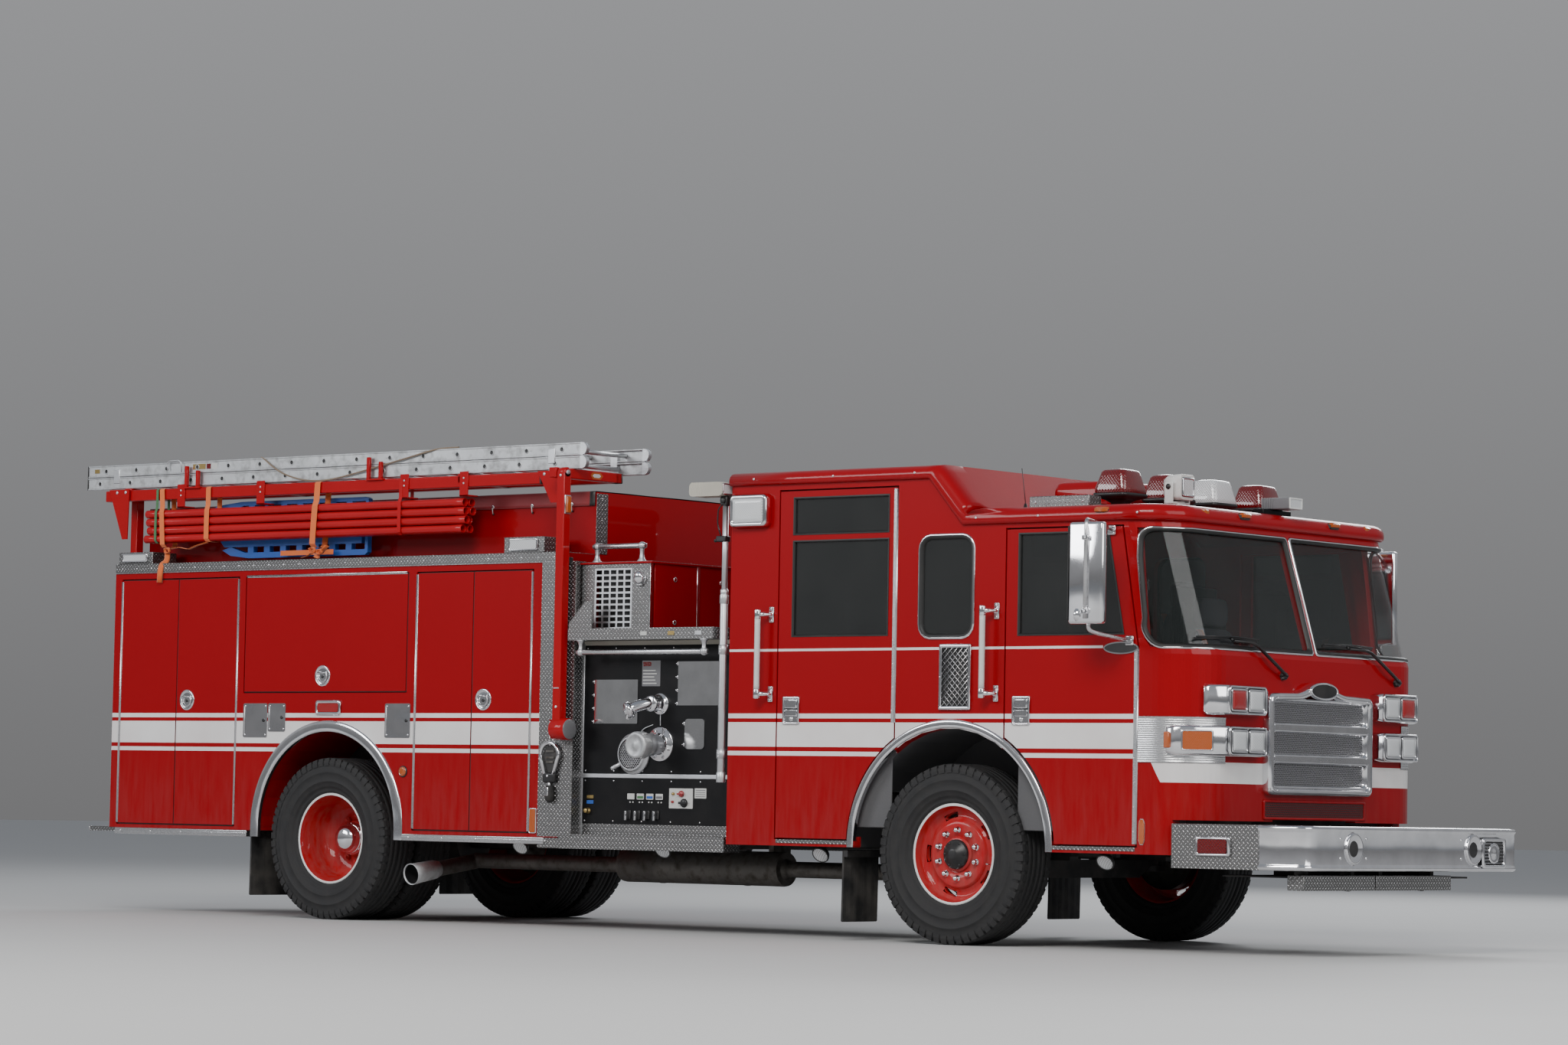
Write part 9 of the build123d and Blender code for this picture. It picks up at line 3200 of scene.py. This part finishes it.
@dataclass
class Seats:
    """The crew's seats: padded cushions, backs and headrests on plain pedestals, with their belts."""

    rows: tuple[tuple[float, int, tuple[float, ...], float, float], ...] = (
        (3.067, 1, (-0.700, 0.700), 0.940, 1.300), (2.987, -1, (-0.760, 0.760), 1.310, 1.404),
        (0.973, 1, (-0.800, 0.0, 0.800), 0.940, 1.300))

    def build(self) -> None:
        """Makes every seat."""
        stands = Form("seat_stands", "cab", Shop.panel_black, "seat_cloth")
        number = 0
        for back_x, facing, middles, floor, pad in self.rows:
            for y in middles:
                number += 1
                f = facing
                stands.wear(Shop.panel_black).box((back_x + f * 0.25, y - 0.225, floor),
                                                  (back_x + f * 0.47, y + 0.225, pad), 0.012, 2)
                stands.box((back_x + f * 0.004, y - 0.235, pad - 0.002),
                           (back_x + f * 0.485, y + 0.235, pad + 0.020), 0.008, 2)
                stands.box((back_x + f * 0.002, y - 0.232, pad + 0.03),
                           (back_x + f * 0.030, y + 0.232, pad + 0.790), 0.010, 2)
                cushion = Form(f"seat_{number}_cushion", "cab", Shop.seat, "seat_cloth")
                pillow(cushion, (back_x + f * 0.285, y, pad + 0.064), (0.205, 0.240, 0.045),
                       0.035, -3.0 * f, 0.12)
                cushion.done()
                back = Form(f"seat_{number}_back", "cab", Shop.seat, "seat_cloth")
                pillow(back, (back_x + f * 0.066, y, pad + 0.370), (0.040, 0.236, 0.265), 0.030, 0.0, 0.0)
                pillow(back, (back_x + f * 0.066, y, pad + 0.735), (0.038, 0.150, 0.085), 0.030, 0.0, 0.0)
                back.done()
                belt = [(back_x + f * 0.114, y - 0.19, pad + 0.62), (back_x + f * 0.117, y, pad + 0.36),
                        (back_x + f * 0.130, y + 0.20, pad + 0.135)]
                stands.wear(Shop.strap).tube(belt, 0.0016, 6, bend=0.1, flat=14.0)
        stands.done(["seats"])


@dataclass
class Dashboard:
    """The dash: a padded top, dials and switches, the wheel on its column and a console."""

    def build(self) -> None:
        """Makes it all."""
        form = Form("dashboard_dressed", "cab", Shop.grey, "grey_trim")
        section = [(4.284, 0.945), (4.284, 1.600), (4.262, 1.632), (4.150, 1.640), (4.020, 1.628),
                   (3.958, 1.606), (3.934, 1.570), (3.936, 1.500), (3.955, 1.440), (3.962, 1.200),
                   (4.055, 1.180), (4.060, 0.945)]
        rows = []
        for y in (-0.930, -0.926, -0.5, 0.0, 0.5, 0.926, 0.930):
            ease = 0.012 if abs(y) > 0.928 else 0.0
            rows.append([Vector((x + (ease if x < 4.1 else -ease), y, z - (ease if z > 1.3 else -ease)))
                         for x, z in section])
        form.wear(Shop.panel_black).loft(rows, caps=True, smooth=False)
        form.wear(Shop.grey)
        pillow(form, (4.110, 0.0, 1.628), (0.150, 0.905, 0.020), 0.0)
        face = facing_back(3.9345, 0.70, 1.520)
        form.wear(Shop.panel_black).slab(face, rounded((-0.200, -0.070), (0.200, 0.075), 0.020, 4),
                                         -0.010, 0.006, 0.003)
        for u, v, r in ((-0.135, 0.010, 0.048), (-0.030, 0.012, 0.048), (0.060, 0.030, 0.028),
                        (0.125, 0.030, 0.028), (0.060, -0.035, 0.028), (0.125, -0.035, 0.028)):
            centre = face.at(u, v, 0.004)
            form.turned(tuple(centre), tuple(face.out),
                        (Shop.chrome, 24, [(r, 0), (r, 0.006), (r - 0.004, 0.007), (r - 0.005, 0.003)]),
                        (Shop.plate_white, 24, [(r - 0.005, 0.003), (0, 0.003)]))
            foot = centre + face.out * 0.005
            tip = foot + Vector((0, 0.4, 0.8)).normalized() * r * 0.7
            form.wear(Shop.red_lens).rod(tuple(foot), tuple(tip), 0.0012, 5)
        for k in range(10):
            form.wear(Shop.black).box((3.930, -0.34 + 0.055 * k, 1.500),
                                      (3.946, -0.305 + 0.055 * k, 1.545), 0.003, 2)
        form.wear(Shop.panel_black).box((3.932, -0.200, 1.340), (3.965, 0.220, 1.470), 0.006, 2)
        centre, axis = Vector((3.790, 0.700, 1.590)), Vector((-180, 0, 160)).normalized()
        u, v, w = frame_of(tuple(axis))
        rim = [centre + (u * math.cos(t) + v * math.sin(t)) * 0.216
               for t in (math.tau * k / 48 for k in range(49))]
        form.wear(Shop.black).tube(rim, 0.0135, 10, caps=False)
        for turn in (90, 210, 330):
            t = math.radians(turn)
            way = u * math.cos(t) + v * math.sin(t)
            form.tube([centre + way * 0.035 - w * 0.006, centre + way * 0.12 - w * 0.012,
                       centre + way * 0.212], 0.008, 8, bend=0.05, flat=1.6)
        form.lathe(tuple(centre - w * 0.012), tuple(axis),
                   [(0.0, -0.028), (0.046, -0.024), (0.058, -0.004), (0.050, 0.012), (0.0, 0.020)], 28)
        form.wear(Shop.grey).rod(tuple(centre), (3.960, 0.700, 1.440), 0.030, 20)
        form.done(["dashboard"])


@dataclass
class HoseBedCover:
    """The red vinyl cover drawn tight over the hose bed, with its hem, black front edge and elastic loops."""

    half: float = 0.948
    top: float = 2.7866
    skirt: float = 0.096
    length: float = 4.155
    bend: float = 0.010
    thickness: float = 0.0016

    def at(self, x: float, s: float, off: float) -> Vector:
        """A point of the cover by its station and its distance across the cloth from the middle."""
        side, d = (1 if s >= 0 else -1), abs(s)
        sag = 0.010 * math.sin(math.pi * min(1.0,
                                             (x - BODY_REAR) / self.length)) * (1 - min(1.0, d / 0.86) ** 2)
        ripple = 0.0016 * math.sin(x * 9.0 + d * 3.0) * math.sin(d * 6.5 + 0.7) * min(1.0,
            max(0.0, (0.90 - d) / 0.2))
        bend = self.bend
        if d <= self.half - bend:
            return Vector((x, side * d, self.top - sag + ripple - off))
        turn = (d - (self.half - bend)) / bend
        if turn < math.pi / 2:
            reach = bend - off
            return Vector((x, side * (self.half - bend + reach * math.sin(turn)),
                           self.top - bend + reach * math.cos(turn)))
        fall = d - (self.half - bend) - bend * math.pi / 2
        flutter = 0.0022 * math.sin(x * 14.0 + 0.9 * side) * fall / self.skirt
        return Vector((x, side * (self.half - off + 0.001 + abs(flutter)), self.top - bend - fall))

    def build(self) -> None:
        """Makes the cover as one closed thin sheet, then its loops."""
        form = Form("hose_bed_cover_sheet", "chassis", Shop.vinyl, "red_vinyl")
        reach = self.half - 0.010 + 0.0157 + self.skirt - 0.012
        rows = 90
        xs = [BODY_REAR + 0.002 + (self.length - 0.004) * k / rows for k in range(rows + 1)]
        drop = reach - 0.954
        fold = [0.936, 0.940, 0.944, 0.948, 0.951, 0.954]
        cross = [-reach + drop * k / 4 for k in range(4)] + [-s for s in fold[::-1]]
        cross += [-0.92 + 1.84 * k / 36 for k in range(37)]
        cross += fold + [0.954 + drop * (k + 1) / 4 for k in range(4)]
        form.loft([[self.at(x, s, 0.0) for s in cross] + [self.at(x, s, self.thickness) for s in cross[::-1]]
                   for x in xs], caps=True)
        form.mesh.faces.ensure_lookup_table()
        form.finishes.append(Shop.black)
        for face in form.mesh.faces:
            if face.calc_center_median().x > BODY_FRONT - 0.045:
                face.material_index = 1
        cover = form.done(["hose_bed_cover"])
        trim = Form("hose_bed_trim", "chassis", Shop.stainless, "bright_steel")
        for s in (-1, 1):
            for k in range(12):
                x = BODY_REAR + 0.16 + 0.345 * k
                trim.wear(Shop.chrome).lathe((x, s * (self.half + 0.004), self.top - 0.080), (0, s, 0),
                                             [(0.013, -0.002), (0.013, 0.001), (0.008, 0.0035),
                                              (0.0045, 0.002), (0.0, 0.002)], 16)
                trim.wear(Shop.black).box((x - 0.006, s * 0.941, 2.655),
                                          (x + 0.006, s * 0.9500, 2.668), 0.002)
                trim.wear(Shop.white_plastic).tube([(x, s * 0.9560, self.top - 0.082),
                                                    (x + 0.005, s * 0.9585, self.top - 0.105),
                                                    (x, s * 0.9500, 2.662)], 0.0032, 6, bend=0.02)
            trim.wear(Shop.tread).box((BODY_FRONT + 0.0005, s * 0.938, 2.384),
                                      (BODY_FRONT + 0.0045, s * 0.830, 2.770), 0.001)
            for z in (2.45, 2.60, 2.74):
                trim.wear(Shop.stainless).bolt((BODY_FRONT + 0.0045, s * 0.884, z), X_AXIS, 0.006, 0.003)
        trim.done()


@dataclass
class Underside:
    """What shows under the body: ground lamps, the silencer, the tail pipe's tip and the mud flaps."""

    def ground_lamp(self, form: Form, x: float, side: int) -> None:
        """Adds one round lamp that lights the ground below a door."""
        at = Vector((x, side * 1.130, 0.508))
        way = Vector((0.10, side * 0.72, -0.55)).normalized()
        form.turned(tuple(at), tuple(way),
                    (Shop.black, 28, [(0.0, -0.055), (0.024, -0.052), (0.050, -0.020), (0.056, 0.000),
                                      (0.054, 0.006), (0.048, 0.006)]),
                    (Shop.clear_lens, 28, [(0.049, 0.004), (0.040, 0.009), (0.020, 0.012), (0.0, 0.013)]))
        form.wear(Shop.iron).box((x - 0.015, side * 1.080, 0.530), (x + 0.015, side * 1.130, 0.585), 0.003)

    def build(self) -> None:
        """Makes it all."""
        for name, body, places in (("ground_lamps", "chassis", (-0.900, 0.300)),
                                   ("cab_ground_lamps", "cab", (1.560, 3.660))):
            lamps = Form(name, body, Shop.black, "black_plastic")
            for side in (-1, 1):
                for x in places:
                    self.ground_lamp(lamps, x, side)
            lamps.done()
        form = Form("silencer_and_tip", "chassis", Shop.iron, "engine_paint")
        rear, front = PUMP_REAR - 0.002, 0.860
        long = front - rear
        band = ((0.1075, 0.0), (0.110, 0.006), (0.110, 0.030), (0.1075, 0.036))
        bands = [(r, at + d) for at in (0.30, 1.00) for r, d in band]
        ends = [(0.108, long - 0.02), (0.100, long - 0.008), (0.054, long), (0.052, long + 0.03)]
        form.lathe((rear, -0.590, 0.405), X_AXIS,
                   [(0.052, -0.03), (0.054, 0.0), (0.100, 0.010), (0.108, 0.022)] + bands + ends, 36)
        form.turned((-1.796, -0.985, 0.3445), (0, -1, -0.145),
                    (Shop.weathered, 32,
                     [(0.0, -0.03), (0.054, -0.03), (0.062, 0.0), (0.066, 0.12), (0.070, 0.215),
                      (0.0665, 0.217), (0.063, 0.205)]),
                    (Shop.black, 32, [(0.063, 0.205), (0.058, 0.05), (0.0, 0.05)]))
        for x in (-0.35, 0.42, 0.74):
            form.wear(Shop.iron).tube([(x, -0.470, 0.52), (x, -0.590, 0.52), (x, -0.704, 0.405),
                                       (x, -0.590, 0.290), (x, -0.478, 0.405)], 0.006, 8, bend=0.10, flat=2.2)
        form.done()
        flaps = Form("mud_flaps_dressed", "chassis", Shop.rubber, "rubber_black")
        for side in (-1, 1):
            for x, y0, y1, z0, z1 in ((-3.266, 0.622, 1.218, 0.142, 0.574),
                                      (1.804, 0.882, 1.218, 0.112, 0.540)):
                half = 0.0058
                rows = []
                for z in (z0, z0 + 0.006, z0 + (z1 - z0) * 0.33, z0 + (z1 - z0) * 0.66, z1):
                    ease = 0.008 if z == z0 else 0.0
                    curl = 0.004 * (1 - (z - z0) / (z1 - z0)) ** 2
                    ys = [y0 + ease + (y1 - y0 - 2 * ease) * k / 10 for k in range(11)]
                    front_row = [Vector((x + half - curl + 0.0012 * math.cos(k * math.pi), side * y, z))
                                 for k, y in enumerate(ys)]
                    back_row = [Vector((x - half - curl, side * y, z)) for y in ys]
                    rows.append(front_row + back_row[::-1])
                flaps.wear(Shop.rubber).loft(rows, caps=True, smooth=False)
                flaps.wear(Shop.stainless).box((x - half - 0.004, side * (y0 + 0.01), z1 - 0.050),
                                               (x - half, side * (y1 - 0.01), z1 - 0.010), 0.002)
                for k in range(4):
                    y = y0 + 0.05 + (y1 - y0 - 0.1) * k / 3
                    flaps.wear(Shop.chrome).bolt((x - half - 0.004, side * y, z1 - 0.030),
                                                 (-1, 0, 0), 0.008, 0.006)
        flaps.done(["mud_flaps"])


@dataclass
class RearFace:
    """The rear: stacked lamps, tread plate, hand rails and the tailboard's top, all of it guessed."""

    def build(self) -> None:
        """Makes it all."""
        form = Form("rear_face", "chassis", Shop.tread, "aluminium")
        back = BODY_REAR
        for s in (-1, 1):
            form.wear(Shop.tread).box((back - 0.004, s * 0.570, 0.640),
                                      (back - 0.0005, s * 1.235, 1.130), 0.001)
            form.wear(Shop.stainless).box((back - 0.005, s * 1.222, 0.600),
                                          (back - 0.0005, s * 1.243, 2.372), 0.001)
            face = facing_back(back, s * 1.130, 0.0)
            outer, inner = rounded((-0.085, 0.700), (0.085, 1.230), 0.020, 4), rounded((-0.070, 0.716),
                (0.070, 1.214), 0.014, 4)
            form.wear(Shop.chrome).ring(face, outer, inner, 0.0, 0.024, 0.004)
            for low, lens in ((0.722, Shop.clear_lens), (0.888, Shop.amber_lens), (1.054, Shop.red_lens)):
                form.wear(lens).slab(face, rounded((-0.066, low), (0.066, low + 0.154), 0.014, 4), 0.002,
                                     0.028, 0.010, 3)
            form.framed(face, rounded((-0.080, 2.080), (0.080, 2.240), 0.020, 4),
                        rounded((-0.066, 2.094), (0.066, 2.226), 0.014, 4),
                        (0.0, 0.022, 0.004), Shop.deep_red_lens, (0.002, 0.030, 0.012, 3))
            grab(form, (back - 0.075, s * 0.960, 1.330), (back - 0.075, s * 0.960, 2.020),
                 X_AXIS, 0.016, 0.075)
            form.wear(Shop.amber_lens).lathe((back, s * 0.840, 2.300), (-1, 0, 0),
                                             [(0.030, 0), (0.030, 0.008), (0.020, 0.014), (0, 0.015)], 20)
        form.wear(Shop.tread).box((back - 0.203, -1.240, 0.5742), (back + 0.055, 1.240, 0.5785), 0.001)
        form.wear(Shop.stainless).box((back - 0.209, -1.243, 0.545), (back - 0.203, 1.243, 0.5785), 0.002)
        for k in range(7):
            y = -1.08 + 0.36 * k
            form.wear(Shop.deep_red_lens).lathe((back - 0.209, y, 0.561), (-1, 0, 0),
                                                [(0.011, 0), (0.011, 0.002), (0.0, 0.003)], 14)
        form.done()


@dataclass
class Valance:
    """The perforated panel between the bumper's deck and the grille."""

    def build(self) -> None:
        """Makes the panel and its frame."""
        form = Form("front_valance", "cab", Shop.red, "red_paint")
        plane = facing_ahead(CAB_FRONT, 0, 0)
        outer, inner = rounded((-0.548, 0.768), (0.548, 0.884), 0.012, 3), rounded((-0.530, 0.784),
            (0.530, 0.868), 0.008, 3)
        form.framed(plane, outer, inner, (0.0, 0.006, 0.001), Shop.dark_mesh, (0.0, 0.003), Shop.red)
        form.done()


# List of the parts

SUBASSEMBLIES: tuple[Any, ...] = (
    Wheels(),
    Windscreen(),
    Grille(),
    LampCluster(Side.RIGHT),
    LampCluster(Side.LEFT),
    Bumper(),
    BodySide(Side.RIGHT),
    BodySide(Side.LEFT),
    *body_doors(),
    SpannerHolder(),
    PumpPanel(Side.RIGHT),
    PumpPanel(Side.LEFT),
    CrosslayBox(),
    Floodlight(),
    Ladders(),
    Rack(),
    StrappedHoses(),
    CabRoof(),
    CabBack(),
    RoofGear(),
    CabFlank(Side.RIGHT),
    CabFlank(Side.LEFT),
    *(CabDoor(side, kind) for side in Side for kind in ("crew", "front")),
    Mirror(Side.RIGHT),
    Mirror(Side.LEFT),
    Seats(),
    Dashboard(),
    HoseBedCover(),
    Underside(),
    RearFace(),
    Valance(),
)


# Main


@dataclass
class Vehicle:
    """The whole pumper: its carried-over nodes and its dressed sub-assemblies."""

    frame: dict[str, Any]

    def dress_nodes(self) -> None:
        """Gives every carried-over node the finish of its own material."""
        plan: dict[Finish, tuple[str, ...]] = {
            Shop.red: ("body_compartments", "cab_sides"),
            Shop.nose_red: ("cab_nose",),
            Shop.plain_red: ("cab_roof", "hose_bed", "pump_top_box"),
            Shop.chassis: ("chassis_frame", "axles", "right_knuckle", "left_knuckle"),
            Shop.iron: ("engine_and_exhaust",),
            Shop.chrome: ("front_bumper", "cab_trim", "grille", "lamp_clusters", "pump_fittings",
                          "right_mirror", "left_mirror"),
            Shop.stainless: ("body_trim", "floodlight"),
            Shop.tread: ("pump_module",),
            Shop.rubber: ("mud_flaps",),
            Shop.vinyl: ("hose_bed_cover",),
            Shop.grey: ("cab_tub", "dashboard"),
            Shop.seat: ("seats",),
            Shop.deep_red_lens: ("roof_beacons",),
            Shop.rack_red: ("rack_front_arm", "rack_rear_arm", "rack_frame"),
            Shop.weathered: ("ladders",),
            Shop.pipe_red: ("pipes",),
            Shop.blue: ("backboard",),
            Shop.screen: ("cab_glass",),
        }
        for finish, nodes in plan.items():
            for node in nodes:
                dress(self.frame, node, finish)
        for side in Side:
            w = side.word
            for node in ("front_door", "crew_door", "front_door_a", "front_door_b", "lift_door",
                         "rear_door_a", "rear_door_b"):
                dress(self.frame, f"{w}_{node}", Shop.red)
            for node in ("front_door_glass", "crew_door_glass"):
                dress(self.frame, f"{w}_{node}", Shop.tinted)
            for node in ("front_tyre", "rear_tyres"):
                dress(self.frame, f"{w}_{node}", Shop.tyre)
            for node in ("front_wheel", "rear_wheels"):
                dress(self.frame, f"{w}_{node}", Shop.wheel_red)

    def build(self) -> None:
        """Builds and reports every sub-assembly in order."""
        self.dress_nodes()
        for part in SUBASSEMBLIES:
            log.info("building %s", type(part).__name__)
            part.build()


def main() -> None:
    """Loads the frame, builds the vehicle on it and sets the studio round it."""
    logging.basicConfig(level=logging.INFO, format="%(name)s %(message)s")
    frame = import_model()
    Studio().build()
    Vehicle(frame).build()


if __name__ == "__main__":
    main()
